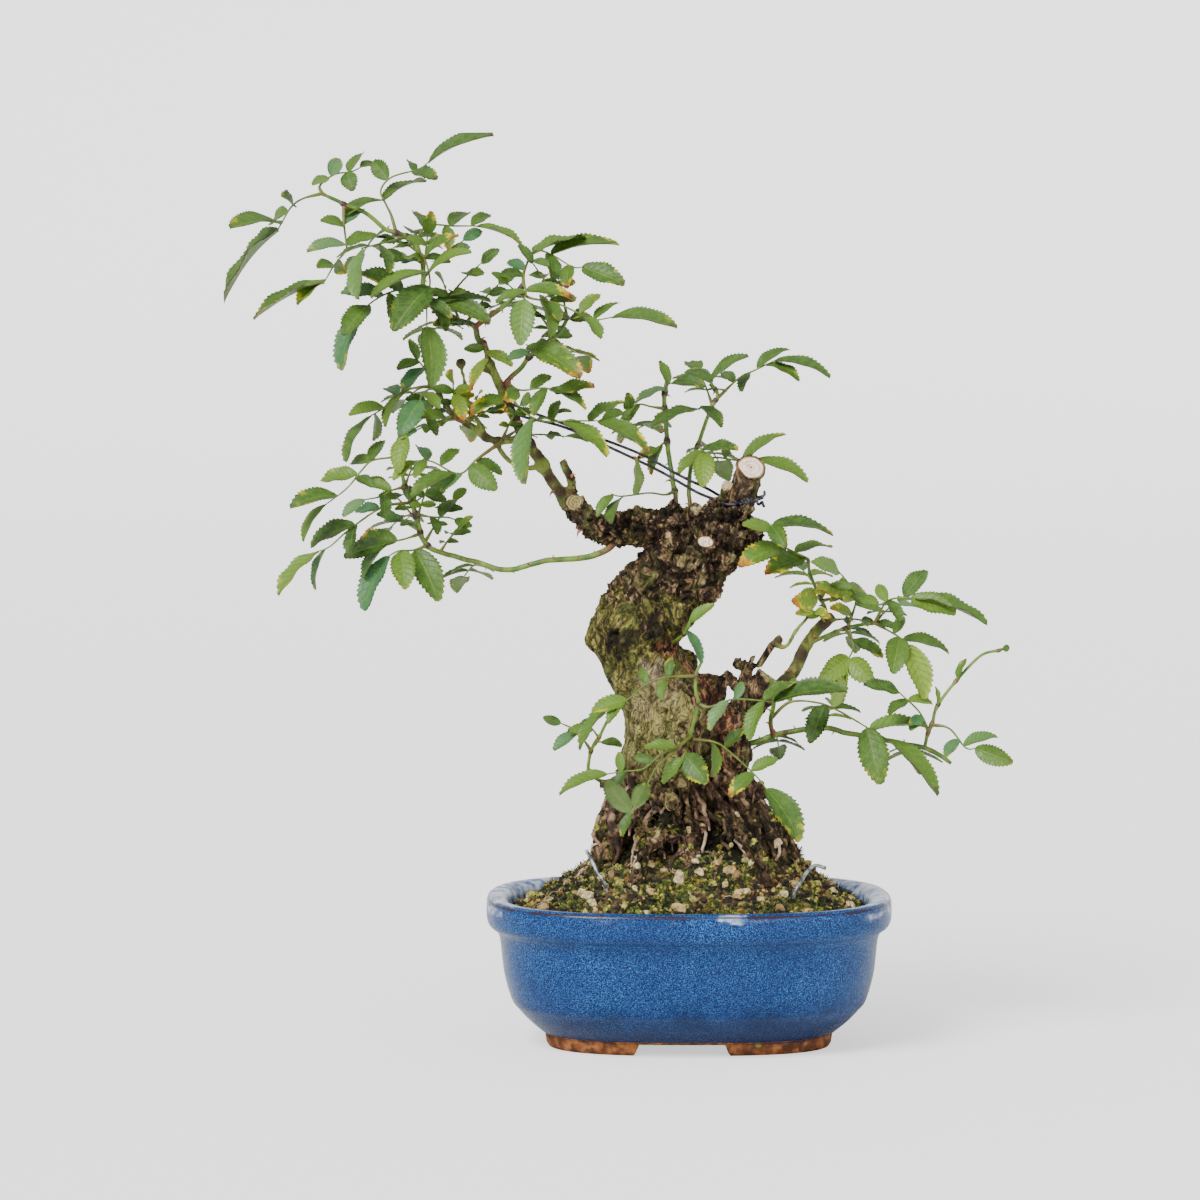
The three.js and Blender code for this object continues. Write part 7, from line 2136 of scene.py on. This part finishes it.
@dataclass
class RoseShoots:
    """The leafy shoots: canes, ribs, toothed leaflets and thorns."""

    wires: NodeRecipe
    placing: NodeRecipe
    columns: int = 7
    variants: int = 4
    fold: float = 0.16
    arch: float = 0.1
    thickness: float = 0.013
    tooth_depth: float = 0.15
    least_width: float = 0.52
    rear_width: float = 0.56
    rear_droop: float = 0.25
    filler_tilt: tuple[float, float] = (0.2, 2.4)
    end_overlap: float = 0.8
    rib_radius: float = 0.38
    slimness: float = 0.74
    seed: int = 31
    box_margin: float = 0.4

    def half_width(self, u: Array) -> Array:
        """Half width of a leaflet along its length, widest a little before its middle."""
        rise = np.sin(np.pi * np.clip(u, 0, 1) ** 0.9) ** 0.56
        return 0.5 * rise * (1 - 0.08 * between(u, 0.6, 1.0))

    def blade(self, sort: Blade, seed: int) -> Draft:
        """One leaflet, a unit long and wide, its foot at the origin and its tip on Y."""
        draw = random.Random(seed)
        teeth = sort.value
        u = np.concatenate([[0.0], (np.arange(2 * teeth) + 1) / (2 * teeth + 1), [1.0]])
        tooth = np.where(np.arange(len(u)) % 2 == 0, 1.0, 1 - self.tooth_depth)
        tooth[0] = tooth[-1] = 1.0
        across = np.linspace(-1, 1, self.columns)
        width = np.maximum(self.half_width(u), 0.006)
        wave, phase = draw.uniform(0.006, 0.022), draw.uniform(0, 6.3)
        twist = draw.uniform(-0.1, 0.1)
        curl = draw.uniform(-0.03, 0.05)
        arch = self.arch * draw.uniform(0.35, 0.9)
        uu, vv = np.meshgrid(u, across, indexing="ij")
        outer = np.abs(vv) > 0.99
        w = width[:, None] * np.where(outer, tooth[:, None], 0.93)
        along = uu + np.where(outer & (tooth[:, None] > 0.99), 0.55 / (2 * teeth), 0)
        along[-1], along[0] = 1.0, 0.0
        x = vv * w
        lift = 4 * arch * uu * (1 - uu) + self.fold * np.abs(x)
        lift += wave * np.sin(uu * 13 + phase + np.sign(vv) * 1.3) * np.abs(vv) ** 2
        lift += twist * x * uu - curl * between(uu, 0.7, 1.0)
        rib = -0.007 * hump(vv, 0.12)
        top = np.stack([x, along, lift + rib], axis=2).reshape(-1, 3)
        under = np.stack([x, along, lift + rib - self.thickness], axis=2).reshape(-1, 3)
        rows, cols = uu.shape
        faces = grid_faces(rows, cols, 0, True).tolist()
        faces += grid_faces(rows, cols, len(top)).tolist()
        rim = [i * cols for i in range(rows)] + [(rows - 1) * cols + j for j in range(1, cols)]
        rim += [i * cols + cols - 1 for i in range(rows - 2, -1, -1)]
        rim += list(range(cols - 2, 0, -1))
        for a, b in zip(rim, rim[1:] + rim[:1]):
            faces.append((a, b, b + len(top), a + len(top)))
        place = np.stack([uu, vv, 0 * uu], axis=2).reshape(-1, 3)
        draft = Draft("leaf_place")
        draft.add(np.vstack([top, under]), faces, leaf_place=np.vstack([place, place + [0, 0, 1]]))
        return draft

    def blades(self) -> list[Draft]:
        """All the sorts of leaflet, a few of each."""
        return [self.blade(sort, 100 * k + i) for k, sort in enumerate(Blade)
            for i in range(self.variants)]

    def thorn(self) -> Draft:
        """Thorn, a unit long, hooked back."""
        line = flowing([(0, -0.2, 0), (0, 0.35, 0.02), (0, 0.7, -0.1), (0, 1, -0.34)], 0.12)
        draft = Draft()
        points, faces = sweep(line, [0.34, 0.2, 0.1, 0.02], 7)
        draft.add(points, faces)
        return draft

    def normal_at(self, ahead: Array, width: float, seen: float) -> Array:
        """Way a leaflet faces, so that its width is seen from the front as given.

        Args:
            ahead: Direction from its foot to its tip.
            width: Its true width.
            seen: Its width as seen from the front.

        Returns:
            The direction, turned so that the upper side looks up.
        """
        front = np.array([0.0, -1.0, 0.0])
        facing = unit(front - ahead * front.dot(ahead))
        aside = np.cross(ahead, facing)
        cosine = min(1.0, seen / width)
        sign = 1 if aside[2] >= 0 else -1
        return unit(facing * cosine + aside * sign * math.sqrt(1 - cosine * cosine))

    def tint(self, place: Array, draw: random.Random) -> Point:
        """Light, yellow and burnt values of a leaflet, from the turned ones near it."""
        light, yellow, burnt = draw.uniform(0.1, 0.58), draw.uniform(0, 0.4), 0.0
        if draw.random() < 0.12:
            light = draw.uniform(0.78, 0.9)
        if draw.random() < 0.3:
            burnt = draw.uniform(0.3, 0.9)
        for x, z, tint in TURNED:
            share = max(0.0, 1 - math.hypot(place[0] - x, place[2] - z) / (2 * TURNED_REACH))
            if share > 0.35:
                blend = min(1.0, share * 1.6)
                light += (tint.value[0] - light) * blend
                yellow += (tint.value[1] - yellow) * blend
                burnt += (tint.value[2] - burnt) * blend
        return light, yellow, burnt

    def add_leaflet(self, spots: Spots, foot: Array, tip: Array, width: float, normal: Array,
            draw: random.Random) -> None:
        """Adds one leaflet, its sort chosen by its length."""
        ahead = unit(tip - foot)
        length = float(np.linalg.norm(tip - foot))
        if normal[2] < 0 and draw.random() < 0.5:
            normal = -normal
        normal = unit(normal - ahead * normal.dot(ahead))
        sort = 2 if length > 24 else 1 if length > 14 else 0
        tone = self.tint((foot + tip * 2) / 3, draw)
        spots.add(foot, ahead, normal, (width, length, length), tone,
            sort * self.variants + draw.randrange(self.variants))

    def rooted(self, stems: Sequence[Array], start: Array) -> Array:
        """Nearest point on the stems, where a rib begins."""
        every = np.vstack(stems)
        return every[np.argmin(np.linalg.norm(every - start, axis=1))]

    def add_front_leaf(self, plan: LeafPlan, stems: Sequence[Array], ribs: Lines, spots: Spots,
            draw: random.Random) -> None:
        """Adds a leaf that is seen from the front: its rib and its leaflets."""
        root = self.rooted(stems, np.array(plan.rib[0], float))
        spine = flowing([tuple(root), *plan.rib[1:]], 1.2)
        self.add_rib(spine, ribs)
        for share, x, y, z, seen in plan.leaflets:
            foot = point_along(spine, share, self.end_overlap)
            tip = np.array([min(x, self.right_end), y, z], float)
            ahead, length = unit(tip - foot), float(np.linalg.norm(tip - foot))
            width = max(seen, self.least_width * length)
            self.add_leaflet(spots, foot, tip, width, self.normal_at(ahead, width, seen), draw)

    def add_rib(self, spine: Array, ribs: Lines) -> None:
        """Adds a leaf's rib, swollen where its stipules clasp the stem."""
        along = np.linspace(0, 1, len(spine))
        thick = self.rib_radius
        ribs.add(spine, [thick * 1.9, thick * 1.7, thick * 1.05, thick, thick, thick * 0.9,
            thick * 0.8, thick * 0.6],
            cane_place=columns(0.2 + 0 * along, 0.4 * (1 - along), 0 * along))

    def add_rear_leaf(self, start: Point, end: Point, length: float, ribs: Lines, spots: Spots,
            draw: random.Random, tilt: tuple[float, float] = (0.0, 0.2)) -> None:
        """Adds a leaf of two pairs of leaflets and one at the end, its faces turned up.

        Args:
            start: Where its rib starts.
            end: Where its rib ends.
            length: Length of its end leaflet.
            ribs: Lines that its rib joins.
            spots: Places that its leaflets join.
            draw: Source of random values.
            tilt: Least and greatest lean of its faces towards the front.
        """
        first, last = np.array(start, float), np.array(end, float)
        up = np.array([0.0, 0.0, 1.0])
        ahead = unit(last - first)
        aside = unit(np.cross(ahead, up))
        facing = unit([draw.uniform(-0.3, 0.3), -draw.uniform(*tilt), 1.0])
        middle = (first + last) / 2 + up * 0.05 * np.linalg.norm(last - first)
        spine = flowing([tuple(first), tuple(middle), tuple(last)], 1.4)
        self.add_rib(spine, ribs)
        for share, onward, turn, scale in ((1, 1, 0, 1), (0.7, 0.55, 1, 0.9), (0.7, 0.55, -1, 0.9),
                (0.38, 0.35, 1, 0.66), (0.38, 0.35, -1, 0.66)):
            foot = point_along(spine, share, self.end_overlap)
            way = unit(ahead * onward + aside * turn - up * self.rear_droop)
            normal = unit(facing - way * way.dot(facing))
            size = length * scale
            self.add_leaflet(spots, foot, foot + way * size, self.rear_width * size, normal, draw)

    def add_thorns(self, line: Array, radii: Sequence[float], thorns: Spots,
            draw: random.Random) -> None:
        """Adds thorns here and there along the thicker part of a cane."""
        run = lengths_along(line)
        heading = np.gradient(line, axis=0)
        place = draw.uniform(3, 7)
        while place < run[-1] - 3:
            i = int(np.searchsorted(run, place))
            radius = float(np.interp(place / run[-1], np.linspace(0, 1, len(radii)), radii))
            radius *= self.slimness
            if radius > 0.66:
                down = -unit(heading[i])
                around = np.array([draw.gauss(0, 1) for _ in range(3)])
                out = unit(around - down * around.dot(down))
                size = draw.uniform(1.3, 2.3)
                thorns.add(line[i] + out * radius * 0.85, out, -down, (size, size, size),
                    (0.5, 0.5, 0.5), 0)
            place += draw.uniform(5, 12)

    def add_stem(self, plan: StemPlan, joints: Sequence[Array], canes: Lines) -> Array:
        """Adds a cane, a little swollen and dark where leaves leave it.

        Args:
            plan: The cane.
            joints: Where leaves start.
            canes: Lines that the cane joins.

        Returns:
            The cane's line.
        """
        line = flowing(plan.points, 0.9)
        along = np.linspace(0, 1, len(line))
        radius = spread(plan.radii, len(line)) * self.slimness
        blush = np.zeros(len(line))
        for joint in joints:
            blush = np.maximum(blush, near(line, joint, 0.5, 1.2))
        bent = ripples(line, 5, 4.0, 2)[:, None] * 0.35 * between(along, 0, 0.1)[:, None]
        line = line + bent * np.array([0.6, 1.0, 0.6])
        radius = radius * (1 + 0.6 * blush) * (1 - 0.25 * between(along, 0.96, 1.0))
        age = between(radius, 0.6, 1.4)
        thick = between(radius, 0.6, 0.9)
        foot = thick * between(along * lengths_along(line)[-1], 14, 4)
        blush = np.maximum(blush, 1.4 * foot)
        joint = np.minimum(1, blush) * between(radius, 0.7, 1.1) * (1 - 0.8 * foot)
        canes.add(line, radius, cane_place=columns(age, 0.6 * blush, joint))
        return line

    def within_box(self, made: Object) -> None:
        """Keeps a piece's points just inside the box of the solid model."""
        places = coordinates(made.data)
        low, high = ((np.array(corner) - CENTRE) / MM for corner in CAD_BOX)
        move_points(made.data, places.clip(low + self.box_margin, high - self.box_margin))

    def make(self, wood: Mesh) -> None:
        """Builds and dresses every shoot; the branches' thorns stand on the wood."""
        leaf, cane = leaf_finish(), cane_finish()
        shelf = shelve("leaflet", self.blades())
        thorns = Spots()
        for name, plan in SHOOTS.items():
            draw = random.Random(f"{name} {self.seed}")
            canes, spots = Lines("cane_place"), Spots()
            joints = [np.array(leaf_plan.rib[0], float) for leaf_plan in plan.leaves]
            stems = []
            for stem in plan.stems:
                line = self.add_stem(stem, joints, canes)
                stems.append(line)
                self.add_thorns(line, stem.radii, thorns, draw)
            for leaf_plan in plan.leaves:
                self.add_front_leaf(leaf_plan, stems, canes, spots, draw)
            for start, end, length in plan.rear:
                self.add_rear_leaf(start, end, length, canes, spots, draw)
            for start, end, length in FILLERS.get(name, []):
                root = tuple(self.rooted(stems, np.array(start, float)))
                self.add_rear_leaf(root, end, length, canes, spots, draw, self.filler_tilt)
            stalks = canes.rods(f"{name}_canes", self.wires, 10, cane)
            blades = spots.shapes(f"{name}_leaves", self.placing, shelf, leaf)
            for made in (stalks, blades):
                self.within_box(made)
                declare(made, "leaf", name)
        clear_shelf(shelf)
        skin = surface_tree(wood)
        for place, facing, size in BRANCH_THORNS:
            out = unit(facing)
            up = unit(np.cross(out, np.cross([0, 0, 1], out)))
            foot = np.array(skin.find_nearest(place)[0])
            thorns.add(foot, out, up, (size, size, size), (0.5, 0.5, 0.5), 0)
        shelf = shelve("thorn", [self.thorn()])
        made = thorns.shapes("shoot_thorns", self.placing, shelf, thorn_finish())
        self.within_box(made)
        clear_shelf(shelf)
        declare(made, "leaf")

    @property
    def right_end(self) -> float:
        """Farthest right that a leaflet's tip may reach."""
        return (CAD_BOX[1][0] - CENTRE[0]) / MM - 1.0


@dataclass
class Wires:
    """The aluminium tie through the drainage holes and the dark guy wire."""

    recipe: NodeRecipe
    tie_radius: float = 0.7
    guy_radius: float = 0.55
    guy_bury: float = 2.6
    tail_turns: float = 2.5
    tail_radius: float = 0.62

    def twisted(self, start: Point, end: Point) -> Array:
        """A wire's end wound round itself on the way from one point to another."""
        first, last = np.array(start, float), np.array(end, float)
        ahead = unit(last - first)
        aside = unit(np.cross(ahead, [0, 1, 0.2]))
        up = np.cross(ahead, aside)
        t = np.linspace(0, 1, 40)[:, None]
        turn = 2 * math.pi * self.tail_turns * t
        about = np.cos(turn) * aside + np.sin(turn) * up
        return first + (last - first) * t + self.tail_radius * about

    def clear(self, line: Array, wood: BVHTree) -> Array:
        """Moves the points of a wire that lie in the wood out of it."""
        for _ in range(4):
            for i, place in enumerate(line):
                spot, out, _, away = wood.find_nearest(place)
                gap = (Vector(place) - spot).dot(out)
                if away < self.guy_bury:
                    line[i] += np.array(out) * max(0.0, self.guy_radius - gap)
            for _ in range(4):
                line[1:-1] = (line[:-2] + 2 * line[1:-1] + line[2:]) / 4
        return line

    def make(self, wood: Mesh) -> None:
        """Builds and dresses both wires, the guy wire outside the wood."""
        tie = Lines()
        tie.add(flowing(TIE_ROUTE, 0.8), [self.tie_radius])
        finish = wire_finish("aluminium_wire", srgb(104, 106, 106), srgb(186, 188, 188), 0.7)
        declare(tie.rods("tie_wire_drawn", self.recipe, 14, finish), "tie_wire", "tie_wire")
        guy = Lines()
        guy.add(self.clear(flowing(GUY_ROUTE, 0.7), surface_tree(wood)), [self.guy_radius])
        for turned in (0, 1):
            start, end = GUY_TAIL[turned], GUY_TAIL[turned + 1]
            guy.add(self.twisted(start, end), [self.guy_radius * 0.95])
        finish = wire_finish("dark_wire", srgb(26, 26, 34), srgb(66, 66, 76), 0.3)
        declare(guy.rods("guy_wire_drawn", self.recipe, 12, finish), "guy_wire", "guy_wire")


@dataclass
class DrainMeshes:
    """Black plastic squares over the drainage holes, kept from the solid model."""

    nodes: tuple[str, str] = ("drain_mesh_left", "drain_mesh_right")

    def dress(self) -> None:
        """Gives both squares their finish."""
        plastic = plastic_mesh_finish()
        for name in self.nodes:
            for place in frame["nodes"][name].material_slots:
                place.material = plastic
            LOG.info("%s: kept, dressed", name)


@dataclass
class Studio:
    """Pale floor, soft lights and the camera at the photograph's angle."""

    eye: Point = (-33, -1900, 312)
    target: Point = (-33, 0, 165)
    lens: float = 154.5
    sensor: float = 36.0
    bowl: Pairs = ((3000, 0), (3400, 20), (3800, 120), (4150, 330),
        (4400, 640), (4500, 1000), (4550, 1500))
    floor_glow: float = 0.9
    world_light: float = 0.66
    world_seen: float = 3.0
    sun_strength: float = 3.9
    sun_width: float = 0.5

    @staticmethod
    def aim(made: Object, place: Point, target: Point) -> None:
        """Stands a lamp or the camera at a place and points it at a target."""
        made.location = Vector(np.array(place) * MM + CENTRE)
        way = Vector(np.array(target, float) - np.array(place, float))
        made.rotation_euler = way.to_track_quat("-Z", "Y").to_euler()

    def lamp(self, name: str, place: Point, target: Point, size: tuple[float, float],
            power: float) -> None:
        """Adds a soft light.

        Args:
            name: Its name.
            place: Where it stands, in millimetres.
            target: Where it points, in millimetres.
            size: Its width and height in metres.
            power: Its power in watts.
        """
        light = bpy.data.lights.new(name, "AREA")
        light.shape = "RECTANGLE"
        light.size, light.size_y, light.energy = size[0], size[1], power
        self.aim(in_scene(name, light), place, target)

    def floor(self) -> None:
        """Adds the floor, which isn't part of the object, and rises far out to a low wall."""
        points, faces = loft([squarish(reach, reach, rise, 2, 96) for reach, rise in self.bowl])
        draft = Draft()
        draft.add(points, faces[:-1])
        f = Finish("pale_floor", 0.9)
        fine = f.patches(1200, 0.3, 0.7)
        colour = f.blend(fine * 0.25, srgb(232, 232, 231), srgb(222, 222, 221))
        f.shader.inputs["Emission Color"].default_value = (1, 1, 1, 1)
        seen = f.made("Is Camera Ray", "ShaderNodeLightPath")
        f.wear(Emission_Strength=seen * self.floor_glow)
        draft.piece("floor", f.wear(Base_Color=colour))

    def make(self) -> None:
        """Sets up the camera, the world, the lights and the floor."""
        lens = bpy.data.cameras.new("camera")
        lens.lens, lens.sensor_width = self.lens, self.sensor
        lens.clip_end = 50
        camera = in_scene("camera", lens)
        self.aim(camera, self.eye, self.target)
        bpy.context.scene.camera = camera
        world = bpy.data.worlds.new("studio")
        world.use_nodes = True
        web = Web(world.node_tree)
        back = web.tree.nodes["Background"]
        back.inputs["Color"].default_value = (1, 1, 1, 1)
        seen = web.out("Is Camera Ray", "ShaderNodeLightPath")
        level = web.out("Result", "ShaderNodeMapRange", {"Value": seen,
            "To Min": self.world_light, "To Max": self.world_seen})
        web.put(back.inputs["Strength"], level)
        bpy.context.scene.world = world
        middle = (-10, 0, 150)
        key = bpy.data.lights.new("key", "SUN")
        key.energy, key.angle = self.sun_strength, self.sun_width
        way = Vector((0.45, 0.62, -0.75))
        in_scene("key", key).rotation_euler = way.to_track_quat("-Z", "Y").to_euler()
        self.lamp("fill", (700, -1000, 420), middle, (0.8, 0.6), 3)
        self.lamp("left_strip", (-560, -1500, 130), (0, 0, 30), (0.22, 0.24), 2)
        self.lamp("right_strip", (420, -1500, 130), (0, 0, 30), (0.22, 0.24), 2)
        self.floor()


def main() -> None:
    """Builds the bonsai piece by piece."""
    logging.basicConfig(level=logging.INFO, format="%(message)s")
    wires, placing = wire_recipe(), placing_recipe()
    pot = GlazedPot()
    pot.make()
    wood = OldTrunk().make()
    ground = MossySoil(pot, strewing_recipe(), placing).make(wood)
    RootTangle(wires).make(wood, ground)
    RoseShoots(wires, placing).make(wood)
    Wires(wires).make(wood)
    DrainMeshes().dress()
    Studio().make()


if __name__ == "__main__":
    main()
